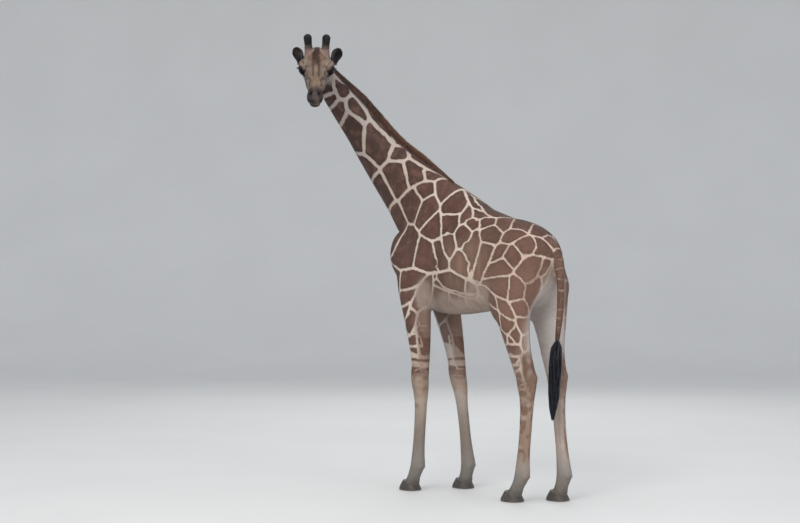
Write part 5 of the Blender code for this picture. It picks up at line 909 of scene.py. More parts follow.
    (0.0060, 0, [(-0.645, 0.219, 1.205), (-0.656, 0.224, 1.197), (-0.672, 0.230, 1.195), (-0.699, 0.239, 1.198), (-0.709, 0.239, 1.190), (-0.721, 0.240, 1.186), (-0.738, 0.240, 1.181), (-0.750, 0.240, 1.183), (-0.757, 0.240, 1.189), (-0.773, 0.233, 1.191), (-0.782, 0.227, 1.192), (-0.791, 0.224, 1.199)]),
    (0.0055, 0, [(-0.677, 0.214, 1.127), (-0.676, 0.212, 1.119), (-0.687, 0.215, 1.111), (-0.711, 0.226, 1.112), (-0.721, 0.227, 1.108), (-0.738, 0.229, 1.104), (-0.752, 0.231, 1.104), (-0.767, 0.231, 1.118), (-0.780, 0.226, 1.125), (-0.783, 0.224, 1.128), (-0.794, 0.219, 1.132)]),
    (0.0055, 0, [(-0.697, 0.211, 1.071), (-0.696, 0.208, 1.065), (-0.704, 0.211, 1.055), (-0.733, 0.223, 1.058), (-0.751, 0.226, 1.053), (-0.761, 0.227, 1.050), (-0.778, 0.227, 1.048), (-0.781, 0.226, 1.059), (-0.781, 0.226, 1.066), (-0.784, 0.225, 1.076), (-0.789, 0.223, 1.086), (-0.794, 0.220, 1.104), (-0.801, 0.219, 1.107)]),
    (0.0050, 0, [(-0.714, 0.209, 1.020), (-0.723, 0.212, 1.011), (-0.732, 0.215, 1.001), (-0.760, 0.224, 1.001), (-0.778, 0.226, 0.997), (-0.787, 0.226, 0.991), (-0.792, 0.226, 0.985), (-0.808, 0.225, 0.978), (-0.822, 0.224, 0.978), (-0.829, 0.222, 0.974), (-0.836, 0.220, 0.964)]),
    (0.0050, 0, [(-0.738, 0.206, 0.922), (-0.739, 0.208, 0.925), (-0.752, 0.216, 0.932), (-0.773, 0.222, 0.939), (-0.780, 0.224, 0.950), (-0.801, 0.225, 0.953), (-0.808, 0.224, 0.950), (-0.822, 0.223, 0.950), (-0.836, 0.219, 0.936), (-0.848, 0.215, 0.936), (-0.854, 0.210, 0.924)]),
    (0.0050, 0, [(-0.753, 0.206, 0.866), (-0.755, 0.207, 0.863), (-0.760, 0.209, 0.858), (-0.770, 0.213, 0.850), (-0.788, 0.216, 0.848), (-0.801, 0.216, 0.841), (-0.814, 0.215, 0.848), (-0.825, 0.214, 0.855), (-0.839, 0.210, 0.865), (-0.848, 0.204, 0.866), (-0.858, 0.198, 0.880)]),
    (0.0045, 0, [(-0.754, 0.199, 0.788), (-0.755, 0.200, 0.794), (-0.759, 0.202, 0.802), (-0.780, 0.212, 0.808), (-0.787, 0.213, 0.815), (-0.806, 0.213, 0.810), (-0.809, 0.212, 0.801), (-0.817, 0.210, 0.798), (-0.828, 0.206, 0.793), (-0.834, 0.202, 0.782)]),
    (0.0045, 0, [(-0.748, 0.209, 0.902), (-0.760, 0.214, 0.896), (-0.758, 0.212, 0.887), (-0.770, 0.214, 0.873), (-0.778, 0.216, 0.863), (-0.787, 0.216, 0.855), (-0.788, 0.215, 0.841), (-0.784, 0.214, 0.831), (-0.785, 0.213, 0.817), (-0.781, 0.212, 0.803), (-0.783, 0.211, 0.792), (-0.780, 0.210, 0.782), (-0.773, 0.207, 0.764)]),
    (0.0045, 0, [(-0.756, 0.198, 0.705), (-0.757, 0.199, 0.712), (-0.767, 0.204, 0.712), (-0.780, 0.207, 0.712), (-0.794, 0.208, 0.726), (-0.808, 0.206, 0.726)])]

def to_lines(P, side):
    """How far inside or outside the drawn lines a point is, in metres: below 0 on a line."""
    best = np.full(len(P), 0.2)
    for half, sd, pts in LINES:
        if sd != side:
            continue
        A = np.array([(w, -f, z) for f, w, z in pts])
        lo, hi = A.min(0) - 0.06, A.max(0) + 0.06
        m = np.argwhere(((P > lo) & (P < hi)).all(1)).ravel()
        if len(m) == 0:
            continue
        p = P[m]
        d = np.full(len(p), 0.2)
        for a, b in zip(A, A[1:]):
            ab = b - a
            t = np.clip(((p - a)@ab)/(ab@ab + 1e-12), 0, 1)
            d = np.minimum(d, np.linalg.norm(p - a - t[:, None]*ab, axis=1))
        best[m] = np.minimum(best[m], d - half)
    return best

def net_of(P, pl):
    """Distance inside a patch from the edge of its pale line, and the tone of the patch."""
    Q, M = mirrored(P, pl.N)
    Q = Q + 0.0055*noise_vec(P, 0.11, 1) + 0.0036*noise_vec(P, 0.032, 2)
    S, reach = np.stack([PATCHES[:, 1], -PATCHES[:, 0], PATCHES[:, 2]], 1), PATCHES[:, 3]
    tones = np.random.default_rng(3).uniform(-1, 1, len(S))
    dist = np.empty(len(P)); tone = np.empty(len(P))
    S2 = (S**2).sum(1) - reach
    for k in range(0, len(P), 20000):
        q = Q[k:k + 20000]
        d2 = (q**2).sum(1)[:, None] - 2*q@S.T + S2[None]
        idx = np.argpartition(d2, 8, axis=1)[:, :9]
        dd = np.take_along_axis(d2, idx, 1)
        o = np.argsort(dd, 1)
        idx, dd = np.take_along_axis(idx, o, 1), np.take_along_axis(dd, o, 1)
        a, m = S[idx[:, 0]], M[k:k + 20000]
        best = np.zeros(len(q))
        K = 0.005
        for j in range(1, 9):
            t = S[idx[:, j]] - a                       # the distance is measured along the skin
            t -= m*(t*m).sum(1)[:, None]
            sep = np.maximum(np.linalg.norm(t, axis=1), 0.02)
            best += np.exp(-(dd[:, j] - dd[:, 0])/(2*sep)/K)
        dist[k:k + 20000] = -K*np.log(best + 1e-30)
        tone[k:k + 20000] = tones[idx[:, 0]]
    drawn = to_lines(Q, 0)
    right = (P[:, 0] < -0.02) & (-P[:, 1] > -0.25) & (P[:, 2] < 1.62)
    own = to_lines(P, 1)
    drawn = np.where(right, own, drawn)
    dist = np.minimum(dist, drawn + line_half(pl))
    # the tail has rings of its own
    t = pl.z/0.078 + 0.25*noise(P, 0.05, 17)
    ring = 0.078*(0.5 - np.abs(t - np.floor(t) - 0.5))
    dist = np.where(pl.tail, ring, dist)
    return dist - line_half(pl), tone

def blob(q, c, r, soft=0.35):
    """1 inside an ellipsoid in the head's frame, easing to 0 outside."""
    d = np.sqrt((((q - np.asarray(c))/np.asarray(r))**2).sum(1))
    return step(1 + soft, 1 - soft, d)

def blend(a, b, t):
    return a*(1 - t)[:, None] + (b if np.ndim(b) == 2 else np.asarray(b)[None])*t[:, None]

def colours(P, N, pl):
    """The colour of the pale ground, of the patches, and how much of the patch colour shows."""
    f, w, z = pl.f, pl.w, pl.z
    n = len(P)
    fore = np.where((pl.leg == 0) | (pl.leg == 1), 1.0, 0.0)
    hind = np.where((pl.leg == 2) | (pl.leg == 3), 1.0, 0.0)
    low = np.clip(fore + hind, 0, 1)
    inner = inner_of_leg(pl)
    big, small = noise(P, 0.16, 29), noise(P, 0.05, 30)
    # pale ground
    ground = np.tile(lin(214, 198, 184), (n, 1))
    ground = blend(ground, lin(206, 184, 168), step(-0.05, -0.6, f)*0.8)
    # up the neck the pale lines turn greyer and darker: painted shade of the neck
    ground = blend(ground, lin(188, 172, 158), pl.neck*step(-0.05, 0.10, pl.neck_u)*0.8)
    ground = blend(ground, lin(172, 162, 155), pl.neck*step(0.30, 0.75, pl.neck_u))
    # the belly's pale ground is darker and mottled: its own duller colour, with painted shade of the underside
    belly = step(1.90, 1.66, z + 0.04*big)*step(-0.58, -0.36, f)*step(0.40, 0.24, f)*(z > 1.35)
    ground = blend(ground, lin(186, 167, 155), belly*0.92)
    ground = blend(ground, lin(160, 140, 126), 0.55*belly*step(0.15, 0.7, big))
    arm = np.exp(-1.3*(((f - 0.225)/0.13)**2 + ((z - 1.64)/0.22)**2) + 0.3*small)*step(0.05, 0.12, np.abs(w))
    ground = blend(ground, lin(162, 145, 134), 0.9*step(0.30, 0.85, arm))
    ground = blend(ground, lin(188, 178, 171), 0.92*inner*step(1.72, 1.5, z))
    groin = step(-0.40, -0.55, f)*step(1.95, 1.70, z)*step(0.17, 0.07, np.abs(w) - 0.08*step(1.9, 1.3, z))
    ground = blend(ground, lin(190, 181, 176), groin*(1 - pl.tail))
    # buttock: grey-brown between the last patches and the tail
    butt = step(-0.78, -0.86, f)*step(2.00, 1.88, z)*step(0.02, 0.06, np.abs(w))
    ground = blend(ground, lin(132, 108, 92), 0.7*butt*(1 - pl.tail)*(1 - groin))
    ground = blend(ground, lin(176, 158, 143), low*step(1.25, 0.95, z)*(1 - 0.5*inner))
    # brown on the forearm's hind edge is painted shade of the leg's back side; tan over the knees and down the hind
    # cannon, grey-brown at the feet
    back = step(0.2, 0.75, -np.cos(pl.leg_a))*low
    ground = blend(ground, lin(132, 108, 94), fore*back*0.75*step(1.02, 1.12, z)*step(1.60, 1.45, z))
    ground = blend(ground, lin(104, 70, 56), hind*back*0.85*step(0.10, 0.5, 0.6 + 0.6*small)*step(0.84, 0.94, z)*step(1.26, 1.12, z))
    ground = blend(ground, lin(150, 126, 108), low*0.65*step(0.5, 1.0, np.exp(-((z - 0.93)/0.15)**2)*1.2 + 0.25*small))
    ground = blend(ground, lin(146, 118, 100), hind*0.75*step(0.90, 0.60, z)*step(0.26, 0.40, z)*(1 - 0.6*inner)*step(-0.5, 0.4, small + 0.4))
    ground = blend(ground, lin(124, 94, 78), hind*0.85*(1 - inner)*step(0.05, 0.35, noise(P*np.array([1, 1, 0.55]), 0.021, 37))*step(0.95, 0.80, z)*step(0.24, 0.40, z))
    ground = blend(ground, lin(138, 126, 116), fore*step(0.85, 0.45, z + 0.05*big))
    ground = blend(ground, lin(140, 133, 126), low*step(0.46, 0.16, z + 0.05*big))
    ground = blend(ground, lin(124, 118, 111), low*step(0.26, 0.10, z + 0.02*small))
    ground = blend(ground, lin(92, 86, 80), low*step(0.13, 0.05, z + 0.015*small))
    mott = step(0.10, 0.55, noise(P*np.array([1, 1, 0.7]), 0.034, 39))*(1 - inner)
    ground = blend(ground, lin(122, 98, 84), fore*mott*0.55*step(1.12, 1.02, z)*step(0.45, 0.70, z))
    ground = blend(ground, lin(178, 160, 146), fore*0.5*step(0.20, 0.60, noise(P, 0.030, 44))*step(1.10, 1.02, z)*step(0.70, 0.85, z))
    # patches
    patch = np.tile(lin(94, 68, 59), (n, 1))
    patch = blend(patch, lin(80, 57, 49), pl.neck*step(-0.10, 0.08, pl.neck_u))
    patch = blend(patch, lin(70, 52, 46), pl.neck*step(0.20, 0.62, pl.neck_u))
    patch = blend(patch, lin(64, 46, 42), pl.neck*step(0.60, 0.95, pl.neck_u))
    patch = blend(patch, lin(104, 77, 65), step(0.10, -0.50, f)*(1 - pl.neck))
    patch = blend(patch, lin(124, 94, 80), step(1.95, 1.72, z)*step(-0.30, -0.50, f)*(1 - pl.neck))
    patch = blend(patch, lin(86, 58, 49), step(2.08, 2.26, z)*(1 - pl.neck)*0.6)
    patch = blend(patch, lin(112, 84, 71), low*step(1.45, 1.0, z))
    patch = blend(patch, lin(112, 84, 71), pl.tail*0.9)
    patch = blend(patch, lin(128, 104, 90), 0.8*belly)
    flank = step(0.02, -0.10, f)*step(-0.52, -0.40, f)*step(2.20, 1.95, z + 0.05*big)*(z > 1.3)
    streak = step(-0.2, 0.7, noise(P*np.array([1, 1, 0.22]), 0.035, 33))
    patch = blend(patch, lin(132, 107, 91), flank*(0.45 + 0.45*streak))
    patch = blend(patch, lin(122, 101, 88), 0.8*step(0.30, 0.80, arm))
    ground = blend(ground, lin(160, 140, 124), 0.45*flank*streak*step(1.95, 1.75, z))
    show = presence(pl)
    # the tail darkens to the tuft
    ground = blend(ground, lin(168, 142, 122), pl.tail*1.0)
    ground = blend(ground, lin(48, 42, 42), pl.tail*step(1.46, 1.28, z))
    patch = blend(patch, lin(44, 36, 38), pl.tail*step(1.46, 1.28, z))
    # along the crest the lines narrow into the brown of the mane's foot
    crest = pl.neck*step(0.050, 0.028, np.abs(pl.neck_x))*(pl.neck_y > 0)*step(0.10, 0.18, pl.neck_u)
    ground = blend(ground, patch, 0.95*crest)
    g2, face_on, gloss, p2 = face_colours(P, N, pl)
    ground = blend(ground, g2, face_on)
    show = show*(1 - face_on)
    return ground, patch, show, gloss

def face_colours(P, N, pl):
    q = pl.q.copy()
    h, l, u = q.T
    a = np.abs(l)
    sym = np.stack([h, a, u], 1)
    wob = 0.006*noise(P, 0.030, 51) + 0.003*noise(P, 0.012, 53)
    mott = noise(P, 0.035, 61)
    n = len(P)
    E = np.array(EYE)
    # the face's own brown, with all face colours darkened throughout as painted shade
    c = np.tile(lin(124, 109, 97), (n, 1))
    # jaw and throat paler and greyer
    c = blend(c, lin(146, 138, 131), step(-0.05, -0.11, u)*step(0.5, 0.40, h))
    c = blend(c, lin(112, 88, 74), 0.65*step(0.05, 0.45, mott)*step(-0.02, 0.05, h)*step(0.34, 0.25, h)*step(0.0, -0.04, u))
    # forehead red-brown up to the horns, parted by two pale lines from a darker stripe
    brow = step(0.092, 0.072, a + wob)*step(-0.06, 0.0, h)*step(0.300, 0.235, h + wob + 0.30*a)*step(0.02, 0.045, u)
    c = blend(c, lin(104, 76, 63), brow*0.92)
    c = blend(c, lin(92, 68, 58), step(-0.08, -0.02, h)*step(0.10, 0.04, h)*step(-0.01, 0.03, u)*0.8)
    c = blend(c, lin(120, 94, 86), 0.75*blob(sym + 0.5*wob[:, None], (0.160, 0.052, 0.125), (0.062, 0.015, 0.05), 0.7))
    c = blend(c, lin(84, 60, 50), 0.6*step(0.006, 0.002, np.abs(a - 0.070 + 0.10*(h - 0.16)) + 0.8*np.abs(wob))*step(0.08, 0.12, h)*step(0.26, 0.22, h)*(u > 0.03))
    stripe = step(0.044, 0.020, np.abs(l + 0.006) + 0.8*wob)*step(0.060, 0.100, h)*step(0.290, 0.240, h + wob)*(u > 0.03)
    c = blend(c, lin(50, 33, 26), stripe*0.92)
    fork = step(0.015, 0.006, np.abs(a - 0.024 + 0.03*(h - 0.31)) + wob*0.6)*step(0.235, 0.265, h)*step(0.405, 0.36, h + wob)*(u > 0.0)
    c = blend(c, lin(70, 48, 37), fork*0.72)
    # pale bands over the eyes and an ochre bridge with fine dark veins
    c = blend(c, lin(136, 122, 108), 0.7*blob(sym + 0.6*wob[:, None], (0.222, 0.088, 0.092), (0.046, 0.040, 0.016), 0.6))
    c = blend(c, lin(92, 72, 60), 0.5*blob(sym + wob[:, None], (0.262, 0.074, 0.078), (0.018, 0.040, 0.020), 0.5))
    c = blend(c, lin(126, 104, 82), 0.85*step(0.27, 0.33, h)*step(0.490, 0.45, h + wob)*step(0.060, 0.034, a)*(u > -0.02)*(1 - fork))
    flecks = step(0.25, 0.60, noise(P*np.array([1, 1, 0.6]), 0.016, 63))*step(0.33, 0.37, h)*step(0.49, 0.45, h)*step(0.075, 0.05, a)*(u > -0.04)
    c = blend(c, lin(78, 60, 44), 0.65*flecks)
    # below the eyes pale blue-grey, with a vein running down and in, then small brown spots
    c = blend(c, lin(132, 134, 134), 0.85*blob(sym, (0.345, 0.078, -0.010), (0.060, 0.030, 0.034), 0.5))
    vein = step(0.0085, 0.0035, np.abs(a - 0.082 + 0.30*(h - 0.30) - 0.012*np.sin(60*h)) + 0.5*np.abs(wob))*step(0.285, 0.305, h)*step(0.49, 0.46, h)*(u > -0.050)
    c = blend(c, lin(72, 54, 42), vein*0.85)
    for s, hh, ll, uu, r in ((1, 0.400, 0.062, -0.020, 0.011), (-1, 0.388, 0.060, -0.018, 0.013), (1, 0.345, 0.080, -0.060, 0.014), (-1, 0.335, 0.082, -0.055, 0.011),
                             (1, 0.425, 0.052, -0.070, 0.011), (-1, 0.430, 0.052, -0.065, 0.010), (1, 0.440, 0.048, -0.030, 0.010), (-1, 0.445, 0.048, -0.028, 0.009),
                             (1, 0.235, 0.092, -0.070, 0.018), (-1, 0.225, 0.092, -0.070, 0.020), (1, 0.175, 0.085, -0.100, 0.018), (-1, 0.170, 0.085, -0.095, 0.017),
                             (1, 0.140, 0.098, -0.045, 0.021), (-1, 0.135, 0.098, -0.040, 0.020)):
        c = blend(c, lin(66, 48, 38), 0.85*blob(q + wob[:, None], (hh, s*ll, uu), (r*1.3, r*1.6, r), 0.3))
    # a dark streak down the cheek behind the mouth: painted shade along the face's contour
    for s_, hh, ll, uu in ((1, 0.300, 0.086, -0.055), (-1, 0.290, 0.086, -0.060)):
        c = blend(c, lin(70, 54, 48), 0.8*blob(q + 0.7*wob[:, None], (hh, s_*ll, uu), (0.034, 0.034, 0.011), 0.5))
    # muzzle: dark round the nostrils and lips, grey chin
    muz = step(0.452, 0.500, h + wob)
    c = blend(c, lin(66, 54, 51), muz*0.92)
    c = blend(c, lin(28, 25, 26), muz*step(-0.010, -0.028, u)*0.88)
    c = blend(c, lin(58, 40, 36), 0.8*blob(sym, (0.520, 0.030, 0.018), (0.030, 0.026, 0.022), 0.5))
    c = blend(c, lin(18, 13, 13), 0.95*blob(sym, (0.550, 0.035, 0.002), (0.044, 0.023, 0.028)))
    c = blend(c, lin(30, 29, 31), step(-0.060, -0.080, u)*step(0.455, 0.50, h + wob))
    c = blend(c, lin(32, 27, 28), 0.85*blob(sym, (0.560, 0.030, -0.069), (0.075, 0.05, 0.006), 0.4)*step(0.45, 0.5, h))
    c = blend(c, lin(60, 54, 52), 0.4*blob(sym, (0.585, 0.0, -0.024), (0.030, 0.018, 0.012), 0.5))
    # dark rims and corners of the eyes, with a dark trail toward the nose: dark lids and skin, with painted shadow of
    # the socket round the eye
    c = blend(c, lin(30, 24, 26), 0.97*blob(sym + 0.4*wob[:, None], (E[0] + 0.010, E[1] + 0.016, E[2] + 0.004), (0.058, 0.044, 0.048), 0.20))
    c = blend(c, lin(9, 8, 11), 0.98*blob(sym, (E[0] + 0.008, E[1] + 0.016, E[2] + 0.003), (0.047, 0.040, 0.038), 0.15))
    c = blend(c, lin(28, 22, 24), 0.94*blob(sym, (E[0] + 0.060, E[1] - 0.010, E[2] - 0.018), (0.036, 0.026, 0.015), 0.35))
    # dark saddle between the ossicones, and their black tips
    c = blend(c, lin(66, 50, 44), 0.7*step(0.046, 0.024, a + wob)*blob(sym, (0.060, 0, 0.10), (0.030, 0.06, 0.03), 0.6))
    on = np.where(pl.oss_on, 1.0, 0.0)*step(0.062, 0.046, pl.oss_r)
    c = blend(c, lin(146, 122, 110), on*0.85*step(-0.05, 0.15, pl.oss_x))
    c = blend(c, lin(70, 60, 60), on*0.8*step(0.36, 0.52, pl.oss_x + wob*6))
    c = blend(c, lin(30, 30, 36), on*step(0.54, 0.74, pl.oss_x + wob*6)*0.97)
    # the short hair lies in streaks down the face, from the horns to the nose and back along the cheeks
    hairs = noise(np.stack([h*0.30, l, u], 1) + 2.0, 0.0105, 81)
    tufty = noise(np.stack([h*0.5, l, u], 1) + 5.0, 0.024, 82)
    c = c*(1 + (0.15*np.clip(hairs, -1.5, 1.5) + 0.12*np.clip(tufty, -1.5, 1.5))*step(0.53, 0.47, h))[:, None]
    # dark lines out of the inner corner of each eye, up the brow and down the nose
    for (h0, l0, u0), (h1, l1, u1), wd in (((0.290, 0.104, 0.040), (0.225, 0.062, 0.108), 0.0040), ((0.296, 0.100, 0.036), (0.372, 0.060, 0.030), 0.0045),
                                            ((0.300, 0.104, 0.018), (0.405, 0.070, -0.030), 0.0050), ((0.200, 0.118, 0.088), (0.250, 0.100, 0.094), 0.0035)):
        A, Bp = np.array([h0, l0, u0]), np.array([h1, l1, u1])
        t = np.clip(((sym - A)@(Bp - A))/((Bp - A)@(Bp - A)), 0, 1)
        near = np.linalg.norm(sym - A - t[:, None]*(Bp - A), axis=1) + 0.8*np.abs(wob) - 0.004
        c = blend(c, lin(62, 46, 38), 0.75*step(wd*2.6, wd, near)*(1 - 0.4*t))
    # ears: near black inside, dark hair with painted shadow in the cup, with grey hair along the inner margin; brown
    # behind
    e = np.where(pl.ear_on, 1.0, 0.0)*step(-0.16, -0.02, pl.ear_x)
    ec = np.tile(lin(28, 28, 33), (n, 1))
    ec = blend(ec, lin(92, 90, 90), 0.85*step(0.05, 0.5, pl.ear_face)*step(-0.1, 0.7, -pl.ear_y + 0.3*noise(P, 0.02, 71))*step(0.90, 0.6, pl.ear_x))
    ec = blend(ec, lin(70, 54, 46), 0.75*step(-0.1, -0.6, pl.ear_face)*step(0.95, 0.4, pl.ear_x))
    ec = blend(ec, lin(84, 70, 62), 0.75*step(0.14, -0.04, pl.ear_x))
    c = blend(c, ec, e)
    gloss = step(0.49, 0.545, h)*np.maximum(step(0.03, 0.06, -u), blob(sym, (0.556, 0.03, 0.0), (0.03, 0.025, 0.03)))*pl.head
    gloss = np.maximum(gloss, blob(sym, (E[0], E[1] + 0.012, E[2]), (0.028, 0.030, 0.021), 0.15)*0.9)
    face_on = np.clip(np.maximum(pl.head, e), 0, 1)
    return c, face_on, gloss, None

skin_d, skin_t = net_of(skin_v, place)
ground, patch, show, gloss = colours(skin_v, skin_n, place)
lap("colours")


# ================================================================ materials
class Mat:
    """A small hand for node materials."""
    def __init__(self, name, view=(0.5, 0.5, 0.5), rough=0.6, spec=0.5):
        self.m = bpy.data.materials.new(name)
        self.m.use_nodes = True
        self.m.diffuse_color = (*[float(x) for x in view], 1)
        self.t = self.m.node_tree
        self.b = self.t.nodes["Principled BSDF"]
        self.b.inputs["Roughness"].default_value = rough
        self.b.inputs["Specular IOR Level"].default_value = spec
        self.co = self.t.nodes.new("ShaderNodeNewGeometry").outputs["Position"]
    def link(self, a, b):
        self.t.links.new(a, b)
    def val(self, node, key, v):
        if hasattr(v, "is_linked") or hasattr(v, "links"):
            self.link(v, node.inputs[key])
        else:
            node.inputs[key].default_value = v
    def attr(self, name, out="Fac"):
        n = self.t.nodes.new("ShaderNodeAttribute")
        n.attribute_name = name
        return n.outputs[out]
    def noise(self, scale, detail=3.0, rough=0.55, vec=None, out="Fac", warp=0.0):
        n = self.t.nodes.new("ShaderNodeTexNoise")
        n.inputs["Scale"].default_value = scale
        n.inputs["Detail"].default_value = detail
        n.inputs["Roughness"].default_value = rough
        n.inputs["Distortion"].default_value = warp
        self.link(vec if vec is not None else self.co, n.inputs["Vector"])
        return n.outputs[out]
    def math(self, op, a, b=0.0, c=0.0, clamp=False):
        n = self.t.nodes.new("ShaderNodeMath")
        n.operation = op
        n.use_clamp = clamp
        for i, v in enumerate((a, b, c)):
            if op in ("MULTIPLY_ADD",) or i < 2:
                self.val(n, i, v)
        return n.outputs[0]
    def range(self, v, a, b, c=0.0, d=1.0, smooth=True):
        n = self.t.nodes.new("ShaderNodeMapRange")
        n.interpolation_type = "SMOOTHSTEP" if smooth else "LINEAR"
        self.val(n, "Value", v)
        for k, x in (("From Min", a), ("From Max", b), ("To Min", c), ("To Max", d)):
            n.inputs[k].default_value = x
        return n.outputs["Result"]
    def mix(self, fac, a, b, how="MIX"):
        n = self.t.nodes.new("ShaderNodeMix")
        n.data_type = "RGBA"
        n.blend_type = how
        self.val(n, "Factor", fac)
        for k, v in ((6, a), (7, b)):
            if isinstance(v, (tuple, list, np.ndarray)):
                n.inputs[k].default_value = (*[float(x) for x in v[:3]], 1)
            else:
                self.link(v, n.inputs[k])
        return n.outputs[2]
    def scale(self, vec, s):
        n = self.t.nodes.new("ShaderNodeVectorMath")
        n.operation = "MULTIPLY"
        self.link(vec, n.inputs[0])
        n.inputs[1].default_value = s
        return n.outputs[0]
    def shade(self, colour, by):
        """Lightens or darkens a colour by a number round 1."""
        n = self.t.nodes.new("ShaderNodeVectorMath")
        n.operation = "SCALE"
        self.link(colour, n.inputs[0])
        self.val(n, "Scale", by)
        return n.outputs[0]
    def bump(self, height, strength=0.3, dist=0.001, after=None):
        n = self.t.nodes.new("ShaderNodeBump")
        n.inputs["Strength"].default_value = strength
        n.inputs["Distance"].default_value = dist
        self.link(height, n.inputs["Height"])
        if after is not None:
            self.link(after, n.inputs["Normal"])
        return n.outputs["Normal"]
    def done(self, colour=None, rough=None, normal=None):
        if colour is not None:
            self.link(colour, self.b.inputs["Base Color"])
        if rough is not None:
            self.link(rough, self.b.inputs["Roughness"])
        if normal is not None:
            self.link(normal, self.b.inputs["Normal"])
        return self.m

def coat_colour(m, strand=None):
    """Ground and patch colours, parted at the net's edge, with the coat's own unevenness."""
    ground, patch = m.attr("ground", "Color"), m.attr("patch", "Color")
    edge = m.attr("net")
    fine = m.noise(420.0, 2.0)
    mid = m.noise(95.0, 3.0)
    e = m.math("ADD", edge, m.math("MULTIPLY", m.math("SUBTRACT", mid, 0.5), 0.012))
    e = m.math("ADD", e, m.math("MULTIPLY", m.math("SUBTRACT", fine, 0.5), 0.006))
    on = m.math("MULTIPLY", m.range(e, -0.0016, 0.0020), m.attr("show"))
    # a patch is darker toward its edge and a little lighter or redder in the middle
    tone = m.attr("tone")
    inside = m.range(edge, 0.004, 0.040)
    p = m.shade(patch, m.math("ADD", m.math("MULTIPLY_ADD", tone, 0.15, 0.90), m.math("MULTIPLY", inside, 0.14)))
    cloud = m.noise(14.0, 4.0, 0.6)
    p = m.mix(m.range(cloud, 0.42, 0.72, 0.0, 0.34), p, tuple(lin(142, 104, 92)), "MIX")
    g = m.mix(m.range(m.noise(9.0, 3.0, 0.6), 0.45, 0.75, 0.0, 0.22), ground, tuple(lin(164, 138, 118)))
    col = m.mix(on, g, p)
    vary = m.math("MULTIPLY_ADD", m.noise(260.0, 3.0, 0.7), 0.34, 0.83)
    if strand is not None:
        vary = m.math("MULTIPLY", vary, m.math("MULTIPLY_ADD", strand, 0.42, 0.80))
    return m.shade(col, vary), on

def skin_material():
    m = Mat("reticulated_coat", lin(120, 92, 80), 0.78, 0.25)
    col, on = coat_colour(m)
    gloss = m.attr("gloss")
    hair = m.noise(900.0, 2.0, 0.6)
    pore = m.noise(300.0, 3.0, 0.6)
    lump = m.noise(30.0, 3.0)
    n = m.bump(lump, 0.35, 0.0020)
    n = m.bump(pore, 0.45, 0.0012, n)
    n = m.bump(hair, 0.5, 0.0005, n)
    m.b.inputs["Sheen Weight"].default_value = 0.08
    m.b.inputs["Sheen Roughness"].default_value = 0.5
    m.b.inputs["Sheen Tint"].default_value = (0.9, 0.82, 0.74, 1)
    rough = m.math("SUBTRACT", m.math("MULTIPLY_ADD", hair, 0.12, 0.74), m.math("MULTIPLY", gloss, 0.34))
    return m.done(col, rough, n)

def coat_material():
    m = Mat("reticulated_coat_hair", lin(120, 92, 80), 0.62, 0.20)
    col, on = coat_colour(m, m.attr("strand"))
    tip = m.attr("tip")
    col = m.shade(col, m.math("MULTIPLY_ADD", tip, 0.20, 0.92))
    rough = m.math("MULTIPLY_ADD", m.attr("strand"), 0.18, 0.52)
    m.b.inputs["Sheen Weight"].default_value = 0.06
    return m.done(col, rough, m.bump(m.noise(1400.0, 1.0), 0.3, 0.0003))

SKIN_MAT = skin_material()
COAT_MAT = coat_material()
def dress(ob, v, n, pl, d, t, g, p, s, gl):
    put(ob, "ground", g); put(ob, "patch", p); put(ob, "net", d); put(ob, "tone", t); put(ob, "show", s); put(ob, "gloss", gl)

skin = mesh_piece("giraffe_skin", skin_v, skin_f, SKIN_MAT)
dress(skin, skin_v, skin_n, place, skin_d, skin_t, ground, patch, show, gloss)
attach(skin, "root")
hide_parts("trunk", "neck", "head", "ear_left", "ear_right", "ossicone_left", "ossicone_right", "tail",
            "foreleg_left", "foreleg_right", "hindleg_left", "hindleg_right")
lap("skin made")


# ================================================================ strands
def ribbons(pts, wide, half):
    """Flat tapering strands: points (n, s, 3) from root to tip, unit vectors across, and half widths (n, s - 1)."""
    n, s = pts.shape[:2]
    if wide.ndim == 2:
        wide = np.repeat(wide[:, None], s, 1)
    body = np.stack([pts[:, :-1] - wide[:, :-1]*half[..., None], pts[:, :-1] + wide[:, :-1]*half[..., None]], 2).reshape(n, 2*(s - 1), 3)
    verts = np.concatenate([body, pts[:, -1:]], 1)
    m = 2*(s - 1) + 1
    tri = []
    for k in range(s - 2):
        a = 2*k
        tri += [(a, a + 1, a + 3), (a, a + 3, a + 2)]
    a = 2*(s - 2)
    tri.append((a, a + 1, a + 2))
    tri = np.array(tri)
    faces = (np.arange(n)[:, None, None]*m + tri[None]).reshape(-1, 3)
    return verts.reshape(-1, 3), faces, m, len(tri)

def across(axis, up):
    a = np.cross(axis, up)
    return a/(np.linalg.norm(a, axis=1)[:, None] + 1e-9)

def strand_piece(name, pts, wide, half, mat, uv, attrs=(), replaces=()):
    """Strands as one object, with a small patch of the OFBake map for each at its root's place."""
    v, f, m, tris = ribbons(pts, wide, half)
    ob = mesh_piece(name, v, f, mat)
    n, s = pts.shape[:2]
    t = np.concatenate([np.repeat(np.linspace(0, 1, s)[:-1], 2), [1.0]])
    side = np.concatenate([np.tile([-1.0, 1.0], s - 1), [0.0]])
    put(ob, "tip", np.tile(t, n))
    rng = np.random.default_rng(len(v))
    put(ob, "strand", np.repeat(rng.uniform(0, 1, n), m))
    for key, vals in attrs:
        put(ob, key, np.repeat(vals, m, axis=0))
    spot = uv[:, None, :]*0.992 + 0.004 + np.stack([side*0.0015, (t - 0.5)*0.003], -1)[None]
    spot = np.clip(spot, 0.0005, 0.9995).reshape(-1, 2)
    layer = ob.data.uv_layers.new(name="OFBake")
    layer.data.foreach_set("uv", spot[f.ravel()].astype(np.float32).ravel())
    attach(ob, "root")
    if replaces:
        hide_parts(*replaces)
    return ob

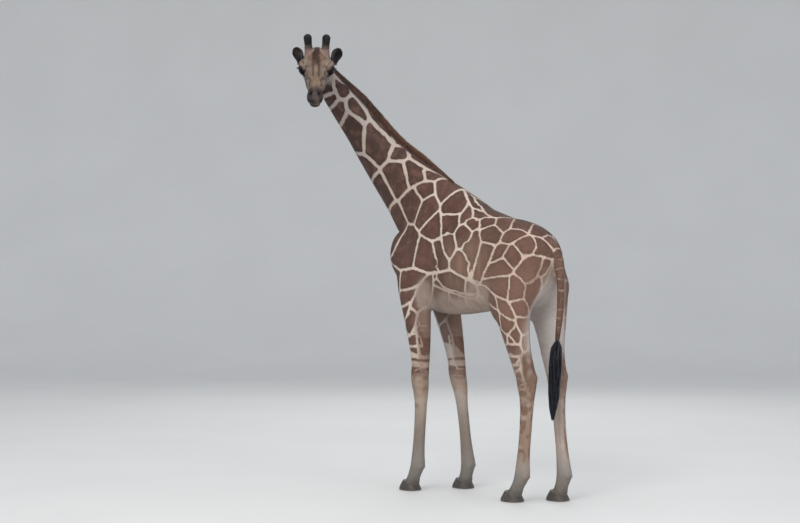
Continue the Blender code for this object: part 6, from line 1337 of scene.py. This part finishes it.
def hair_material(name, root, mid, tip, rough=0.45, tint=None, spec=0.5):
    """Hair whose colour runs from root to tip, with each strand a little lighter or darker than the next."""
    m = Mat(name, mid, rough, spec)
    t, r = m.attr("tip"), m.attr("strand")
    c = m.mix(m.range(t, 0.0, 0.45), tuple(root), tuple(mid))
    c = m.mix(m.range(t, 0.55, 1.0), c, tuple(tip))
    if tint is not None:
        c = m.mix(m.range(m.noise(16.0, 3.0), 0.40, 0.70, 0.0, 0.65), c, tuple(tint))
    v = m.math("MULTIPLY", m.math("MULTIPLY_ADD", r, 0.7, 0.62), m.math("MULTIPLY_ADD", m.noise(240.0, 2.0), 0.4, 0.8))
    m.b.inputs["Sheen Weight"].default_value = 0.10
    return m.done(m.shade(c, v), m.math("MULTIPLY_ADD", r, 0.2, rough - 0.1), m.bump(m.noise(1500.0, 1.0), 0.3, 0.0003))

def tube_piece(name, loops, mat, replaces=()):
    """A closed loft through rings of points, with its ends closed by fans."""
    loops = np.asarray(loops)
    r, k = loops.shape[:2]
    v = np.concatenate([loops.reshape(-1, 3), loops[0].mean(0)[None], loops[-1].mean(0)[None]])
    i, j = np.meshgrid(np.arange(r - 1), np.arange(k), indexing="ij")
    a, b = i*k + j, i*k + (j + 1) % k
    quads = np.stack([a, b, b + k, a + k], -1).reshape(-1, 4)
    j = np.arange(k)
    caps = np.concatenate([np.stack([np.full(k, r*k), (j + 1) % k, j], 1), np.stack([np.full(k, r*k + 1), (r - 1)*k + j, (r - 1)*k + (j + 1) % k], 1)])
    ob = mesh_piece(name, v, [quads, caps], mat)
    bm = bmesh.new(); bm.from_mesh(ob.data)
    bmesh.ops.recalc_face_normals(bm, faces=bm.faces)
    bm.to_mesh(ob.data); bm.free()
    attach(ob, "root")
    if replaces:
        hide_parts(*replaces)
    return ob

# ================================================================ mane
MANE_MAT = hair_material("mane_hair", lin(104, 66, 52), lin(66, 44, 38), lin(84, 58, 46), 0.5, lin(112, 70, 52))
MANE_MAT2 = hair_material("mane_hair_low", lin(112, 72, 56), lin(78, 52, 42), lin(138, 98, 74), 0.5, lin(120, 78, 58))
MANE_HIGH = 0.053
def crest_line(count=90):
    line = NECK_LINE
    us = np.linspace(0.17, 0.935, count)*(len(line.c) - 1)
    c, d = line.at(line.c, us), line.at(line.up, us)
    d = d/np.linalg.norm(d, axis=1)[:, None]
    r = np.linspace(0, 0.55, 45)
    P = c[:, None] + r[None, :, None]*d[:, None]
    val = FIELD(P.reshape(-1, 3)).reshape(count, 45)
    k = np.argmax(val > 0, axis=1)
    a, b = r[np.maximum(k - 1, 0)], r[k]
    for _ in range(9):
        m = 0.5*(a + b)
        out = FIELD(c + m[:, None]*d) > 0
        b = np.where(out, m, b); a = np.where(out, a, m)
    return c + a[:, None]*d, d
crest_p, crest_d = crest_line()
crest_t = np.linspace(0, 1, len(crest_p))
crest_tan = np.gradient(crest_p, axis=0); crest_tan /= np.linalg.norm(crest_tan, axis=1)[:, None]
crest_side = np.cross(crest_d, crest_tan); crest_side /= np.linalg.norm(crest_side, axis=1)[:, None]
crest_up = np.cross(crest_tan, crest_side)
def on_crest(t):
    return [curve(crest_t, a)(t) for a in (crest_p, crest_side, crest_up, crest_tan)]
def mane_high(t):
    return 0.005 + MANE_HIGH*np.minimum(np.minimum(1.0, 0.25 + t*3.2), 0.16 + (1 - t)*3.2)

def make_mane():
    rng = np.random.default_rng(21)
    # the dense foot of the crest, which the hairs stand in
    t = np.linspace(0.0, 1.0, 120)
    p, s, u, g = on_crest(t)
    h = mane_high(t)*0.66*np.where((t < 0.01) | (t > 0.99), 0.3, 1.0)
    prof = [(-1, -0.010, 0), (-0.95, 0.0, 0.25), (-0.62, 0, 0.72), (-0.25, 0, 0.97), (0.25, 0, 0.97), (0.62, 0, 0.72), (0.95, 0.0, 0.25), (1, -0.010, 0), (0, -0.016, 0)]
    wob = 0.0012*np.sin(t*170)[:, None]
    loops = np.stack([p + s*(0.0125*x) + u*(lo + hi*h)[:, None] + s*wob*hi for x, lo, hi in prof], 1)
    ob = tube_piece("mane_foot", loops, MANE_MAT, ("mane",))
    n = len(ob.data.vertices)
    put(ob, "tip", np.full(n, 0.35)); put(ob, "strand", np.full(n, 0.3))
    count = 11000
    t = np.clip(rng.uniform(-0.004, 1.004, count), 0, 1)
    p, s, u, g = on_crest(t)
    x = rng.triangular(-0.0155, 0, 0.0155, count)
    clump = np.round(t*260 + rng.normal(0, 0.22, count))/260        # hairs stand in small sheaves
    h = mane_high(t)*rng.uniform(0.78, 1.0, count)*(1 - 0.35*(np.abs(x)/0.0155)**2)*(1 + 0.05*np.sin(clump*900))
    root = p + s*x[:, None] - u*(0.006 + np.abs(x)*0.25)[:, None]
    lean = (clump - t)*0.9 + rng.normal(0, 0.0035, count) - 0.006     # along the neck, a little toward the body
    k = 5
    w = np.linspace(0, 1, k)
    splay = x*0.15 + rng.normal(0, 0.0022, count)
    pts = root[:, None] + u[:, None]*((h + 0.006)[:, None]*w[None])[..., None] + g[:, None]*((lean*1.6)[:, None]*(w**2)[None])[..., None] + s[:, None]*(splay[:, None]*(w**1.5)[None])[..., None]
    a = rng.uniform(0, np.pi, count)
    wide = s*np.cos(a)[:, None]*0.55 + g*np.sin(a)[:, None]; wide /= np.linalg.norm(wide, axis=1)[:, None]
    half = np.array([0.0016, 0.0017, 0.0014, 0.0009])[None]*rng.uniform(0.7, 1.25, count)[:, None]
    low = t < 0.60
    uv = np.stack([t, (x + 0.016)/0.032], 1)
    for name, m, mat in (("mane_upper", ~low, MANE_MAT), ("mane_lower", low, MANE_MAT2)):
        strand_piece(name, pts[m], wide[m], half[m], mat, uv[m])
make_mane()

# ================================================================ tail tuft
# the tuft's black hair has a blue cast in its colour: painted sheen
TUFT_MAT = hair_material("tail_tuft_hair", lin(18, 20, 28), lin(8, 14, 28), lin(12, 20, 38), 0.34, None, 0.45)
TUFT_AXIS = np.array([(1.315, -0.992, 0.018, 0.026), (1.27, -0.987, 0.022, 0.042), (1.18, -0.980, 0.027, 0.052), (1.04, -0.973, 0.030, 0.054), (0.90, -0.966, 0.030, 0.050),
                      (0.80, -0.960, 0.030, 0.040), (0.72, -0.955, 0.030, 0.028), (0.645, -0.952, 0.030, 0.010)])
tuft_at = curve(-TUFT_AXIS[:, 0], TUFT_AXIS[:, 1:])
def make_tuft():
    rng = np.random.default_rng(5)
    z = np.linspace(1.30, 0.80, 14)
    q = np.linspace(0, 2*np.pi, 14, endpoint=False)
    loops = []
    for k, zz in enumerate(z):
        f, w, r = tuft_at(np.array(-zz))
        r = r*0.55*(1.0 if 0 < k < 13 else 0.4)
        rr = r*(1 + 0.12*np.sin(q*4 + zz*30))
        loops.append(np.stack([w + rr*0.85*np.sin(q), -(f + rr*np.cos(q)), np.full(14, zz)], 1))
    ob = tube_piece("tail_tuft_core", loops, TUFT_MAT, ("tail_tuft",))
    n = len(ob.data.vertices)
    put(ob, "tip", np.full(n, 0.4)); put(ob, "strand", np.full(n, 0.2))
    count = 3200
    k = 11
    t = np.linspace(0, 1, k)
    top = 1.312 - rng.uniform(0, 1, count)**1.6*0.30
    end = np.clip(0.655 + rng.exponential(0.10, count), 0.655, 1.0)
    end = np.minimum(end, top - 0.18)
    zz = top[:, None] + (end - top)[:, None]*t[None]
    phi = rng.uniform(0, 2*np.pi, count)
    rho = np.sqrt(rng.uniform(0.05, 1.0, count))*0.97
    lock = rng.integers(0, 26, count)                       # the hair gathers in locks toward the end
    lphi = (lock*2.399) % (2*np.pi)
    lrho = 0.35 + 0.6*((lock*0.618) % 1.0)
    g = np.clip((1.18 - zz)/0.50, 0, 1)**1.3*0.80
    cx = rho[:, None]*np.cos(phi)[:, None]*(1 - g) + lrho[:, None]*np.cos(lphi)[:, None]*g
    cy = rho[:, None]*np.sin(phi)[:, None]*(1 - g) + lrho[:, None]*np.sin(lphi)[:, None]*g
    wav = 0.26*np.sin(zz*24 + lock[:, None]*1.7)*np.clip((1.15 - zz)/0.3, 0, 1)
    cx, cy = cx + wav*np.cos(lock)[:, None], cy + wav*np.sin(lock)[:, None]
    rr = np.maximum(np.sqrt(cx*cx + cy*cy), 1e-6); lim = np.minimum(1.0, 0.99/rr)
    cx, cy = cx*lim, cy*lim
    ax = tuft_at(-zz.ravel()).reshape(count, k, 3)
    start = np.clip((top[:, None] - zz)/0.05, 0, 1)         # each hair starts near the tail's flesh
    f = ax[..., 0] + ax[..., 2]*cx*(0.35 + 0.65*start)
    w = ax[..., 1] + ax[..., 2]*0.85*cy*(0.35 + 0.65*start)
    pts = np.stack([w, -f, zz], -1)
    a = rng.uniform(0, np.pi, count)
    wide = np.stack([np.cos(a), np.sin(a), np.zeros(count)], 1)
    prof = np.array([0.7, 1.0, 1.1, 1.15, 1.1, 1.05, 1.0, 0.85, 0.65, 0.4])*0.0019
    half = prof[None]*rng.uniform(0.7, 1.3, count)[:, None]
    uv = np.stack([phi/(2*np.pi), (top - 1.0)/0.32], 1)
    strand_piece("tail_tuft_hair", pts, wide, half, TUFT_MAT, uv)
make_tuft()
lap("mane and tuft")

# ================================================================ eyes
def eye_material():
    m = Mat("giraffe_eye", lin(40, 24, 16), 0.08, 0.20)
    ex, ey = m.attr("ex"), m.attr("ey")
    r = m.math("SQRT", m.math("ADD", m.math("MULTIPLY", ex, ex), m.math("MULTIPLY", ey, ey)))
    ux, uy = m.math("MULTIPLY", ex, 1/0.0108), m.math("MULTIPLY", ey, 1/0.0060)
    pup = m.math("SQRT", m.math("ADD", m.math("MULTIPLY", ux, ux), m.math("MULTIPLY", uy, uy)))
    ang = m.math("ARCTAN2", ey, ex)
    comb = m.t.nodes.new("ShaderNodeCombineXYZ")
    m.link(m.math("MULTIPLY", ang, 9.0), comb.inputs[0]); m.link(m.math("MULTIPLY", r, 90.0), comb.inputs[1])
    ray = m.noise(1.6, 4.0, 0.7, comb.outputs[0])
    iris = m.mix(m.range(ray, 0.3, 0.7), tuple(lin(58, 32, 18)), tuple(lin(30, 17, 11)))
    iris = m.mix(m.range(r, 0.0135, 0.0178), iris, tuple(lin(14, 9, 8)))
    white = m.mix(m.range(m.noise(320.0, 3.0), 0.4, 0.7), tuple(lin(40, 30, 27)), tuple(lin(26, 18, 17)))
    c = m.mix(m.range(r, 0.0172, 0.0192), iris, white)
    c = m.mix(m.range(pup, 1.08, 0.92), c, tuple(lin(6, 7, 14)))
    m.b.inputs["Coat Weight"].default_value = 0.22
    m.b.inputs["Coat Roughness"].default_value = 0.03
    m.b.inputs["IOR"].default_value = 1.38
    return m.done(c, m.range(m.noise(60.0, 2.0), 0.3, 0.8, 0.06, 0.12), None)
EYE_MAT = eye_material()
GAZE = {}
def make_eyes():
    for s, side in ((1, "left"), (-1, "right")):
        c = from_head((EYE[0], s*EYE[1], EYE[2]))
        g = unit(HEAD_R@np.array([0.56, s*0.80, 0.18]))
        ahead = HEAD_R@np.array([0.82, -s*0.56, -0.10])
        right = unit(ahead - g*(g@ahead))
        up = np.cross(g, right); up = up if up@HEAD_R[:, 2] > 0 else -up
        GAZE[s] = (c, g, right, up)
        rows, cols = 40, 48
        th = np.linspace(0, np.pi, rows + 1)[1:-1]
        R = EYE_R - 0.0006
        bulge = 0.0022*np.clip(1 - (th/np.radians(46))**2, 0, 1)**1.2     # cornea
        rad = R - 0.0022 + bulge
        ph = np.linspace(0, 2*np.pi, cols, endpoint=False)
        x = (rad*np.sin(th))[:, None]*np.cos(ph)[None]; y = (rad*np.sin(th))[:, None]*np.sin(ph)[None]; z = np.repeat((rad*np.cos(th))[:, None], cols, 1)
        P = c + x[..., None]*right + y[..., None]*up + z[..., None]*g
        v = np.concatenate([P.reshape(-1, 3), (c + g*(R))[None], (c - g*(R - 0.0022))[None]])
        i, j = np.meshgrid(np.arange(rows - 2), np.arange(cols), indexing="ij")
        a, b = i*cols + j, i*cols + (j + 1) % cols
        quads = np.stack([a, a + cols, b + cols, b], -1).reshape(-1, 4)
        j = np.arange(cols); n = (rows - 1)*cols
        caps = np.concatenate([np.stack([np.full(cols, n), j, (j + 1) % cols], 1), np.stack([np.full(cols, n + 1), (rows - 2)*cols + (j + 1) % cols, (rows - 2)*cols + j], 1)])
        ob = mesh_piece("eyeball_" + side, v, [quads, caps], EYE_MAT)
        bm = bmesh.new(); bm.from_mesh(ob.data); bmesh.ops.recalc_face_normals(bm, faces=bm.faces); bm.to_mesh(ob.data); bm.free()
        ex, ey = (v - c)@right, (v - c)@up
        back = (v - c)@g < 0
        put(ob, "ex", np.where(back, 0.03, ex)); put(ob, "ey", ey)
        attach(ob, "root"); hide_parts("eye_" + side)
make_eyes()

LASH_MAT = hair_material("eyelash_hair", lin(12, 10, 11), lin(9, 8, 9), lin(12, 10, 11), 0.85, None, 0.08)
def first_hit(P, d, far=0.05, steps=26):
    """From far out, back along d to the skin."""
    r = np.linspace(far, -0.01, steps)
    val = FIELD((P[:, None] + d[:, None]*r[None, :, None]).reshape(-1, 3)).reshape(len(P), steps)
    k = np.argmax(val < 0, axis=1)
    k = np.where(val.min(1) < 0, np.maximum(k, 1), steps - 1)
    a, b = r[k - 1], r[k]
    for _ in range(6):
        m = 0.5*(a + b)
        inn = FIELD(P + d*m[:, None]) < 0
        b = np.where(inn, m, b); a = np.where(inn, a, m)
    return P + d*a[:, None]

def make_lashes():
    rng = np.random.default_rng(9)
    for s, side in ((1, "left"), (-1, "right")):
        c, g, right, up = GAZE[s]
        o = from_head((EYE[0] + 0.014, s*(EYE[1] + 0.013), EYE[2] + 0.003))
        fwd = unit(HEAD_R@np.array([1, -s*0.50, -0.20])); fwd -= g*(fwd@g); fwd = unit(fwd)
        upw = unit(np.cross(g, fwd)); upw = upw if upw@HEAD_R[:, 2] > 0 else -upw
        roots, dirs, lens = [], [], []
        for lid, n, lo, hi, L in ((1, 420, 6, 176, 0.031), (-1, 90, 25, 155, 0.012)):
            th = np.radians(rng.uniform(lo, hi, n))
            base = o + fwd*(0.0320*np.cos(th))[:, None] + upw*(lid*0.0250*np.sin(th))[:, None]
            roots.append(base); lens.append(L*rng.uniform(0.7, 1.05, n)*(0.65 + 0.35*np.sin(th)))
            out = g*0.80 + (fwd*np.cos(th)[:, None]*0.35 + upw*(lid*np.sin(th))[:, None]*0.42)
            dirs.append(out/np.linalg.norm(out, axis=1)[:, None])
        base, dirs, lens = np.concatenate(roots), np.concatenate(dirs), np.concatenate(lens)
        root = first_hit(base, np.repeat(g[None], len(base), 0)) - g*0.0012
        k = 6
        w = np.linspace(0, 1, k)
        droop = -upw*0.38*np.where(np.arange(len(base)) < 420, 1, -0.4)[:, None]
        pts = root[:, None] + dirs[:, None]*(lens[:, None]*w[None])[..., None] + droop[:, None]*(lens[:, None]*(w**2)[None])[..., None] + rng.normal(0, 0.0006, (len(base), 1, 3))*w[None, :, None]
        wide = across(dirs, np.repeat(upw[None], len(base), 0))
        half = np.array([0.00095, 0.0009, 0.0008, 0.00065, 0.0004])[None]*np.ones((len(base), 1))
        uv = np.stack([rng.uniform(0.1, 0.9, len(base)), rng.uniform(0.1, 0.9, len(base))], 1)
        strand_piece("eyelashes_" + side, pts, wide, half, LASH_MAT, uv)
make_lashes()
lap("eyes")

# ================================================================ hooves
def hoof_material():
    m = Mat("hoof_horn", lin(62, 56, 52), 0.5, 0.45)
    sep = m.t.nodes.new("ShaderNodeSeparateXYZ"); m.link(m.co, sep.inputs[0])
    z = m.math("ADD", sep.outputs[2], m.math("MULTIPLY", m.noise(18.0, 2.0), 0.010))
    ring = m.math("SINE", m.math("MULTIPLY", z, 900.0))
    streak = m.noise(1.0, 4.0, 0.65, m.scale(m.co, (260.0, 260.0, 16.0)))
    c = m.mix(m.range(streak, 0.35, 0.7), tuple(lin(76, 68, 62)), tuple(lin(50, 45, 43)))
    c = m.mix(m.range(ring, 0.2, 1.0, 0.0, 0.30), c, tuple(lin(98, 88, 80)))
    c = m.mix(m.range(z, 0.020, 0.004, 0.0, 0.75), c, tuple(lin(120, 108, 94)))         # dust and wear at the ground
    c = m.mix(m.range(m.noise(34.0, 4.0), 0.5, 0.75, 0.0, 0.4), c, tuple(lin(112, 100, 88)))
    n = m.bump(streak, 0.35, 0.0006)
    n = m.bump(ring, 0.35, 0.0005, n)
    return m.done(c, m.range(streak, 0.3, 0.8, 0.42, 0.66), n)
HOOF_MAT = hoof_material()
FEET = {"fore_left": (0.425, 0.205), "fore_right": (0.181, -0.200), "hind_left": (-0.655, 0.162), "hind_right": (-0.893, -0.128)}
CLAW = curve(np.array([0.0, 0.20, 0.65, 1.0]), np.array([(0.108, 0.080, 0.076), (0.105, 0.081, 0.077), (0.083, 0.074, 0.070), (0.066, 0.064, 0.064)]))
def make_hooves():
    slope = 0.042/0.130
    for key, (f0, w0) in FEET.items():
        for side in (1, -1):
            outer = (side > 0) == key.endswith("left")
            name = "hoof_" + key + ("_outer" if outer else "_inner")
            loops = []
            levels = np.concatenate([[0.0, 0.03], np.linspace(0.08, 0.97, 15), [1.0]])
            a = np.linspace(0, np.pi, 25)
            x, y = np.cos(a), np.sin(a)
            for t in levels:
                front, back, wide = CLAW(np.array(t))
                inset = 0.0006 + (0.0016 if t in (0.0, 1.0) else 0.0) + 0.0005*(0.5 + 0.5*math.sin(t*60))
                fx = np.where(x > 0, front - inset, back - inset)*np.sign(x)*np.abs(x)**0.90
                wy = 0.003 + inset + (wide - 0.003 - 2*inset)*np.abs(y)**0.66
                k = np.linspace(0, 1, 8)[1:-1]
                fx2 = -back*0.98 + (front*0.97 + back*0.98)*k
                fx = np.concatenate([fx, fx2]); wy = np.concatenate([wy, np.full(6, 0.003 + inset*0.6)])
                z = t*(0.046 + slope*(fx + 0.064)) + (0.0004 if t == 0 else 0)
                loops.append(np.stack([w0 + side*wy, -(f0 + fx), z], 1))
            tube_piece(name + "_horn", loops, HOOF_MAT, (name,))
make_hooves()
lap("hooves")


# ================================================================ short coat
def sample_skin(count, weight):
    """Roots spread over the skin in proportion to weight (per face): the corners and the shares of the corners."""
    rng = np.random.default_rng(77)
    f = skin_f
    tri = np.concatenate([f[:, [0, 1, 2]], f[:, [0, 2, 3]]])
    w2 = np.concatenate([weight, weight])
    a, b, c = (skin_v[tri[:, i]] for i in range(3))
    area = 0.5*np.linalg.norm(np.cross(b - a, c - a), axis=1)*w2
    cum = np.cumsum(area); cum /= cum[-1]
    pick = np.searchsorted(cum, (np.arange(count) + rng.uniform(0, 1, count))/count)
    pick = np.clip(pick, 0, len(tri) - 1)
    r1, r2 = np.sqrt(rng.uniform(0, 1, count)), rng.uniform(0, 1, count)
    bary = np.stack([1 - r1, r1*(1 - r2), r1*r2], 1)
    return tri[pick], bary

def make_coat():
    rng = np.random.default_rng(31)
    fc = skin_f
    head = place.head[fc].mean(1)
    ear = place.ear_on[fc].any(1)
    oss = place.oss_on[fc].any(1) & (place.oss_x[fc].mean(1) > 0.1)
    leg = place.leg[fc].max(1) >= 0
    z = place.z[fc].mean(1)
    inside = np.zeros(len(fc), bool)
    c = skin_v[fc].mean(1)
    for s in (1, -1):
        e = from_head((EYE[0], s*EYE[1], EYE[2]))
        inside |= np.linalg.norm(c - e, axis=1) < EYE_R + 0.0035
    inside |= gloss[fc].mean(1) > 0.35
    inside |= z < 0.075
    weight = 1.0 + 1.9*head + 1.3*(leg & (z < 1.3)) + 2.4*ear + 1.6*oss
    weight = np.where(inside, 0, weight)
    count = 335000
    tri, bary = sample_skin(count, weight)
    def at(arr):
        return (arr[tri]*(bary[..., None] if arr.ndim == 2 else bary)).sum(1)
    P, N = at(skin_v), at(skin_n)
    N /= np.linalg.norm(N, axis=1)[:, None] + 1e-9
    near = tri[np.arange(count), bary.argmax(1)]
    hd, nk = at(place.head), at(place.neck)
    f, w, z = -P[:, 1], P[:, 0], P[:, 2]
    q = to_head(P)
    is_ear, is_oss = place.ear_on[near], place.oss_on[near] & (place.oss_x[near] > 0.1)
    legi = place.leg[near]; tail = place.tail[near]
    # the lie of the coat
    d = np.tile([0.0, 1.0, -0.38], (count, 1))
    d = blend(d, (0.0, 0.25, -1.0), step(0.25, 0.50, f)*(1 - nk))
    d = blend(d, (0.0, 0.45, -1.0), step(-0.55, -0.80, f))
    d = blend(d, (0.0, 0.12, -1.0), np.where(legi >= 0, step(1.65, 1.35, z), 0))
    d = blend(d, -place.neck_tan[near], nk)
    d = blend(d, np.tile(HEAD_R[:, 0], (count, 1)), hd)
    d[tail] = (0, 0.05, -1)
    for s in (1, -1):
        m = is_ear & (np.sign(q[:, 1]) == s)
        d[m] = ear_frame(s)[1] - ear_frame(s)[0]
        m = is_oss & (np.sign(q[:, 1]) == s)
        d[m] = from_head(H(OSS_TIP[0], s*OSS_TIP[1], OSS_TIP[2])) - from_head(H(OSS_BASE[0], s*OSS_BASE[1], OSS_BASE[2]))
    d += 0.16*np.linalg.norm(d, axis=1)[:, None]*noise_vec(P, 0.05, 81)
    d -= N*(d*N).sum(1)[:, None]
    d /= np.linalg.norm(d, axis=1)[:, None] + 1e-9
    side = np.cross(d, N)
    turn = rng.normal(0, 0.16, count)
    d = d*np.cos(turn)[:, None] + side*np.sin(turn)[:, None]
    side = np.cross(d, N)
    foot = np.where(legi >= 0, step(0.55, 0.15, z), 0)
    long = 0.0135 - 0.0015*nk - 0.0035*np.where(legi >= 0, step(1.35, 0.9, z), 0) - 0.0025*foot
    long = long*(1 - hd) + hd*(0.0060 + 0.0035*step(0.10, 0.0, q[:, 0]) + 0.0025*step(-0.06, -0.10, q[:, 2]))
    long = np.where(is_ear, 0.0085, long)
    long = np.where(is_oss, 0.0080 + 0.0050*step(0.6, 1.0, place.oss_x[near]), long)
    long = long*rng.uniform(0.75, 1.2, count)
    high = np.clip(long*0.15, 0.0006, 0.0018)*rng.uniform(0.6, 1.4, count)
    pts = np.stack([P - N*0.0006, P + d*(long*0.48)[:, None] + N*(high*0.85)[:, None], P + d*long[:, None] + N*high[:, None]], 1)
    half = np.stack([long*0.085 + 0.0002, long*0.105 + 0.0001], 1)*rng.uniform(0.8, 1.25, count)[:, None]
    attrs = {"ground": at(ground), "patch": at(patch), "net": at(skin_d), "tone": skin_t[near], "show": at(show)}
    # charts of the skin, one for each piece
    ang = np.arctan2(w, z - 1.95)/(2*np.pi) + 0.5
    qa = np.arctan2(q[:, 1], q[:, 2] + 0.01)/(2*np.pi) + 0.5
    na = np.arctan2(place.neck_x[near], place.neck_y[near])/(2*np.pi) + 0.5
    la = place.leg_a[near]/(2*np.pi) + 0.5
    piece = np.full(count, -1)
    names = []
    def take(name, m, u, v, slot):
        m = m & (piece < 0)
        piece[m] = len(names)
        names.append((name, m, u, v, slot))
    fine_part = is_ear | is_oss
    part = (q[:, 1] > 0)*1 + is_oss*2
    along_part = np.where(is_ear, place.ear_x[near], place.oss_x[near])
    round_part = np.where(is_ear, np.arctan2(place.ear_y[near], place.ear_face[near])/(2*np.pi) + 0.5, np.arctan2(q[:, 0] - 0.1, np.abs(q[:, 1]) - 0.072)/(2*np.pi) + 0.5)
    take("coat_ears_ossicones", fine_part, (part + np.clip(round_part, 0, 1)*0.96)/4, np.clip(along_part*0.9 + 0.05, 0, 1), "ear_coat")
    take("coat_head", hd > 0.5, qa, np.clip((q[:, 0] + 0.15)/0.80, 0, 1), "face_coat")
    take("coat_tail", tail, np.arctan2(w, f + 1.0)/(2*np.pi) + 0.5, np.clip((z - 1.2)/0.85, 0, 1), "coat")
    for i, k in enumerate(("fore_left", "fore_right", "hind_left", "hind_right")):
        take("coat_leg_" + k, (legi == i) & (z < 1.45), la, np.clip(z/1.5, 0, 1), "leg_coat")
    un = np.clip(place.neck_u[near], 0, 1)
    take("coat_neck_upper", (nk > 0.5) & (un > 0.52), na, (un - 0.5)*2, "coat")
    take("coat_neck_lower", (nk > 0.5), na, un*1.8, "coat")
    for s, nm in ((1, "left"), (-1, "right")):
        for lo, hi, nn in ((-0.10, 9, "front"), (-9, -0.10, "rear")):
            take("coat_trunk_%s_%s" % (nn, nm), (np.sign(w) == s) & (f > lo) & (f <= hi), np.clip((f + 1.15)/0.6 if nn == "rear" else (f + 0.15)/0.9, 0, 1), ang, "coat")
    total = 0
    for name, m, u, v, slot in names:
        if not m.any():
            continue
        strand_piece(name, pts[m], side[m], half[m], COAT_MAT, np.stack([u[m], v[m]], 1), [(k, a[m]) for k, a in attrs.items()])
        total += 3*int(m.sum())
        if 3*m.sum() > 195000:
            print("piece over its share:", name, 3*int(m.sum()))
    lap("coat, %d triangles" % total)
make_coat()


# ================================================================ floor, light and camera
def floor():
    m = Mat("studio_floor", (0.8, 0.79, 0.77), 0.75, 0.3)
    c = m.mix(m.range(m.noise(0.6, 4.0), 0.35, 0.7, 0.0, 0.5), (0.66, 0.655, 0.64), (0.70, 0.695, 0.68))
    c = m.shade(c, m.math("MULTIPLY_ADD", m.noise(60.0, 3.0), 0.05, 0.975))
    mat = m.done(c, None, m.bump(m.noise(180.0, 2.0), 0.08, 0.0008))
    bm = bmesh.new()
    # a floor that curves up into a far wall, seen from the camera's side
    a = math.radians(133.2)
    fwd = Vector((-0.7314, -0.6820, 0)); side = Vector((-0.6820, 0.7314, 0))
    rows = []
    prof = [(-30, 0.0), (0, 0.0), (16, 0.0)] + [(16 + 9*math.sin(t), 9 - 9*math.cos(t)) for t in np.linspace(0.1, math.pi/2, 14)] + [(25, 30.0)]
    for d, z in prof:
        rows.append([bm.verts.new(fwd*d + side*s + Vector((0, 0, z))) for s in (-45, -20, 0, 20, 45)])
    for p, q in zip(rows, rows[1:]):
        for i in range(4):
            bm.faces.new((p[i], p[i + 1], q[i + 1], q[i]))
    bmesh.ops.recalc_face_normals(bm, faces=bm.faces)
    me = bpy.data.meshes.new("studio_floor"); bm.to_mesh(me); bm.free()
    me.materials.append(mat)
    me.polygons.foreach_set("use_smooth", [True]*len(me.polygons))
    ob = bpy.data.objects.new("studio_floor", me)
    ob.location = (0, 0, -0.0005)
    bpy.context.scene.collection.objects.link(ob)
floor()

def area(name, at, to, size, power, colour):
    L = bpy.data.lights.new(name, "AREA")
    L.shape = "RECTANGLE"; L.size, L.size_y = size
    L.energy = power; L.color = colour
    ob = bpy.data.objects.new(name, L)
    ob.location = at
    ob.rotation_euler = (Vector(to) - Vector(at)).to_track_quat("-Z", "Y").to_euler()
    bpy.context.scene.collection.objects.link(ob)

area("key", (9.0, 3.5, 9.0), (0, 0, 1.8), (6, 6), 620, (1.0, 0.975, 0.94))
area("fill", (1.5, 12.0, 5.0), (0, 0, 1.8), (7, 6), 260, (0.93, 0.96, 1.0))
area("top", (0.0, 0.5, 10.5), (0, 0, 1.8), (8, 8), 170, (1.0, 0.99, 0.97))
area("far", (-8.0, -6.0, 7.0), (0, 0, 1.8), (6, 6), 210, (0.96, 0.98, 1.0))
world = bpy.data.worlds.new("studio")
bpy.context.scene.world = world
world.use_nodes = True
bg = world.node_tree.nodes.get("Background") or world.node_tree.nodes.new("ShaderNodeBackground")
bg.inputs["Color"].default_value = (0.86, 0.90, 0.96, 1)
bg.inputs["Strength"].default_value = 0.80
scene = bpy.context.scene
scene.view_settings.view_transform = "Standard"
scene.view_settings.look = "None"
scene.view_settings.exposure = 0.0
scene.view_settings.gamma = 1.0

cam_data = bpy.data.cameras.new("photo_view")
cam_data.sensor_width = 36.0
cam_data.lens = 1666.0*36.0/800.0
cam_data.shift_y = (270.0 - 261.5)/800.0
cam_data.clip_end = 200.0
cam = bpy.data.objects.new("photo_view", cam_data)
cam.location = Vector((10.612, 9.149, 1.866)) + Vector(CENTRE)
cam.rotation_euler = Vector((-0.7314, -0.6820, 0.0)).to_track_quat("-Z", "Y").to_euler()
scene.collection.objects.link(cam)
scene.camera = cam

bpy.context.view_layer.update()
lap("stage")
